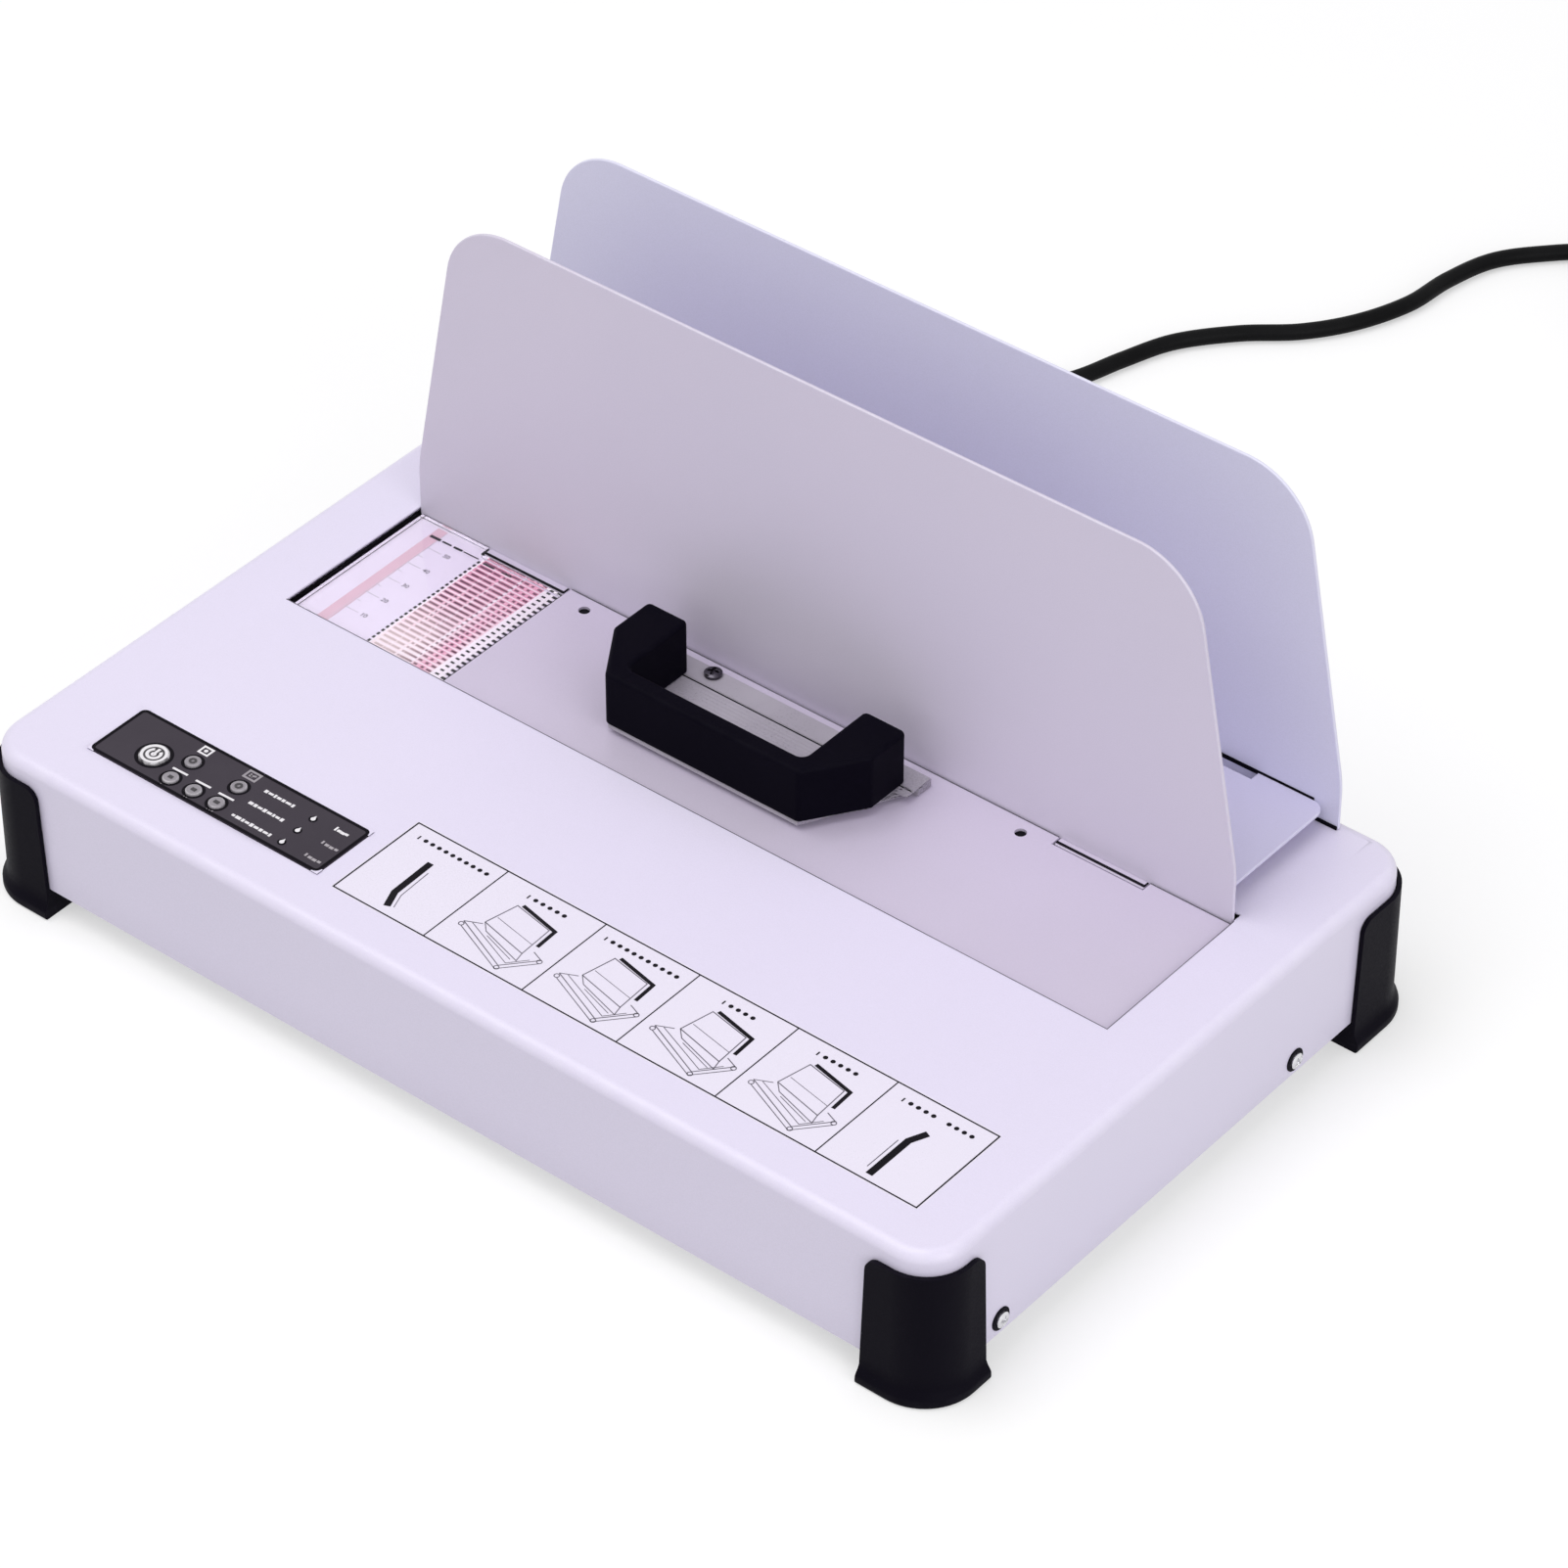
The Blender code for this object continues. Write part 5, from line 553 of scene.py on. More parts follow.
# Mains lead: the route is the one that the model was made with
CORD_DIAMETER = 0.0060
CORD_RADIUS = CORD_DIAMETER / 2
CORD_LIE = CORD_RADIUS + 0.0001
CORD_GAP = 0.0003
CORD_EXIT = (-0.120, 0.1496, 0.033)
CORD_ROUTE = [
    (-0.1200, 0.1556, 0.0330), (-0.1200, 0.1640, 0.0326), (-0.1190, 0.1800, 0.0272), (-0.1172, 0.1965, 0.0180),
    (-0.1148, 0.2120, 0.0100), (-0.1120, 0.2265, 0.0050), (-0.1090, 0.2410, CORD_LIE), (-0.1053, 0.2590, CORD_LIE),
    (-0.1007, 0.2785, CORD_LIE), (-0.0947, 0.2982, CORD_LIE), (-0.0867, 0.3171, CORD_LIE),
    (-0.0817, 0.3341, CORD_LIE), (-0.0742, 0.3541, CORD_LIE), (-0.0597, 0.3726, CORD_LIE),
    (-0.0432, 0.3876, CORD_LIE), (-0.0312, 0.4051, CORD_LIE), (-0.0234, 0.4261, CORD_LIE),
    (-0.0212, 0.4471, CORD_LIE), (-0.0152, 0.4681, CORD_LIE), (-0.0007, 0.4861, CORD_LIE), (0.0160, 0.5010, 0.0035),
]
COIL_TURN_IN, COIL_TURN_OUT = 2.60, 2.65
COIL_INNER_RADIUS, COIL_PITCH = 0.0240, 0.0066
COIL_LAYER_RISE, COIL_LIFT = 0.0065, 0.0014
COIL_START = np.array([0.0400, 0.5250])
COIL_START_ANGLE = math.radians(129.3)
COIL_LEAD_IN, COIL_LEAD_OUT = 0.0060, 0.0300
COIL_STEPS = 56


def coil_route():
    """The coil's middle line: at turn t the radius is inner + pitch |t - turns in|, the angle runs clockwise, and the
    height climbs one layer in the half turn where the spiral reverses."""
    total = COIL_TURN_IN + COIL_TURN_OUT
    turn = np.linspace(0, total, int(round(total * COIL_STEPS)) + 1)
    outward = np.array([math.cos(COIL_START_ANGLE), math.sin(COIL_START_ANGLE)])
    heading = np.array([outward[1], -outward[0]])
    centre = COIL_START + heading * COIL_LEAD_IN - outward * (COIL_INNER_RADIUS + COIL_PITCH * COIL_TURN_IN)
    radius = COIL_INNER_RADIUS + COIL_PITCH * np.abs(turn - COIL_TURN_IN)
    angle = COIL_START_ANGLE - 2 * np.pi * turn
    climb = np.clip((turn - COIL_TURN_IN) * 2 + 0.5, 0, 1)
    low = COIL_LIFT + CORD_RADIUS
    turns = np.stack([centre[0] + radius * np.cos(angle), centre[1] + radius * np.sin(angle),
                      low + COIL_LAYER_RISE * climb], axis=1)
    leave = np.array([math.sin(angle[-1]), -math.cos(angle[-1]), 0.0])
    tail = turns[-1] + leave * COIL_LEAD_OUT * np.array([[0.5], [1.0]])
    return np.vstack([[*COIL_START, low], turns, tail]), leave, centre


def smooth_line(points, step):
    """A curve through the points, on each stretch the cubic that keeps the slope of its neighbours, at even steps."""
    given = np.array(points, float)
    padded = np.vstack([2 * given[0] - given[1], given, 2 * given[-1] - given[-2]])
    a, b, c, d = (padded[i:len(padded) - 3 + i, None] for i in range(4))
    t = np.linspace(0, 1, 24, endpoint=False)[None, :, None]
    line = (2 * b + (c - a) * t + (2 * a - 5 * b + 4 * c - d) * t**2 + (3 * b - a - 3 * c + d) * t**3) / 2
    line = np.vstack([line.reshape(-1, 3), given[-1:]])
    along = np.concatenate([[0], np.cumsum(np.linalg.norm(np.diff(line, axis=0), axis=1))])
    even = np.linspace(0, along[-1], int(round(along[-1] / step)) + 1)
    return np.stack([np.interp(even, along, line[:, axis]) for axis in range(3)], axis=1), float(along[-1])


def tube_grid(path, radius, sides):
    """A tube: at each point of the path a circle in the plane across it, from a level side arm and its upright."""
    ahead = np.gradient(path, axis=0)
    ahead /= np.linalg.norm(ahead, axis=1, keepdims=True)
    side = np.cross(ahead, [0.0, 0.0, 1.0])
    side /= np.linalg.norm(side, axis=1, keepdims=True)
    upright = np.cross(side, ahead)
    angle = np.linspace(0, 2 * np.pi, sides, endpoint=False)
    ring = (side[:, None] * np.cos(angle)[None, :, None] + upright[:, None] * np.sin(angle)[None, :, None]) * radius
    faces = grid_faces(len(path), sides, wrap_columns=True).tolist()
    last = (len(path) - 1) * sides
    return path[:, None] + ring, faces + [list(range(sides)), list(range(last, last + sides))]


def make_lead():
    """The mains lead from its strain relief to its plug, with the part that is put away in a coil."""
    coil, heading, _ = coil_route()
    inward = coil[1] - coil[0]
    inward /= np.linalg.norm(inward)
    meet = coil[0] - inward * CORD_GAP
    free = [CORD_EXIT, *CORD_ROUTE, tuple(meet - inward * CORD_DIAMETER)]
    path, length = smooth_line([*free, *coil], 0.0020)
    points, faces = tube_grid(path, CORD_RADIUS, 18)
    lead = piece("mains_lead", points, faces, "base", LEAD_RUBBER, ("cord", "cord_coil"), "lead_rubber", sharp=60)
    return lead, path, length, heading


LEAD, LEAD_PATH, LEAD_LENGTH, PLUG_HEADING = make_lead()
print(f"lead {LEAD_LENGTH:.4f} m")


# Case: the painted skin, its feet and its screws
CASE_LOW, CASE_HIGH = (np.array(corner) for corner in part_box("case_shell"))
HALF_WIDTH, HALF_DEPTH, TABLE = float(CASE_HIGH[0]), float(CASE_HIGH[1]), float(CASE_HIGH[2])
CASE_CORNER = 0.015
CASE_EDGE = 0.004
SHEET = 0.0012
OPENING_HALF = 0.165
OPENING_FRONT, OPENING_REAR = -0.0052, 0.0620
PANEL_LOW, PANEL_HIGH = (np.array(corner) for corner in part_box("control_panel"))
PANEL_GAP = 0.0003


def case_path(stops_x, stops_y, corner_steps=12):
    """A rounded rectangle as points and outward arms: straight sides with stops on them, and quarter circles."""
    places, arms = [], []
    sides = (((0, -1), (1, 0), stops_x), ((1, 0), (0, 1), stops_y), ((0, 1), (-1, 0), stops_x), ((-1, 0), (0, -1), stops_y))
    half = np.array([HALF_WIDTH, HALF_DEPTH])
    for out, ahead, stops in sides:
        out, ahead = np.array(out, float), np.array(ahead, float)
        along = np.sort(np.array([ahead @ np.array([s, s]) for s in stops]))
        reach = abs(ahead @ half) - CASE_CORNER
        along = np.unique(np.round(np.clip(np.concatenate([[-reach, reach], along]), -reach, reach), 7))
        places.append(out * abs(out @ half) + ahead * along[:, None])
        arms.append(np.broadcast_to(out, (len(along), 2)))
        turn = np.linspace(0, np.pi / 2, corner_steps + 1)[1:-1, None]
        arm = out * np.cos(turn) + ahead * np.sin(turn)
        middle = out * (abs(out @ half) - CASE_CORNER) + ahead * reach
        places.append(middle + arm * CASE_CORNER)
        arms.append(arm)
    return np.vstack(places), np.vstack(arms)


def case_top(xs, ys, holes, corner_steps=12):
    """The flat top: a grid of cells on the stops less those in the holes and in the four corner squares, and in
    each corner a fan of triangles to the quarter circle."""
    inner = np.array([HALF_WIDTH - CASE_CORNER, HALF_DEPTH - CASE_CORNER])
    grid = np.stack(np.meshgrid(xs, ys), axis=-1)
    middle = (grid[:-1, :-1] + grid[1:, 1:]) / 2
    keep = ~np.all(np.abs(middle) > inner, axis=-1)
    for low_x, low_y, high_x, high_y in holes:
        inside = (middle[..., 0] > low_x) & (middle[..., 0] < high_x)
        keep &= ~(inside & (middle[..., 1] > low_y) & (middle[..., 1] < high_y))
    level = np.full((len(ys), len(xs), 1), TABLE)
    parts = [(np.concatenate([grid, level], axis=2), grid_faces(len(ys), len(xs), keep=keep))]
    turn = np.linspace(0, np.pi / 2, corner_steps + 1)
    arc = np.stack([np.cos(turn), np.sin(turn)], axis=1) * (CASE_CORNER - CASE_EDGE)
    count = np.arange(1, corner_steps + 1)
    fan = np.stack([np.zeros_like(count), count, count + 1], axis=1)
    for sign in ((1, 1), (-1, 1), (-1, -1), (1, -1)):
        flat = np.vstack([inner, inner + arc]) * sign
        points = np.hstack([flat, np.full((len(flat), 1), TABLE)])
        parts.append((points, fan if sign[0] * sign[1] > 0 else fan[:, ::-1]))
    return joined(*parts)


def make_case_skin():
    """The case's skin: a profile of a straight wall and a quarter circle carried along a rounded rectangle, less the
    cells of the switch and of the lead, with the flat top's cells inside it, then made as thick as sheet."""
    switch_low, switch_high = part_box("switch_housing")
    relief_low, relief_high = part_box("strain_relief")
    switch_x, lead_x = (switch_low[0] + switch_high[0]) / 2, (relief_low[0] + relief_high[0]) / 2
    level = (relief_low[2] + relief_high[2]) / 2
    cuts = [(switch_x, 0.0066, 0.0098), (lead_x, 0.0052, 0.0052)]
    slot_half = float(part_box("rear_plate_clamp")[1][0]) + 0.0045
    slot_front, slot_rear = float(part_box("rear_plate")[0][1]) - 0.0005, HALF_DEPTH - CASE_EDGE - 0.00005
    panel = [PANEL_LOW[0] - PANEL_GAP, PANEL_LOW[1] - PANEL_GAP, PANEL_HIGH[0] + PANEL_GAP, PANEL_HIGH[1] + PANEL_GAP]
    holes = [(-OPENING_HALF, OPENING_FRONT, OPENING_HALF, OPENING_REAR), (-slot_half, slot_front, slot_half, slot_rear),
             panel]
    inner_x, inner_y = HALF_WIDTH - CASE_CORNER, HALF_DEPTH - CASE_CORNER
    edge_x, edge_y = HALF_WIDTH - CASE_EDGE, HALF_DEPTH - CASE_EDGE
    xs = [x for hole in holes for x in (hole[0], hole[2])] + [x + side * wide for x, wide, _ in cuts for side in (-1, 1)]
    ys = [y for hole in holes for y in (hole[1], hole[3])]
    xs = np.unique(np.round(xs + [-edge_x, -inner_x, inner_x, edge_x], 7))
    ys = np.unique(np.round(ys + [-edge_y, -inner_y, inner_y, edge_y], 7))
    place, arm = case_path(xs[np.abs(xs) <= inner_x], ys[np.abs(ys) <= inner_y])
    levels = sorted({float(CASE_LOW[2]), TABLE - CASE_EDGE, *(level + side * tall for _, _, tall in cuts for side in (-1, 1))})
    turn = np.linspace(0, np.pi / 2, 9)[1:]
    inset = np.concatenate([np.zeros(len(levels)), CASE_EDGE * (1 - np.cos(turn))])
    height = np.concatenate([levels, TABLE - CASE_EDGE * (1 - np.sin(turn))])
    flat = place[None] - arm[None] * inset[:, None, None]
    points = np.concatenate([flat, np.broadcast_to(height[:, None, None], (*flat.shape[:2], 1))], axis=2)
    rows, columns = points.shape[:2]
    after = np.roll(points, -1, axis=1)
    middle = (points[:-1] + points[1:] + after[:-1] + after[1:]) / 4
    keep = np.ones((rows - 1, columns), bool)
    for x, wide, tall in cuts:
        inside = (np.abs(middle[..., 0] - x) < wide) & (middle[..., 1] > HALF_DEPTH - SHEET)
        keep &= ~(inside & (np.abs(middle[..., 2] - level) < tall))
    wall = (points, grid_faces(rows, columns, wrap_columns=True, keep=keep))
    skin_points, skin_faces = joined(wall, case_top(xs, ys, holes))
    bend = (skin_points[:, 2] > TABLE - CASE_EDGE + 0.0001) & (skin_points[:, 2] < TABLE - 0.0001)
    skin = piece("case_skin", skin_points, skin_faces, "base", CASE_PAINT, ("case_shell",), "case_paint", sharp=50,
                 rim=bend, closed=False)
    bm = bmesh.new()
    bm.from_mesh(skin.data)
    bmesh.ops.recalc_face_normals(bm, faces=bm.faces)
    top = max(bm.faces, key=lambda face: face.calc_center_median().z)
    if top.normal.z < 0:
        bmesh.ops.reverse_faces(bm, faces=bm.faces)
    bm.to_mesh(skin.data)
    bm.free()
    thick = skin.modifiers.new("sheet", "SOLIDIFY")
    thick.thickness = SHEET
    thick.offset = -1
    thick.use_even_offset = True
    even_normals(skin)
    return skin


make_case_skin()


FOOT_WALL = 0.0015
FOOT_GAP = 0.0003
FOOT_FLARE = 0.0018
FOOT_DRAFT = 0.0020
FOOT_TOP_RADIUS = 0.0045
FOOT_FADE = 0.0068


def make_foot(side_x, side_y):
    """A corner foot: one closed section per height, outside a quarter circle with two straight legs that flares at
    the floor, inside the case's own corner above its lower edge and a square corner below it. The legs draw back
    along a quarter circle at the top."""
    name = f"foot_{'front' if side_y < 0 else 'rear'}_{'left' if side_x < 0 else 'right'}"
    low, high = (np.array(corner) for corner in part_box(name))
    top = float(high[2])
    skin = FOOT_WALL + FOOT_GAP
    leg_x, leg_y = 0.0280, 0.0250 if side_y < 0 else 0.0330
    lip = 0.0006
    turn = np.linspace(0, np.pi / 2, 9)
    block = float(CASE_LOW[2]) - FOOT_GAP
    lower = [(0.0, FOOT_FLARE - 0.0008, 0.0), (0.0005, FOOT_FLARE - 0.0002, 0.0), (0.0012, FOOT_FLARE, 0.0),
             (0.0030, FOOT_FLARE, 0.0), (0.0038, FOOT_FLARE * 0.86, 0.0), (0.0052, FOOT_FLARE * 0.35, 0.0),
             (FOOT_FADE, 0.0, 0.0), (block, 0.0, 0.0)]
    upper = [(block, 0.0, 0.0), (0.5 * (block + top), 0.0, 0.0)]
    upper += [(top - FOOT_TOP_RADIUS * (1 - math.sin(t)) - (lip if t == turn[-1] else 0) * 0, 0.0,
               FOOT_TOP_RADIUS * (1 - math.cos(t))) for t in turn]
    corner = np.linspace(0, np.pi / 2, 17)
    middle = np.array([HALF_WIDTH - CASE_CORNER, HALF_DEPTH - CASE_CORNER])
    arc = np.stack([np.cos(corner), np.sin(corner)], axis=1)

    def section(height, grow, back, solid):
        """The outer path, then the inner path back again, at one height."""
        draft = back + FOOT_DRAFT * height / top
        end_x, end_y = HALF_WIDTH + skin - leg_x + draft, HALF_DEPTH + skin - leg_y + draft
        reach = skin + grow
        outer = np.vstack([[HALF_WIDTH + reach, end_y], middle + arc * (CASE_CORNER + reach), [end_x, HALF_DEPTH + reach]])
        if solid:
            share = np.linspace(0, 1, len(outer))[:, None]
            first, second, third = np.array([end_x, HALF_DEPTH + reach]), np.array([end_x, end_y]), np.array([HALF_WIDTH + reach, end_y])
            inner = np.where(share < 0.5, first + (second - first) * 2 * share, second + (third - second) * (2 * share - 1))
            inner[0] += (second - first) * 0.02
            inner[-1] += (second - third) * 0.02
        else:
            inner = np.vstack([[end_x, HALF_DEPTH + FOOT_GAP], (middle + arc * (CASE_CORNER + FOOT_GAP))[::-1],
                               [HALF_WIDTH + FOOT_GAP, end_y]])
        ring = np.vstack([outer, inner])
        return np.hstack([ring, np.full((len(ring), 1), height)])

    rings = np.stack([section(*level, True) for level in lower] + [section(*level, False) for level in upper])
    rings *= np.array([side_x, side_y, 1.0])
    rows, count = rings.shape[:2]
    faces = grid_faces(rows, count, wrap_columns=True).tolist()
    faces += [list(range(count)), list(range((rows - 1) * count, rows * count))]
    wear = np.zeros((rows, count))
    wear[2:4] = 1.0
    wear[-2:] = 1.0
    foot = piece("corner_" + name, rings, faces, "base", BLACK_PLASTIC_AND_SHADE, (name,), "black_plastic", sharp=42, rim=wear)
    soft = foot.modifiers.new("soft_edges", "BEVEL")
    soft.width = 0.0005
    soft.segments = 2
    soft.limit_method = "ANGLE"
    soft.angle_limit = math.radians(55)
    even_normals(foot)
    return foot


for side_y in (-1, 1):
    for side_x in (-1, 1):
        make_foot(side_x, side_y)


def screw_surface(radius, height, cross_length, cross_width, depth, rows=22, sides=72):
    """A pan head with a cross recess on a polar grid: the height is a flat dome h(1 - 0.45 r^3), less the recess's
    depth where either arm of the cross holds the point, with slanted walls; the skirt goes straight down."""
    share = np.linspace(0, 1, rows)[:, None]
    angle = np.linspace(0, 2 * np.pi, sides, endpoint=False)[None]
    x, y = radius * share * np.cos(angle), radius * share * np.sin(angle)
    dome = height * (1 - 0.45 * share**3) * np.ones_like(x)

    def inside(across, along):
        """One where a point lies within an arm, falling to nothing over a slanted wall."""
        wall = 0.00018
        return np.clip((cross_width - np.abs(across)) / wall + 0.5, 0, 1) * np.clip((cross_length - np.abs(along)) / wall + 0.5, 0, 1)

    recess = np.maximum(inside(x, y), inside(y, x))
    cap = np.stack([x, y, dome - depth * recess], axis=2)
    skirt = np.stack([x[-1:], y[-1:], np.zeros((1, sides))], axis=2)
    inner = np.stack([x[:1] * 0, y[:1] * 0, np.zeros((1, sides))], axis=2)
    points = np.concatenate([cap, skirt, inner])
    wear = np.concatenate([np.broadcast_to(np.clip(share * 2 - 1, 0, 1), (rows, sides)), np.zeros((2, sides))])
    return points, grid_faces(rows + 2, sides, wrap_columns=True), wear


def make_screws():
    """The case's four side screws with dark washers, and the handle's two base screws."""
    for side, label in ((-1, "left"), (1, "right")):
        for end in ("front", "rear"):
            node = f"case_screw_{end}_{label}"
            low, high = (np.array(corner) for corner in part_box(node))
            centre = (low + high) / 2
            face = side * (HALF_WIDTH + 0.0003)
            points, faces, wear = screw_surface(0.0027, 0.0015, 0.0017, 0.00038, 0.0008)
            turn = math.radians(25 if end == "front" else 62)
            along = (0, math.sin(turn), math.cos(turn))
            across = np.cross(along, (side, 0, 0))
            head = place_points(points.reshape(-1, 3), (face, centre[1], centre[2]), across, along)
            piece("screw_head_" + end + "_" + label, head, faces, "base", BRIGHT_STEEL, (node,), "bright_steel", rim=wear)
            ring, ring_faces = turned_grid([(0.0021, 0.0), (0.0021, 0.0004), (0.0038, 0.0004), (0.0040, 0.0002), (0.0040, 0.0), (0.0021, 0.0)],
                                           40, (face - side * 0.00025, centre[1], centre[2]), across, along)
            piece("screw_washer_" + end + "_" + label, ring, ring_faces, "base", BLACK_PLASTIC_AND_SHADE)
    for label in ("left", "right"):
        node = "handle_screw_" + label
        low, high = (np.array(corner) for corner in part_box(node))
        centre = (low + high) / 2
        points, faces, wear = screw_surface(0.0030, 0.0016, 0.0019, 0.00042, 0.0009)
        turn = math.radians(20 if label == "left" else 70)
        head = place_points(points.reshape(-1, 3), (centre[0], centre[1], low[2]), (math.cos(turn), math.sin(turn), 0),
                            (-math.sin(turn), math.cos(turn), 0))
        piece("base_screw_" + label, head, faces, "carriage", DARK_STEEL, (node,), "bright_steel", rim=wear)


make_screws()


# Plates and shelf
PLATE_STRAIGHT, PLATE_HEIGHT, PLATE_SHOULDER, PLATE_TAPER, PLATE_CORNER = 0.018, 0.1233, 0.104, 0.0164, 0.026
TAB_INNER, TAB_OUTER = 0.0990, 0.1340


def plate_outline(half_foot, foot, below):
    """A clamp plate's outline: upright feet, slanted sides and two round shoulders, over what goes down below."""
    lean = PLATE_TAPER / (PLATE_SHOULDER - PLATE_STRAIGHT)
    half_top = half_foot - lean * (PLATE_HEIGHT - PLATE_STRAIGHT)
    straight, top = TABLE + PLATE_STRAIGHT, TABLE + PLATE_HEIGHT
    corners = [(half_foot, foot, 0), (half_foot, straight, 2 * PLATE_CORNER), (half_top, top, PLATE_CORNER),
               (-half_top, top, PLATE_CORNER), (-half_foot, straight, 2 * PLATE_CORNER), (-half_foot, foot, 0)]
    return rounded_outline(corners + below, 20)


def standing(points):
    """Turns a lying slab (x, z, thickness) into a standing one (x, y, z), its upper face to the front."""
    return np.stack([points[..., 0], -points[..., 2], points[..., 1]], axis=-1)


def make_plates():
    """Both clamp plates as slabs of sheet with rounded rims; the front one has two foot tabs bent into the cover, in
    the cover's paint, which is partly painted shade, with a black strip of painted shade along each bend; black strips
    at the rear one's foot are painted shadow.
    """
    low, high = (np.array(corner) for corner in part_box("front_plate"))
    foot = float(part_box("slide_cover")[1][2]) - 0.0010
    skirt_half = 0.150
    outline = plate_outline(float(high[0]), foot, [(-skirt_half, foot, 0), (-skirt_half, float(low[2]), 0),
                                                   (skirt_half, float(low[2]), 0), (skirt_half, foot, 0)])
    points, faces, wear = slab(outline, -float(high[1]), -float(low[1]), 0.00045, 0.00045)
    piece("clamp_plate_front", standing(points), faces, "carriage", PLATE_PAINT, ("front_plate",), "plate_paint",
          rim=wear, settle=True)
    tab_rear = float(low[1]) - 0.0001
    # Each tab takes the cover's darker paint instead of the plate paint, and a black strip along its front edge and
    # outer side: both painted shade of the bend.
    for side in (-1, 1):
        near = sorted((side * (TAB_INNER + 0.0005), side * (TAB_OUTER - 0.0005)))
        level = (foot + 0.0001, foot + 0.0008) if side > 0 else (0.0550, 0.0561)
        tab = rounded_outline([(near[0], tab_rear - 0.0036, 0.0005), (near[1], tab_rear - 0.0036, 0.0005),
                               (near[1], tab_rear, 0), (near[0], tab_rear, 0)], 4)
        points, faces, wear = slab(tab, *level, 0.0001, 0.00025)
        piece("plate_tab_" + ("left" if side < 0 else "right"), points, faces, "carriage", COVER_PAINT_AND_SHADE,
              slot="plate_paint", rim=wear, settle=True)
        front = tab_rear - (0.0036 if side < 0 else 0.0030)
        end = near[1] - 0.0007
        fold_shade = slab(rounded_outline([(near[0], front, 0.0002), (near[1], front, 0.0004), (near[1], tab_rear - 0.0004, 0.0002),
                                     (end, tab_rear - 0.0004, 0), (end, front + 0.0011, 0), (near[0], front + 0.0011, 0)], 4),
                    level[1] + 0.00004, level[1] + 0.00016, 0.00002, 0.00002)
        piece("tab_fold_painted_shade_" + ("left" if side < 0 else "right"), *fold_shade[:2], "carriage", BLACK_INK_AND_SHADE)
    low, high = (np.array(corner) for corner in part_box("rear_plate"))
    foot = TABLE + 0.0003
    tongue = float(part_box("rear_plate_clamp")[1][0]) + 0.004
    outline = plate_outline(float(high[0]), foot, [(-tongue, foot, 0), (-tongue, float(low[2]), 0),
                                                   (tongue, float(low[2]), 0), (tongue, foot, 0)])
    points, faces, wear = slab(outline, -float(high[1]), -float(low[1]), 0.00045, 0.00045)
    piece("clamp_plate_rear", standing(points), faces, "base", REAR_PAINT_AND_LIGHT, ("rear_plate",), "plate_paint",
          rim=wear, settle=True)
    # Black strips behind the shelf's rear edge and along the rear plate's foot beyond it: painted shadow of the gap
    # under the shelf and at the plate's foot.
    shelf_high = np.array(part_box("rest_shelf")[1])
    face = float(low[1]) - 0.00005
    shadow_strips = [box_grid((-float(shelf_high[0]) + 0.005, face - 0.0002, float(shelf_high[2]) - 0.0010),
                       (float(shelf_high[0]) - 0.005, face, float(shelf_high[2]) + 0.0006))]
    for side in (-1, 1):
        x = sorted((side * (float(shelf_high[0]) - 0.0040), side * (float(high[0]) - 0.0004)))
        shadow_strips.append(box_grid((x[0], face - 0.0005, TABLE + 0.0001), (x[1], face, TABLE + 0.0013)))
    piece("rear_plate_seal", *joined(*shadow_strips), "base", BLACK_PLASTIC_AND_SHADE)


make_plates()


def make_shelf():
    """The raised shelf: a slab with two notches in its rear edge, a lip in front and a tab in each notch."""
    low, high = (np.array(corner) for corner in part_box("rest_shelf"))
    half, top, rear = float(high[0]), float(high[2]), float(high[1])
    notch = rear - 0.0038
    corners = [(-half, float(low[1]), 0), (half, float(low[1]), 0), (half, rear, 0.005)]
    for side in (1, -1):
        steps = [(TAB_OUTER, rear), (TAB_OUTER, notch), (TAB_INNER, notch), (TAB_INNER, rear)]
        corners += [(side * x, y, 0) for x, y in (steps if side > 0 else steps[::-1])]
    corners.append((-half, rear, 0.005))
    points, faces, wear = slab(rounded_outline(corners), top - SHEET, top, 0.0002, 0.0004)
    count = points.shape[0] * points.shape[1]
    lip = slab(rounded_outline([(-half + 0.004, float(low[1]) + 0.0001, 0), (half - 0.004, float(low[1]) + 0.0001, 0),
                                (half - 0.004, float(low[1]) + SHEET, 0), (-half + 0.004, float(low[1]) + SHEET, 0)]),
               float(low[2]), top - SHEET / 2, 0.0001, 0.0001)
    shapes = [(points, faces), lip[:2]]
    for side in (-1, 1):
        near = sorted((side * (TAB_INNER + 0.0004), side * (TAB_OUTER - 0.0004)))
        tab = slab(rounded_outline([(near[0], notch - SHEET, 0), (near[1], notch - SHEET, 0), (near[1], notch - 0.0001, 0),
                                    (near[0], notch - 0.0001, 0)]), float(low[2]), top - SHEET / 2, 0.0001, 0.0001)
        shapes.append(tab[:2])
    all_points, all_faces = joined(*shapes)
    rim = np.zeros(len(all_points))
    rim[:count] = np.ravel(wear)
    piece("book_shelf", all_points, all_faces, "base", SHELF_PAINT_AND_SHADE, ("rest_shelf",), "case_paint", rim=rim, settle=True)


make_shelf()


# Handle and its base
HANDLE_CENTRE = -0.0035
HANDLE_REAR_HALF, HANDLE_FRONT_HALF, HANDLE_LEG = 0.052, 0.0387, 0.0165
HANDLE_SHOULDER, HANDLE_BAR = 0.029, 0.0067


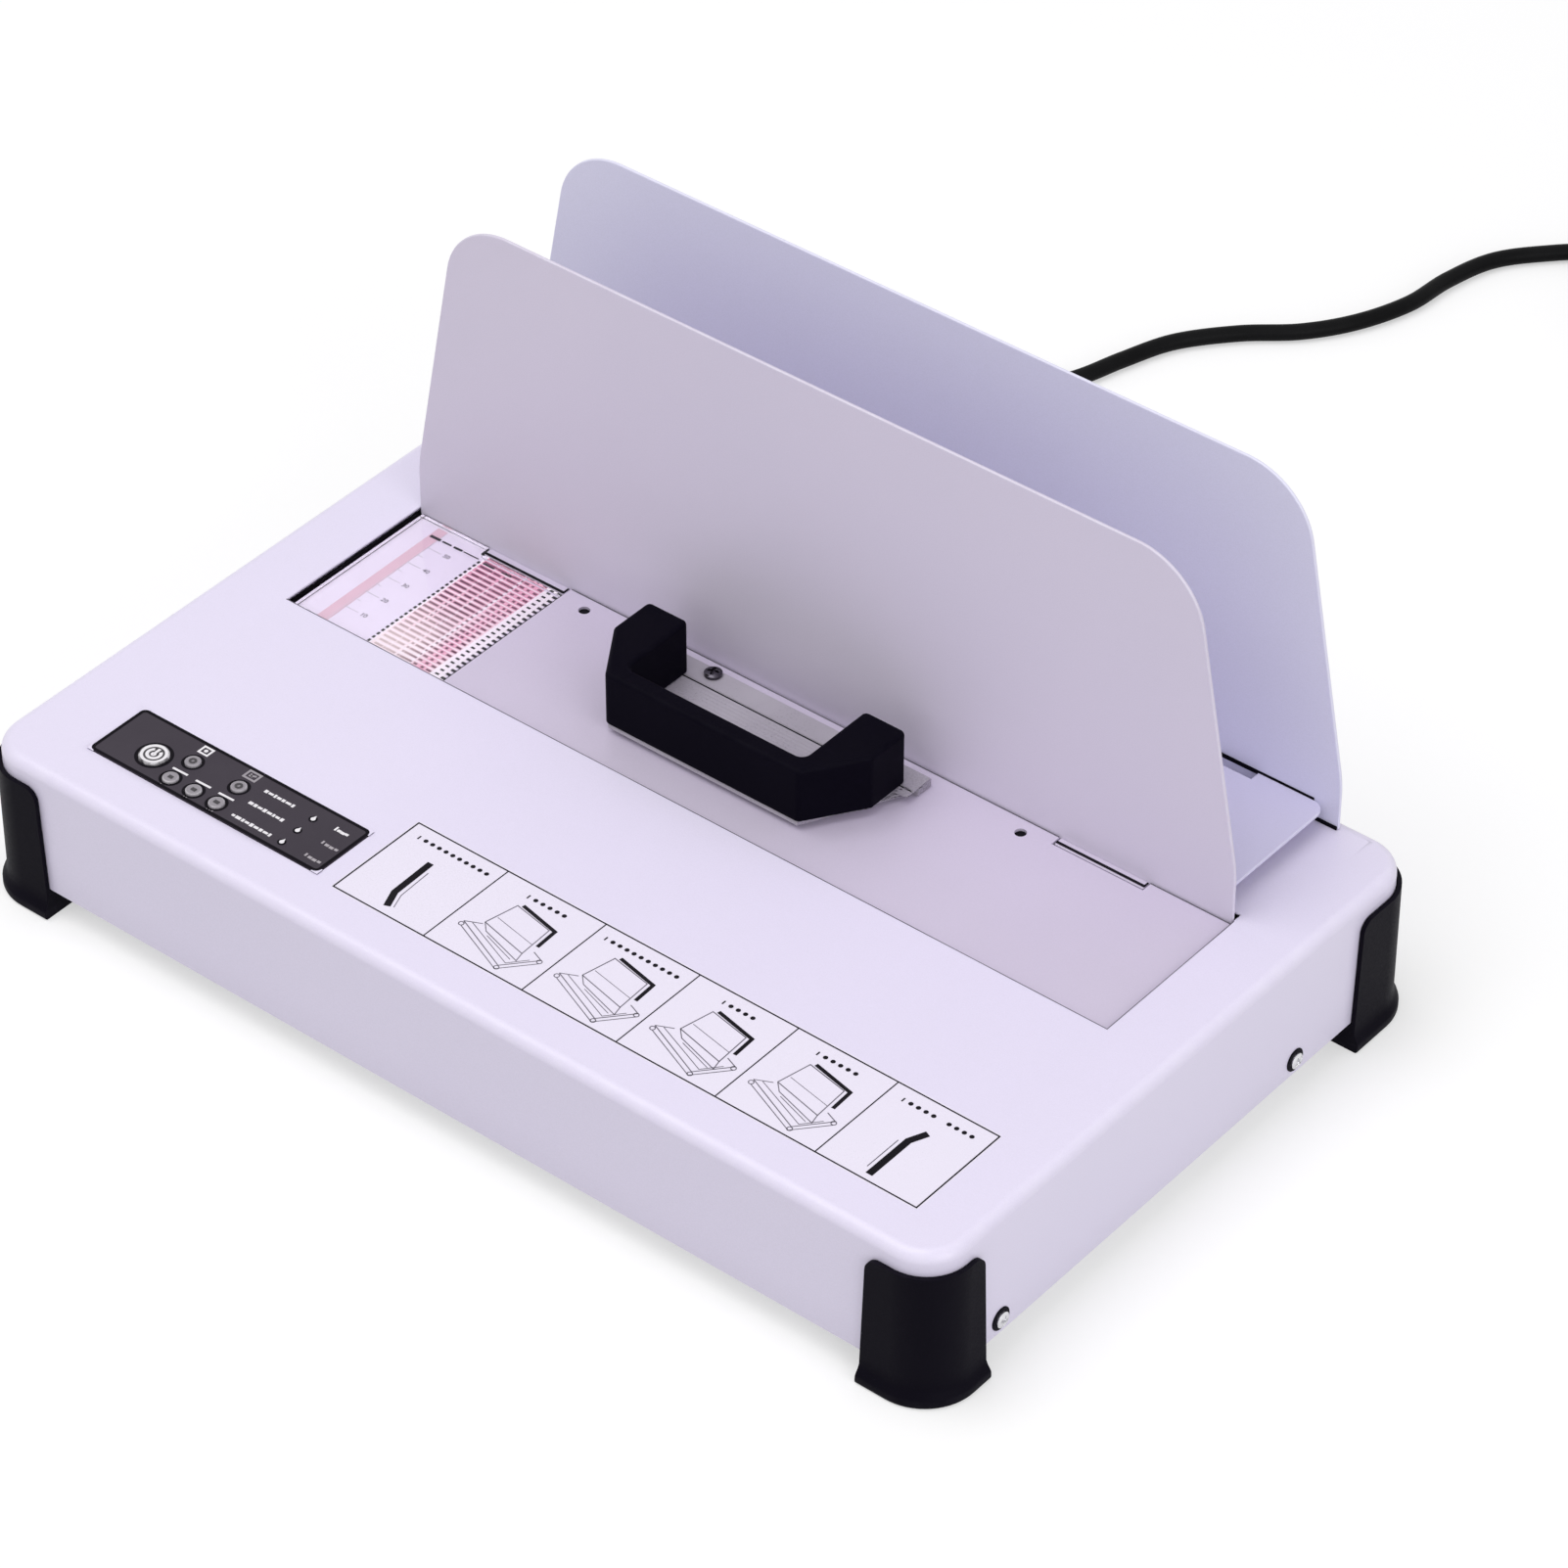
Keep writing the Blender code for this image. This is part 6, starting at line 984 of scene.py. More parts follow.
def make_handle():
    """The bow handle: a hexagonal plan with a bay between its legs, as a slab with a round upper edge."""
    low, high = (np.array(corner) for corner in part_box("handle"))
    front, rear = float(low[1]), float(high[1])
    bay, inner = front + HANDLE_BAR, HANDLE_REAR_HALF - HANDLE_LEG
    half = [(HANDLE_FRONT_HALF, front, 0.0024), (HANDLE_REAR_HALF, HANDLE_SHOULDER, 0.0024),
            (HANDLE_REAR_HALF, rear, 0.0020), (inner, rear, 0.0020), (inner, bay, 0.0030)]
    corners = [(HANDLE_CENTRE + x, y, r) for x, y, r in half] + [(HANDLE_CENTRE - x, y, r) for x, y, r in half[::-1]]
    points, faces, wear = slab(rounded_outline(corners, 6), float(low[2]), float(high[2]), 0.0005, 0.0016, 6)
    return piece("bow_handle", points, faces, "carriage", HANDLE_PLASTIC, ("handle",), "black_plastic", rim=wear,
                 settle=True)


make_handle()


def make_handle_base():
    """The frosted base: a section of fine ribs, a groove and a flat band, carried across on a half width that keeps
    within the handle in front and widens to two ears behind, where it goes down to the cover. A black line in the
    groove is painted shade."""
    low, high = (np.array(corner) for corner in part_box("handle_base"))
    front, rear, top = float(low[1]), float(high[1]), float(high[2])
    under = top - 0.0015
    full, hidden, narrow = float(high[0]) - HANDLE_CENTRE, HANDLE_REAR_HALF - 0.0005, HANDLE_FRONT_HALF - 0.0005
    ear = rear - 0.0125
    groove, rib = 0.0435, 0.0016
    y = np.sort(np.append(np.linspace(front + 0.0003, rear - 0.0003, 240), [ear - 0.0005, ear, HANDLE_SHOULDER]))
    ribs = np.where(y < groove - 0.0008, 0.00013 * (1 - np.cos(2 * np.pi * (y - front) / rib)) / 2, 0.0)
    sink = 0.0006 * np.clip(1 - np.abs(y - groove) / 0.00045, 0, 1) ** 0.5
    upper = np.stack([y, top - ribs - sink], axis=1)
    profile = np.vstack([upper, [[rear, top - 0.0003], [rear, float(low[2])], [rear - 0.0068, float(low[2])],
                                 [rear - 0.0068, under], [front, under], [front, top - 0.0003]]])
    half = np.interp(profile[:, 0], [front, HANDLE_SHOULDER, ear - 0.0005, ear, rear], [narrow, hidden, hidden, full, full])
    across = np.linspace(-1, 1, 5)[:, None]
    points = np.stack([HANDLE_CENTRE + across * half[None], np.broadcast_to(profile[:, 0], (5, len(profile))),
                       np.broadcast_to(profile[:, 1], (5, len(profile)))], axis=2)
    count = len(profile)
    faces = grid_faces(5, count, wrap_columns=True).tolist() + [list(range(count)), list(range(4 * count, 5 * count))]
    piece("handle_base_plate", points, faces, "carriage", FROSTED, ("handle_base",), "frosted_plastic", sharp=50)
    # A black line along the groove across the base: painted shade of the groove.
    line = box_grid((HANDLE_CENTRE - full + 0.001, groove - 0.0003, top - 0.0006),
                    (HANDLE_CENTRE + full - 0.001, groove + 0.0003, top - 0.00025))
    piece("base_groove_painted_shade", *line, "carriage", BLACK_INK_AND_SHADE)


make_handle_base()


# Keys and their panel
KEYS = ("key_power", "key_timer", "key_start", "key_thin", "key_medium", "key_thick")
PANEL_CORNER = 2.2
INK_LIFT = 0.00007
INK_THICKNESS = 0.00004


def make_keys():
    """Each key: a profile with a dished crown, a round shoulder and a hidden flange, turned about its own axis."""
    for name in KEYS:
        low, high = (np.array(corner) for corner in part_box(name))
        centre, top = (low + high) / 2, float(high[2])
        wide = float(high[0] - low[0]) / 2
        radius = wide - 0.0009
        share = np.linspace(0, 0.80, 8)
        crown = np.stack([radius * share, top - 0.00018 * (1 - (share / 0.80) ** 2)], axis=1)
        turn = np.linspace(0, np.pi / 2, 6)[1:]
        edge = radius * (0.10 if name == "key_power" else 0.20)
        shoulder = np.stack([radius - edge * (1 - np.sin(turn)), top - 0.0005 * (1 - np.cos(turn))], axis=1)
        flange = float(low[2]) + 0.0007
        skirt = np.array([[radius, flange], [wide, flange], [wide, float(low[2])], [0, float(low[2])]])
        points, faces = turned_grid(np.vstack([crown, shoulder, skirt]), 56, (centre[0], centre[1], 0))
        wear = np.zeros(points.shape[:2])
        wear[8:13] = 1.0
        dark = name == "key_power"
        piece("cap_" + name, points, faces, name + "_body", KEY_DARK if dark else KEY_PLASTIC, (name,), "key_plastic",
              rim=wear)


make_keys()


# Print: flat shapes in millimetres, each a polygon, laid just above what carries them
def bars(places, length, height, turn=0.0):
    """Rectangles about the given places."""
    corner = np.array([[-0.5, -0.5], [0.5, -0.5], [0.5, 0.5], [-0.5, 0.5]])
    size = np.stack(np.broadcast_arrays(np.asarray(length, float), np.asarray(height, float)), axis=-1)
    local = corner[None] * np.broadcast_to(size, (len(places), 2))[:, None]
    c, s = math.cos(turn), math.sin(turn)
    return list(np.asarray(places, float)[:, None] + local @ np.array([[c, s], [-s, c]]))


def dots(places, radius, sides=16):
    """Round dots about the given places."""
    angle = np.linspace(0, 2 * np.pi, sides, endpoint=False)
    ring = np.stack([np.cos(angle), np.sin(angle)], axis=1) * radius
    return list(np.asarray(places, float)[:, None] + ring[None])


def stroke(points, width, closed=False):
    """A line of one width: a quad on each stretch, whose corners lie along the mitred arms of its points."""
    points = np.asarray(points, float)
    edge = np.diff(np.vstack([points, points[:1]]) if closed else points, axis=0)
    edge = edge / np.linalg.norm(edge, axis=1, keepdims=True)
    normal = np.stack([edge[:, 1], -edge[:, 0]], axis=1)
    before = np.roll(normal, 1, axis=0) if closed else np.vstack([normal[:1], normal])
    after = normal if closed else np.vstack([normal, normal[-1:]])
    arm = (before + after) / np.clip(1 + np.sum(before * after, axis=1, keepdims=True), 0.4, 2) * width / 2
    outer, inner = points + arm, points - arm
    if closed:
        outer, inner = np.vstack([outer, outer[:1]]), np.vstack([inner, inner[:1]])
    return list(np.stack([outer[:-1], outer[1:], inner[1:], inner[:-1]], axis=1))


def ring(centre, outer, inner, sides=40, start=0.0, end=360.0):
    """A ring, or a part of one, as quads between two circles."""
    angle = np.radians(np.linspace(start, end, sides + 1))
    arm = np.stack([np.cos(angle), np.sin(angle)], axis=1)
    big, small = np.array(centre) + arm * outer, np.array(centre) + arm * inner
    return list(np.stack([big[:-1], big[1:], small[1:], small[:-1]], axis=1))


def print_on(name, shapes, level, body, material, lift=INK_LIFT):
    """The shapes as one flat piece at a level, facing up, with the thickness of a printed film."""
    sizes = [len(shape) for shape in shapes]
    starts = np.concatenate([[0], np.cumsum(sizes)[:-1]])
    flat = np.vstack(shapes) * MM
    points = np.hstack([flat, np.full((len(flat), 1), level + lift)])
    faces = [list(range(start, start + size)) for start, size in zip(starts, sizes)]
    turned = []
    for face, shape in zip(faces, shapes):
        x, y = np.asarray(shape).T
        turned.append(face if np.sum(x * np.roll(y, -1) - y * np.roll(x, -1)) > 0 else face[::-1])
    obj = piece(name, points, turned, body, material, closed=False)
    obj.data.shade_flat()
    film = obj.modifiers.new("film", "SOLIDIFY")
    film.thickness = INK_THICKNESS
    film.offset = -1
    return obj


def print_panel():
    """The panel's border, black rings of painted shade round the keys, marks, rows of print and lamp drops."""
    level = float(PANEL_HIGH[2])
    left, right = float(PANEL_LOW[0]) / MM, float(PANEL_HIGH[0]) / MM
    front, rear = float(PANEL_LOW[1]) / MM, float(PANEL_HIGH[1]) / MM
    centres = {name: (np.array(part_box(name)[0]) + np.array(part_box(name)[1]))[:2] / 2 / MM for name in KEYS}
    frame_line = rounded_outline([(left + 0.6, front + 0.6, 1.6), (right - 0.6, front + 0.6, 1.6),
                                  (right - 0.6, rear - 0.6, 1.6), (left + 0.6, rear - 0.6, 1.6)], 6)
    turn = np.linspace(0, np.pi / 2, 9)[:, None]
    arc = PANEL_CORNER * (1 - np.hstack([np.cos(turn), np.sin(turn)]))
    out = -1.5 * PANEL_GAP / MM
    fill = np.vstack([[out, out], [out, PANEL_CORNER], arc, [PANEL_CORNER, out]])
    corners = []
    for x, y, along in ((left, front, (1, 1)), (right, front, (-1, 1)), (right, rear, (-1, -1)), (left, rear, (1, -1))):
        corners.append(np.array([x, y]) + fill * along)
    print_on("panel_corners", corners, level, "base", CASE_PAINT, lift=0.00012)
    print_on("panel_border", stroke(frame_line, 1.15, closed=True), level, "base", PANEL_BLACK_AND_SHADE)
    # Black rings round the keys: painted shade of the recess about each key.
    power = centres["key_power"]
    rings = ring(power, 6.25, 5.36, 48)
    for name in KEYS[1:]:
        rings += ring(centres[name], 3.75, 3.02, 32)
    print_on("key_recess_painted_shade", rings, level, "base", PANEL_BLACK_AND_SHADE)
    white = []
    for name in ("key_thin", "key_medium", "key_thick"):
        x, y = centres[name]
        white += stroke([(x - 3.0, y + 4.2), (x + 3.2, y + 4.35)], 0.85)
    x, y = centres["key_timer"]
    white += stroke([(x - 2.4, y + 5.0), (x + 1.2, y + 5.0), (x + 1.2, y + 8.2), (x - 2.4, y + 8.2)], 0.75, closed=True)
    white += dots([(x - 0.6, y + 6.6)], 0.7)
    print_on("panel_white_marks", white, level, "base", WHITE_INK)
    grey = []
    x, y = centres["key_start"]
    grey += stroke([(x - 2.8, y + 5.0), (x + 1.8, y + 5.0), (x + 1.8, y + 8.4), (x - 2.8, y + 8.4)], 0.8, closed=True)
    grey += stroke([(x - 1.6, y + 6.2), (x + 0.8, y + 7.2)], 0.8) + stroke([(x - 1.6, y + 7.4), (x - 0.2, y + 6.0)], 0.5)
    for index, name in enumerate(("key_thin", "key_medium", "key_thick")):
        x, y = centres[name]
        for line in range(index + 1):
            grey += stroke([(x - 0.9 + 1.0 * line, y - 4.6), (x - 0.3 + 1.0 * line, y - 3.3)], 0.42)
    rows = {0: (-104.0, -89.9, -81.5), 1: (-104.0, -87.4, -88.7), 2: (-104.0, -87.2, -96.4)}
    lengths = np.array([1.3, 1.9, 0.9, 1.6, 1.2, 2.1, 1.0, 1.7, 1.3, 1.8])
    heights = np.array([1.7, 1.2, 1.9, 1.3, 1.6, 1.2, 1.8, 1.4, 1.2, 1.6])
    bright = []
    for row, (start, end, y) in rows.items():
        size = np.roll(lengths, 3 * row)
        middle = start + np.cumsum(size + 0.38) - size / 2
        use = middle + size / 2 < end + 0.6
        shapes = bars(np.stack([middle[use], np.full(use.sum(), y)], axis=1), size[use], np.roll(heights, row)[use] * 0.80)
        bright += shapes
    units = {0: (-74.6, -69.0, -81.5), 1: (-73.4, -66.6, -88.9), 2: (-73.4, -66.8, -96.5)}
    for row, (start, end, y) in units.items():
        count = 4
        place = np.linspace(start + 0.6, end - 0.6, count)
        shapes = bars(np.stack([place, np.full(count, y) + np.array([0.3, 0.0, -0.1, 0.1])], axis=1),
                      [0.7, 1.5, 1.6, 1.3], [1.9 if row == 0 else 1.4, 1.1, 1.1, 1.0])
        if row == 0:
            bright += shapes
        else:
            grey += shapes
    print_on("panel_print_bright", bright, level, "base", WHITE_INK)
    print_on("panel_print_grey", grey, level, "base", GREY_INK)
    low, high = (np.array(corner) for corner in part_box("lamp_bar"))
    lamp_x = float(low[0] + high[0]) / 2 / MM
    masks, drops = [], []
    for y in np.linspace(float(low[1]) / MM + 1.8, float(high[1]) / MM - 1.8, 3):
        masks += dots([(lamp_x, y)], 1.45, 24)
        angle = np.radians(np.linspace(125, 415, 17))
        round_side = np.stack([np.cos(angle), np.sin(angle)], axis=1) * 0.82
        drops.append(np.array([lamp_x, y]) + np.vstack([round_side, [[0.0, 1.75]]]))
    print_on("lamp_masks", masks, level, "base", PANEL_BLACK_AND_SHADE, lift=0.00009)
    print_on("lamp_drops", drops, level, "base", WHITE_INK, lift=0.00015)
    top = float(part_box("key_power")[1][2])
    print_on("power_ring", ring(power, 4.45, 3.45, 48), top, "key_power_body", WHITE_INK, lift=0.00002)
    symbol = ring(power, 2.75, 1.65, 28, 125, 415) + bars([power + np.array([0, 1.75])], 1.0, 2.2)
    symbol += ring(power + np.array([0.0, -0.2]), 0.95, 0.15, 16)
    print_on("power_symbol", symbol, top, "key_power_body", WHITE_INK, lift=0.00002)
    for index, name in enumerate(KEYS[1:]):
        spot = centres[name]
        mark = ring(spot, 1.35, 0.55, 20) if index < 2 else bars([spot + np.array([0.1, 0.0])], 1.4 + 0.15 * index, 1.3)
        print_on("mark_" + name, mark, float(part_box(name)[1][2]), name + "_body", KEY_DARK, lift=0.00002)


print_panel()


LABEL_LEFT, LABEL_RIGHT, LABEL_FRONT, LABEL_REAR = -56.5, 169.5, -101.8, -62.8
LABEL_DIVIDERS = (-19.9, 19.4, 56.3, 94.3, 132.0)
LABEL_DOTS = ((-51.7, 2.75, 11), (-7.2, 2.85, 6), (23.6, 2.78, 11), (69.7, 2.80, 5), (105.8, 2.85, 6),
              (137.9, 2.82, 5), (154.9, 2.80, 4))


def machine_drawing(centre, lean):
    """A small line drawing: a low box on round feet with an open stack of sheets standing in it, and a bold spine."""
    x, y = centre
    at = lambda *places: [(x + a, y + b) for a, b in places]
    fine = stroke(at((-15.0, -7.2), (6.6, -16.2), (15.2, -6.4), (11.0, -4.8)), 0.34)
    fine += stroke(at((-14.2, -9.4), (6.8, -18.0), (15.6, -8.0)), 0.30)
    fine += stroke(at((-15.0, -7.2), (-9.6, -4.6)), 0.30) + stroke(at((-12.4, -6.2), (7.6, -14.0), (12.4, -8.4)), 0.26)
    fine += stroke(at((-9.6 + lean, -3.6), (-7.0 + lean, 8.4), (8.0 + lean, 5.6), (8.6 + lean, -7.6), (-9.6 + lean, -3.6)), 0.36)
    fine += stroke(at((-6.6 + lean, -6.6), (-9.6 + lean, -3.6)), 0.30) + stroke(at((-6.6 + lean, -6.6), (9.4 + lean, -11.2), (8.6 + lean, -7.6)), 0.32)
    fine += stroke(at((-5.0 + lean, -8.0), (7.6 + lean, -11.9)), 0.26) + stroke(at((-8.0 + lean, 0.4), (8.2 + lean, -2.6)), 0.22)
    fine += ring((x - 14.8, y - 8.6), 1.0, 0.66, 14) + ring((x + 6.8, y - 17.2), 1.0, 0.66, 14) + ring((x + 15.2, y - 7.2), 1.0, 0.66, 14)
    bold = stroke(at((-5.6 + lean, 9.4), (9.8 + lean, 6.2), (10.2 + lean, -2.4)), 1.30)
    return fine, bold


def print_label():
    """The strip of six printed steps on the case's top: film, outline, dividers, rows of dots and the drawings."""
    film = rounded_outline([(LABEL_LEFT - 0.8, LABEL_FRONT - 0.8, 1.5), (LABEL_RIGHT + 0.8, LABEL_FRONT - 0.8, 1.5),
                            (LABEL_RIGHT + 0.8, LABEL_REAR + 0.8, 1.5), (LABEL_LEFT - 0.8, LABEL_REAR + 0.8, 1.5)], 5)
    print_on("label_film", [film], TABLE, "base", LABEL_FILM, lift=0.00005)
    level = TABLE + 0.00005
    black = stroke([(LABEL_LEFT, LABEL_FRONT), (LABEL_RIGHT, LABEL_FRONT), (LABEL_RIGHT, LABEL_REAR), (LABEL_LEFT, LABEL_REAR)],
                   0.50, closed=True)
    for x in LABEL_DIVIDERS:
        black += stroke([(x, LABEL_FRONT), (x, LABEL_REAR)], 0.40)
    for start, step, count in LABEL_DOTS:
        places = np.stack([start + step * np.arange(count), np.full(count, -68.0)], axis=1)
        lone = start == LABEL_DOTS[-1][0]
        black += dots(places if lone else places[1:], 0.80)
        if not lone:
            black += bars(places[:1], 0.5, 1.7)
    black += stroke([(-37.7, -98.4), (-40.2, -92.0), (-40.7, -75.0)], 2.3)
    black += stroke([(150.1, -99.4), (150.1, -81.0), (152.7, -75.1)], 2.4)
    fine = stroke([(-35.6, -97.6), (-37.6, -92.0), (-38.2, -79.0)], 0.3) + stroke([(147.6, -97.0), (147.6, -82.6)], 0.3)
    for start, end, lean in ((-19.9, 19.4, 0.0), (19.4, 56.3, 0.6), (56.3, 94.3, 1.4), (94.3, 132.0, 0.8)):
        lines, spine = machine_drawing(((start + end) / 2 + 0.2, -81.6), lean)
        fine += lines
        black += spine
    print_on("label_black", black, level, "base", BLACK_INK_AND_SHADE)
    print_on("label_drawings", fine, level, "base", LINE_INK_AND_SHADOW, lift=0.00005)


print_label()


def number_shapes(text, place, height):
    """A number as flat polygons: a text object made a mesh, in millimetres about its place."""
    curve = bpy.data.curves.new("number", "FONT")
    curve.body = text
    curve.size = height
    curve.align_x = "CENTER"
    curve.align_y = "CENTER"
    curve.resolution_u = 3
    source = bpy.data.objects.new("number", curve)
    bpy.context.scene.collection.objects.link(source)
    bpy.context.view_layer.update()
    mesh = bpy.data.meshes.new_from_object(source.evaluated_get(bpy.context.evaluated_depsgraph_get()))
    points = np.empty(len(mesh.vertices) * 3)
    mesh.vertices.foreach_get("co", points)
    flat = points.reshape(-1, 3)[:, :2] + np.array(place)
    shapes = [flat[list(polygon.vertices)] for polygon in mesh.polygons]
    bpy.data.objects.remove(source, do_unlink=True)
    bpy.data.meshes.remove(mesh)
    return shapes


CHART_PITCH = 2.45
SHEET_COVER = 0.0010
PEEP_HOLE_X, PEEP_HOLE_Y = 0.0884, 0.0523


def print_chart():
    """The measuring chart on the paper: a rose band, ticks every ten millimetres with their numbers, a dashed rule,
    and the table of rows along X with its tinted columns and the comb of teeth on its right-hand side."""
    low, high = (np.array(corner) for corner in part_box("scale_sheet"))
    level = float(high[2])
    body = "carriage"
    band = [np.array([(-154.6, -9.0), (-150.2, -9.0), (-151.0, 57.0), (-155.2, 57.0)])]
    print_on("chart_band", band, level, body, BAND_INK)
    pale = []
    dark = []
    for index, y in enumerate((7.0, 17.0, 27.0, 37.0, 47.0)):
        pale += stroke([(-151.0, y), (-145.2, y)], 0.30)
        pale += stroke([(-151.0, y + 5.0), (-148.6, y + 5.0)], 0.24)
        dark += number_shapes(str(10 * (index + 1)), (-142.9, y), 2.6)
    pale += stroke([(-151.0, -9.0), (-151.0, 57.0)], 0.22)
    print_on("chart_ticks", pale, level, body, PALE_INK, lift=0.00009)
    print_on("chart_numbers", dark, level, body, LINE_INK_AND_SHADOW, lift=0.00009)
    rear = stroke([(-154.6, 52.3), (-150.2, 52.4)], 1.25) + stroke([(-149.4, 52.4), (-145.6, 52.5)], 0.8)
    rear += stroke([(-144.6, 52.5), (-141.0, 52.6)], 1.0) + stroke([(-140.4, 52.6), (-134.0, 52.7)], 0.5)
    rear += stroke([(-131.4, 52.3), (-126.6, 52.3)], 1.5) + stroke([(-123.6, 52.3), (-119.4, 52.3)], 1.1)
    rear += bars([(-132.9, y) for y in np.arange(-8.0, 53.0, 2.2)], 0.95, 1.25)
    print_on("chart_bold_marks", rear, level, body, BLACK_INK_AND_SHADE, lift=0.00011)
    print_on("chart_ground", bars([(-117.0, 22.2)], 31.4, 62.2), level, body, CHART_WHITE, lift=0.00005)
    row = np.arange(-8.6, 53.0, CHART_PITCH)
    tints = []
    for y in row:
        tints += bars([(-129.1, y), (-123.6, y), (-118.2, y), (-110.6, y)], [5.4, 5.0, 5.0, 8.2], 2.0)
    print_on("chart_tints", tints, level, body, CHART_TINT, lift=0.00009)
    column = np.array([-129.2, -126.3, -123.6, -120.7, -118.1, -115.2, -113.0, -110.5, -107.9])
    length = np.array([4.0, 0.8, 3.6, 0.9, 3.8, 0.9, 1.7, 1.1, 1.9])
    spot = np.stack(np.meshgrid(column, row), axis=-1)
    down, across = np.arange(len(row))[:, None], np.arange(len(column))[None]
    spot[..., 0] += 0.3 * np.sin(12.9 * down + 4.7 * across)
    size = length * (1 + 0.16 * np.cos(7.3 * down + 2.1 * across))
    print_on("chart_rows", bars(spot.reshape(-1, 2), size.ravel(), 0.95), level, body, CHART_INK, lift=0.00013)
    comb = []
    for y in np.arange(-8.6, 56.0, CHART_PITCH):
        comb += bars([(-101.2, y)], 2.1, 1.15) + bars([(-104.4, y + 0.5)], 1.5, 0.85)
    print_on("chart_comb", comb, level, body, BLACK_INK_AND_SHADE, lift=0.00013)


print_chart()


def make_painted_shade_lines():
    """Painted shade: dark lines of painted shadow at the front plate's foot and along the opening's edge, a black disc
    of painted shade under each peep hole, and a black block of painted shade in the gap along the opening's left edge."""
    low, high = (np.array(corner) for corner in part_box("slide_cover"))
    top, rear = float(high[2]), float(high[1])
    window = float(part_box("scale_window")[1][2])
    line = 0.00035
    # A dark line of painted shadow along the front plate's foot.
    stretches = [(float(low[0]) + 0.0003, -TAB_OUTER, window), (-TAB_INNER + 0.0004, TAB_INNER, top),
                 (TAB_OUTER, float(high[0]) - 0.0003, top)]
    shadow_strips = [box_grid((left, rear - line, level + 0.00004), (right, rear, level + 0.00012))
              for left, right, level in stretches]
    piece("plate_foot_painted_shadow", *joined(*shadow_strips), "carriage", LINE_INK_AND_SHADOW)
    # Dark lines of painted shadow along the opening's front and right edges.
    edges = [(-OPENING_HALF, OPENING_FRONT - 0.0003, OPENING_HALF + 0.0003, OPENING_FRONT),
             (OPENING_HALF, OPENING_FRONT, OPENING_HALF + 0.0003, rear)]
    frame_line = [box_grid((left, front, TABLE + 0.00002), (right, back, TABLE + 0.00008))
                  for left, front, right, back in edges]
    piece("opening_edge_painted_shadow", *joined(*frame_line), "base", LINE_INK_AND_SHADOW)
    under = top - SHEET_COVER
    # Black discs of painted shade under the peep holes.
    for side, label in ((-1, "left"), (1, "right")):
        shade = [(0, under - 0.00010), (0.0032, under - 0.00010), (0.0032, under - 0.00020), (0, under - 0.00020)]
        piece("hole_painted_shade_" + label, *turned_grid(shade, 32, (side * PEEP_HOLE_X, PEEP_HOLE_Y, 0)), "carriage", BLACK_INK_AND_SHADE)
    # A black block of painted shade in the gap along the opening's left edge.
    edge = -OPENING_HALF
    seal = [box_grid((edge - 0.0045, OPENING_FRONT + 0.0003, TABLE - 0.0058), (edge + 0.0016, OPENING_REAR - 0.0010, TABLE - 0.0031)),
            box_grid((edge - 0.0045, OPENING_FRONT + 0.0003, TABLE - 0.0031), (edge - 0.0004, OPENING_REAR - 0.0010, TABLE - SHEET - 0.0001))]
    piece("opening_gap_painted_shade", *joined(*seal), "base", BLACK_INK_AND_SHADE)


make_painted_shade_lines()


# Strain relief, plug and the rocker's marks
def make_relief():
    """The strain relief: a nut inside the wall, a domed collar, then a sleeve whose radius tapers evenly and swells
    by a rib's height on each of its ribs."""
    low, high = (np.array(corner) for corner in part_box("strain_relief"))
    wall, tip = HALF_DEPTH + 0.0003, float(high[1])
    length = tip - wall
    inner = float(low[1]) - wall
    along = np.linspace(0.0034, length, 120)
    share = (along - along[0]) / (along[-1] - along[0])
    swell = 0.00055 * np.clip(1.6 * np.sin(2 * np.pi * share * 7.5) + 0.3, 0, 1) * (1 - 0.3 * share) * (share < 0.94)
    sleeve = np.stack([0.0049 - 0.0012 * share + swell, along], axis=1)
    turn = np.linspace(0, np.pi / 2, 6)
    collar = np.stack([0.0075 - 0.0012 * (1 - np.cos(turn)), 0.0018 + 0.0012 * np.sin(turn)], axis=1)
    profile = np.vstack([[[0, inner], [0.0074, inner], [0.0074, inner + 0.0030], [0.0050, inner + 0.0030], [0.0050, 0.0],
                          [0.0075, 0.0]], collar, [[0.0052, 0.0031]], sleeve, [[0.0031, length], [0, length]]])
    centre = (low + high) / 2
    points, faces = turned_grid(profile, 44, (centre[0], wall, centre[2]), (1, 0, 0), (0, 0, -1))
    return piece("strain_relief_sleeve", points, faces, "base", LEAD_RUBBER, ("strain_relief",), "lead_rubber", sharp=50)


RELIEF = make_relief()


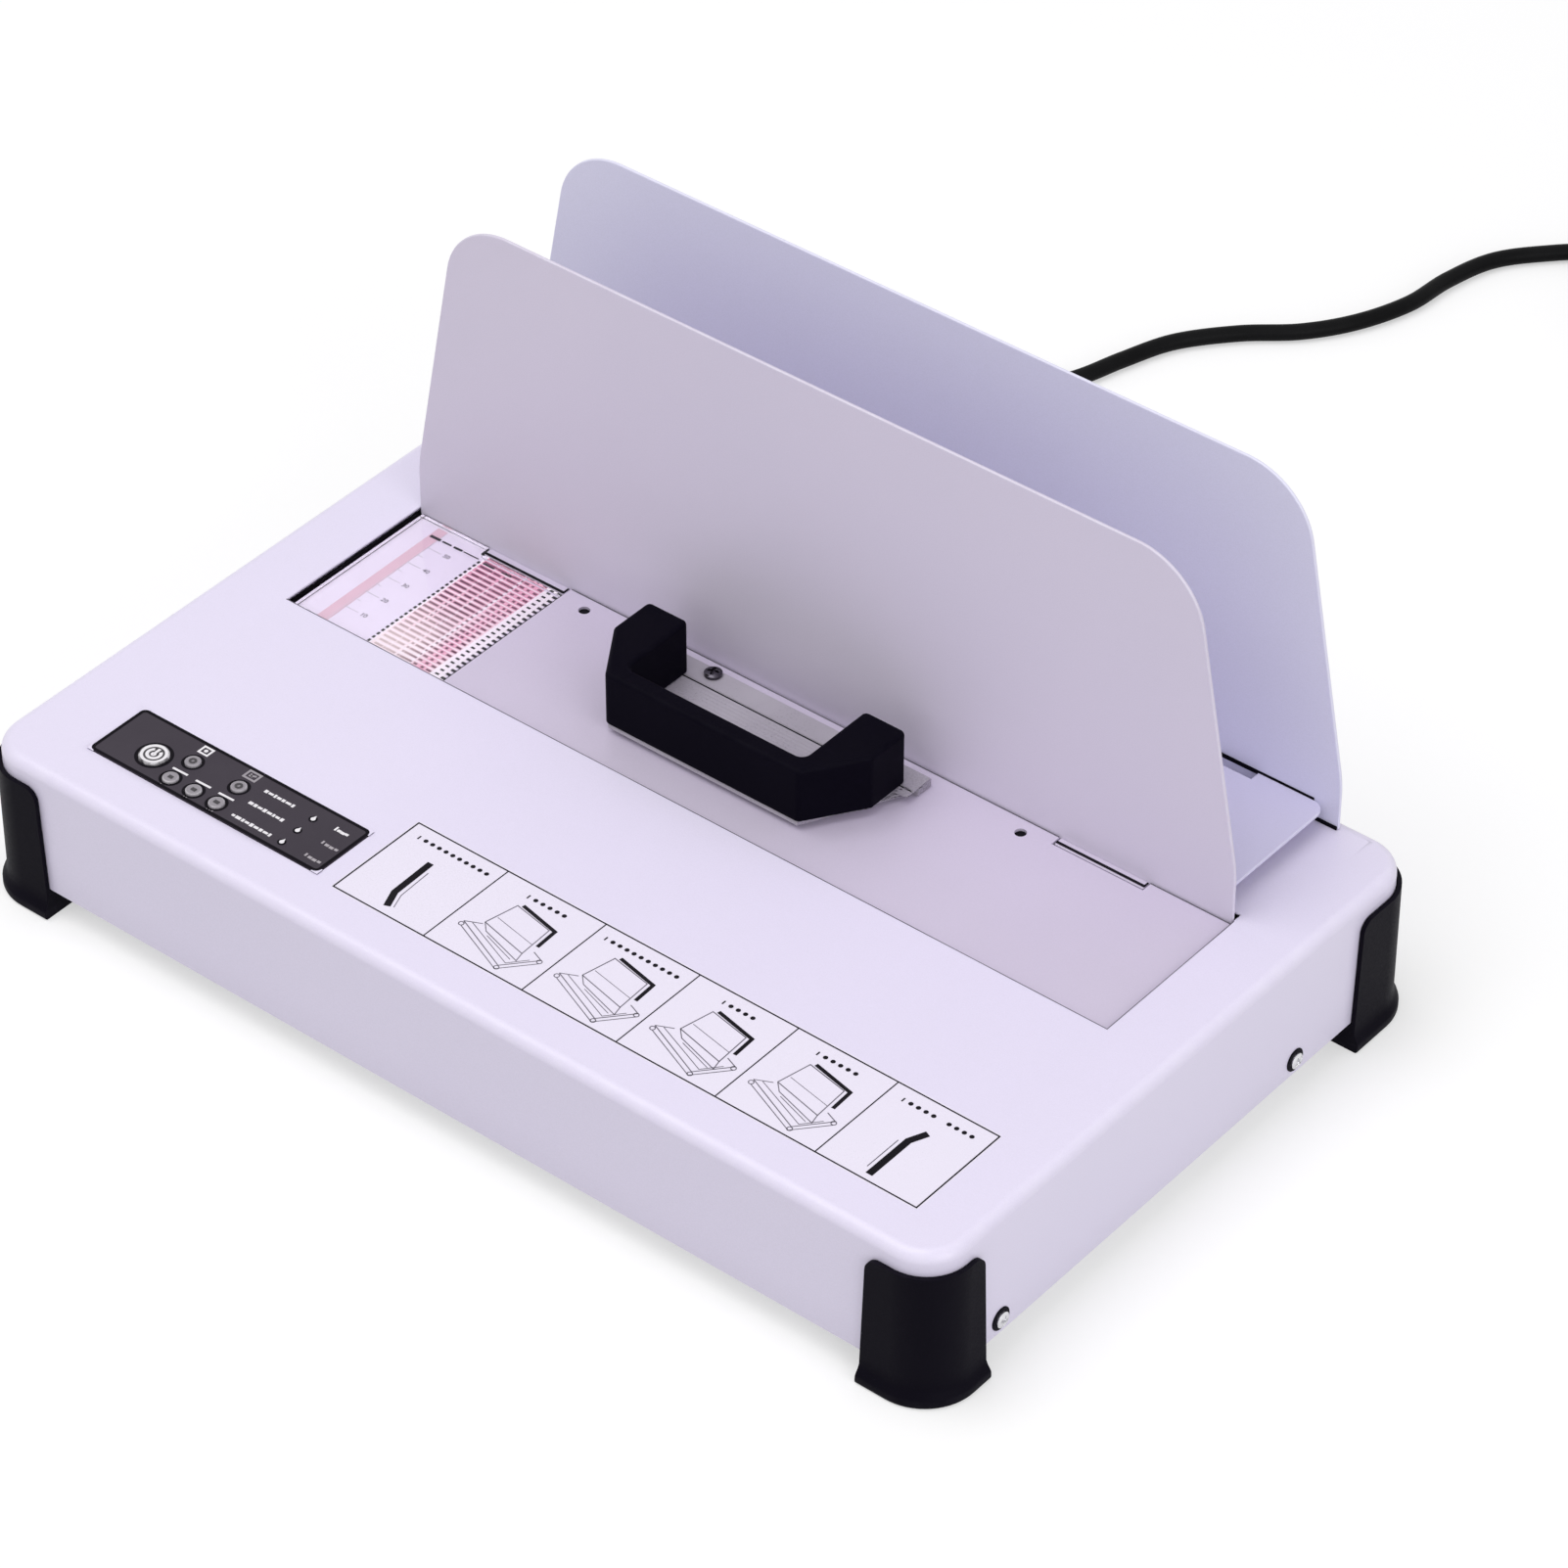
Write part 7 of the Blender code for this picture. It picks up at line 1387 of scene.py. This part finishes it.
def make_plug():
    """The moulded plug: sections along its length, each |y/b|^n + |z/c|^n = 1, that swell from the lead to a waisted
    grip and a square face, with three pins in front."""
    low, high = (np.array(corner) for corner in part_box("plug"))
    start = LEAD_PATH[-1] + PLUG_HEADING * CORD_GAP
    side = np.cross([0, 0, 1.0], PLUG_HEADING)
    tall = start[2] - 0.0004
    share = np.array([0, 0.06, 0.14, 0.22, 0.27, 0.30, 0.34, 0.40, 0.50, 0.60, 0.70, 0.80, 0.88, 0.94, 0.98, 1.0])
    wide = np.array([0.0041, 0.0043, 0.0046, 0.0050, 0.0054, 0.0075, 0.0100, 0.0114, 0.0120, 0.0113, 0.0108, 0.0112, 0.0119, 0.0122, 0.0121, 0.0116])
    thick = np.array([0.0041, 0.0043, 0.0046, 0.0050, 0.0052, 0.0058, 0.0064, 0.0069, 0.0071, 0.0070, 0.0069, 0.0070, 0.0071, 0.0071, 0.0070, 0.0066])
    power = np.array([2, 2, 2, 2, 2, 2.2, 2.5, 2.8, 3, 3, 3, 3.2, 3.6, 4, 4, 4.0])
    fine = np.linspace(0, 1, 60)
    wide, thick, power = (np.interp(fine, share, v) for v in (wide, thick, power))
    thick = np.minimum(thick, tall)
    angle = np.linspace(0, 2 * np.pi, 48, endpoint=False)[None]
    c, s = np.cos(angle), np.sin(angle)
    y = wide[:, None] * np.sign(c) * np.abs(c) ** (2 / power[:, None])
    z = thick[:, None] * np.sign(s) * np.abs(s) ** (2 / power[:, None])
    grip = 0.00035 * np.clip(np.sin(2 * np.pi * (fine - 0.52) * 18), 0, 1) * ((fine > 0.52) & (fine < 0.80))
    y = y - np.sign(y) * grip[:, None] * (np.abs(y) > 0.8 * wide[:, None])
    along = fine * 0.0480
    local = np.stack([np.broadcast_to(along[:, None], y.shape), y, z], axis=2)
    axes = np.stack([PLUG_HEADING, side, np.array([0, 0, 1.0])])
    points = start + local @ axes
    count = 48
    faces = grid_faces(60, count, wrap_columns=True).tolist() + [list(range(count)), list(range(59 * count, 60 * count))]
    plug = piece("moulded_plug", points, faces, "base", LEAD_RUBBER, ("plug",), "lead_rubber", sharp=55)
    pins = []
    for across in (-1, 1):
        outline = rounded_outline([(0.0470, -0.0031, 0), (0.0650, -0.0031, 0.0012), (0.0650, 0.0031, 0.0012), (0.0470, 0.0031, 0)], 4)
        blade, blade_faces, _ = slab(outline, -0.00075, 0.00075, 0.0002, 0.0002, 2)
        local = np.stack([blade[..., 0], blade[..., 2] + across * 0.00635, blade[..., 1] - 0.0025], axis=-1)
        pins.append((start + local @ axes, blade_faces))
    turn = np.linspace(0, np.pi / 2, 6)
    profile = np.vstack([[[0.0024, 0.0470], [0.0024, 0.0628]], np.stack([0.0024 * np.cos(turn), 0.0628 + 0.0022 * np.sin(turn)], axis=1)[1:]])
    earth, earth_faces = turned_grid(np.vstack([[[0, 0.0470]], profile]), 24)
    local = np.stack([earth[..., 2], earth[..., 0], earth[..., 1] + 0.0040], axis=-1)
    pins.append((start + local @ axes, earth_faces))
    blades, blade_faces = joined(*pins)
    contacts = piece("plug_pins", blades, blade_faces, "base", PIN_BRASS, sharp=40)
    return plug, contacts


PLUG, PLUG_PINS = make_plug()


def print_rocker():
    """The ON bar and the OFF ring on the rocker's two slanted faces."""
    low, high = (np.array(corner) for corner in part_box("switch_rocker"))
    mesh = NODES["switch_rocker"].data
    corners = np.empty(len(mesh.vertices) * 3)
    mesh.vertices.foreach_get("co", corners)
    corners = corners.reshape(-1, 3)
    middle = (low + high) / 2
    for label, side in (("on", 1), ("off", -1)):
        far = corners[(corners[:, 2] - middle[2]) * side > 0.004]
        tip = far[far[:, 1].argmax()]
        near = corners[np.abs(corners[:, 2] - middle[2]) < 0.0025]
        root = near[near[:, 1].argmax()]
        up = np.array([0.0, tip[1] - root[1], tip[2] - root[2]])
        up /= np.linalg.norm(up)
        up *= side
        spot = np.array([middle[0], (tip[1] + root[1]) / 2, (tip[2] + root[2]) / 2])
        across = np.array([-1.0, 0.0, 0.0])
        out = np.cross(across, up)
        shapes = bars([(0.0, 0.0)], 0.7, 3.4) if side > 0 else ring((0.0, 0.0), 1.7, 1.05, 28)
        flat = np.vstack(shapes) * MM
        points = spot + flat[:, :1] * across + flat[:, 1:] * up + out * 0.00006
        starts = np.concatenate([[0], np.cumsum([len(shape) for shape in shapes])[:-1]])
        faces = [list(range(start, start + len(shape))) for start, shape in zip(starts, shapes)]
        mark = piece("rocker_mark_" + label, points, faces, "switch_rocker_body", WHITE_INK, closed=False)
        mark.data.shade_flat()
        film = mark.modifiers.new("film", "SOLIDIFY")
        film.thickness = INK_THICKNESS
        film.offset = -1


print_rocker()


# Finishes of the model's own solids that stay
NODE_FINISH = {
    "bottom_plate": ZINC_STEEL, "rear_plate_clamp": ZINC_STEEL, "trough_liner": ZINC_STEEL,
    "trough_bracket_left": ZINC_STEEL, "trough_bracket_right": ZINC_STEEL, "carriage_bar": ZINC_STEEL,
    "heating_plate": HOT_ALUMINIUM, "heater_element": MICA, "heater_insulator_left": CERAMIC,
    "heater_insulator_right": CERAMIC, "thermostat": CERAMIC, "thermal_fuse": BRIGHT_STEEL,
    "rail_left": BRIGHT_STEEL, "rail_right": BRIGHT_STEEL, "rail_support_front_left": ACETAL,
    "rail_support_front_right": ACETAL, "rail_support_rear_left": ACETAL, "rail_support_rear_right": ACETAL,
    "slide_block_left": ACETAL, "slide_block_right": ACETAL, "control_panel": PANEL_FILM,
    "control_board": BOARD_GREEN, "power_board": BOARD_GREEN, "lamp_bar": LAMP_LENS, "transformer": CORE_STEEL,
    "switch_housing": BLACK_PLASTIC_AND_SHADE, "switch_rocker": BLACK_PLASTIC_AND_SHADE, "cord_tie": BAND_FABRIC,
    "mains_inner_lead": LEAD_RUBBER, "slide_cover": COVER_PAINT_AND_SHADE, "scale_sheet": SCALE_PAPER,
    "scale_window": CLEAR_WINDOW,
}


def finish_nodes():
    """Gives each solid that stays its own finish, and a finish by family to those that a finer piece stands for."""
    for name, obj in NODES.items():
        material = NODE_FINISH.get(name)
        if material is None:
            material = (BLACK_PLASTIC_AND_SHADE if name.startswith("foot") or name == "handle" else
                        BRIGHT_STEEL if "screw" in name else KEY_PLASTIC if name.startswith("key") else
                        LEAD_RUBBER if name in ("cord", "cord_coil", "plug", "strain_relief") else
                        FROSTED if name == "handle_base" else PLATE_PAINT if "plate" in name else CASE_PAINT)
        obj.data.materials.clear()
        obj.data.materials.append(material)


finish_nodes()


# Studio: floor, world and lamps
WORLD_LEVEL = 0.55
FLOOR_LIFT = 0.47


def make_studio():
    """A pale floor that lifts to white for the eye and keeps the shadow, an even world and two soft lamps."""
    size = 4.0
    mesh = bpy.data.meshes.new("studio_floor")
    mesh.from_pydata([(-size, -size, -0.0001), (size, -size, -0.0001), (size, size, -0.0001), (-size, size, -0.0001)], [],
                     [(0, 1, 2, 3)])
    floor = bpy.data.objects.new("studio_floor", mesh)
    bpy.context.scene.collection.objects.link(floor)
    material = finish("floor_card", "sprayed_paint", {
        "Colour": rgb(0.60, 0.60, 0.60), "Shade_Colour": rgb(0.595, 0.595, 0.60), "Mottle": 0.2,
        "Peel_Scale": 500.0, "Roughness": 0.9}, shader={"Specular IOR Level": 0.0})
    tree = material.node_tree
    path = put(tree, "ShaderNodeLightPath").outputs
    seen = sums(tree, "ADD", sums(tree, "ADD", path["Is Camera Ray"], path["Is Glossy Ray"]),
                path["Is Transmission Ray"], True)
    principled = tree.nodes["Principled BSDF"]
    principled.inputs["Emission Color"].default_value = rgb(1, 1, 1)
    tree.links.new(sums(tree, "MULTIPLY", seen, FLOOR_LIFT), principled.inputs["Emission Strength"])
    mesh.materials.append(material)

    world = bpy.data.worlds.new("studio_world")
    bpy.context.scene.world = world
    world.use_nodes = True
    tree = world.node_tree
    background = tree.nodes["Background"]
    background.inputs[0].default_value = rgb(1, 1, 1)
    path = put(tree, "ShaderNodeLightPath").outputs
    seen = sums(tree, "ADD", sums(tree, "ADD", path["Is Camera Ray"], path["Is Glossy Ray"]),
                path["Is Transmission Ray"], True)
    tree.links.new(spread(tree, seen, 0.0, 1.0, WORLD_LEVEL, 1.0), background.inputs[1])

    for name, place, size, watts, colour in (
            ("overhead_softbox", (-0.50, -0.65, 2.20), 1.9, 24.5, (1.0, 0.99, 1.0)),
            ("right_fill", (1.9, -0.6, 0.9), 1.3, 12.5, (0.98, 0.98, 1.0))):
        lamp = bpy.data.lights.new(name, "AREA")
        lamp.shape = "SQUARE"
        lamp.size = size
        lamp.energy = watts
        lamp.color = colour
        holder = bpy.data.objects.new(name, lamp)
        away = np.array(place) - np.array([0, 0, 0.06])
        away /= np.linalg.norm(away)
        right = np.cross([0, 0, 1.0], away)
        right /= np.linalg.norm(right)
        rows = np.eye(4)
        rows[:3, 0], rows[:3, 1], rows[:3, 2], rows[:3, 3] = right, np.cross(away, right), away, place
        holder.matrix_world = Matrix(rows.tolist())
        bpy.context.scene.collection.objects.link(holder)


make_studio()
bpy.context.scene.view_settings.view_transform = "Standard"
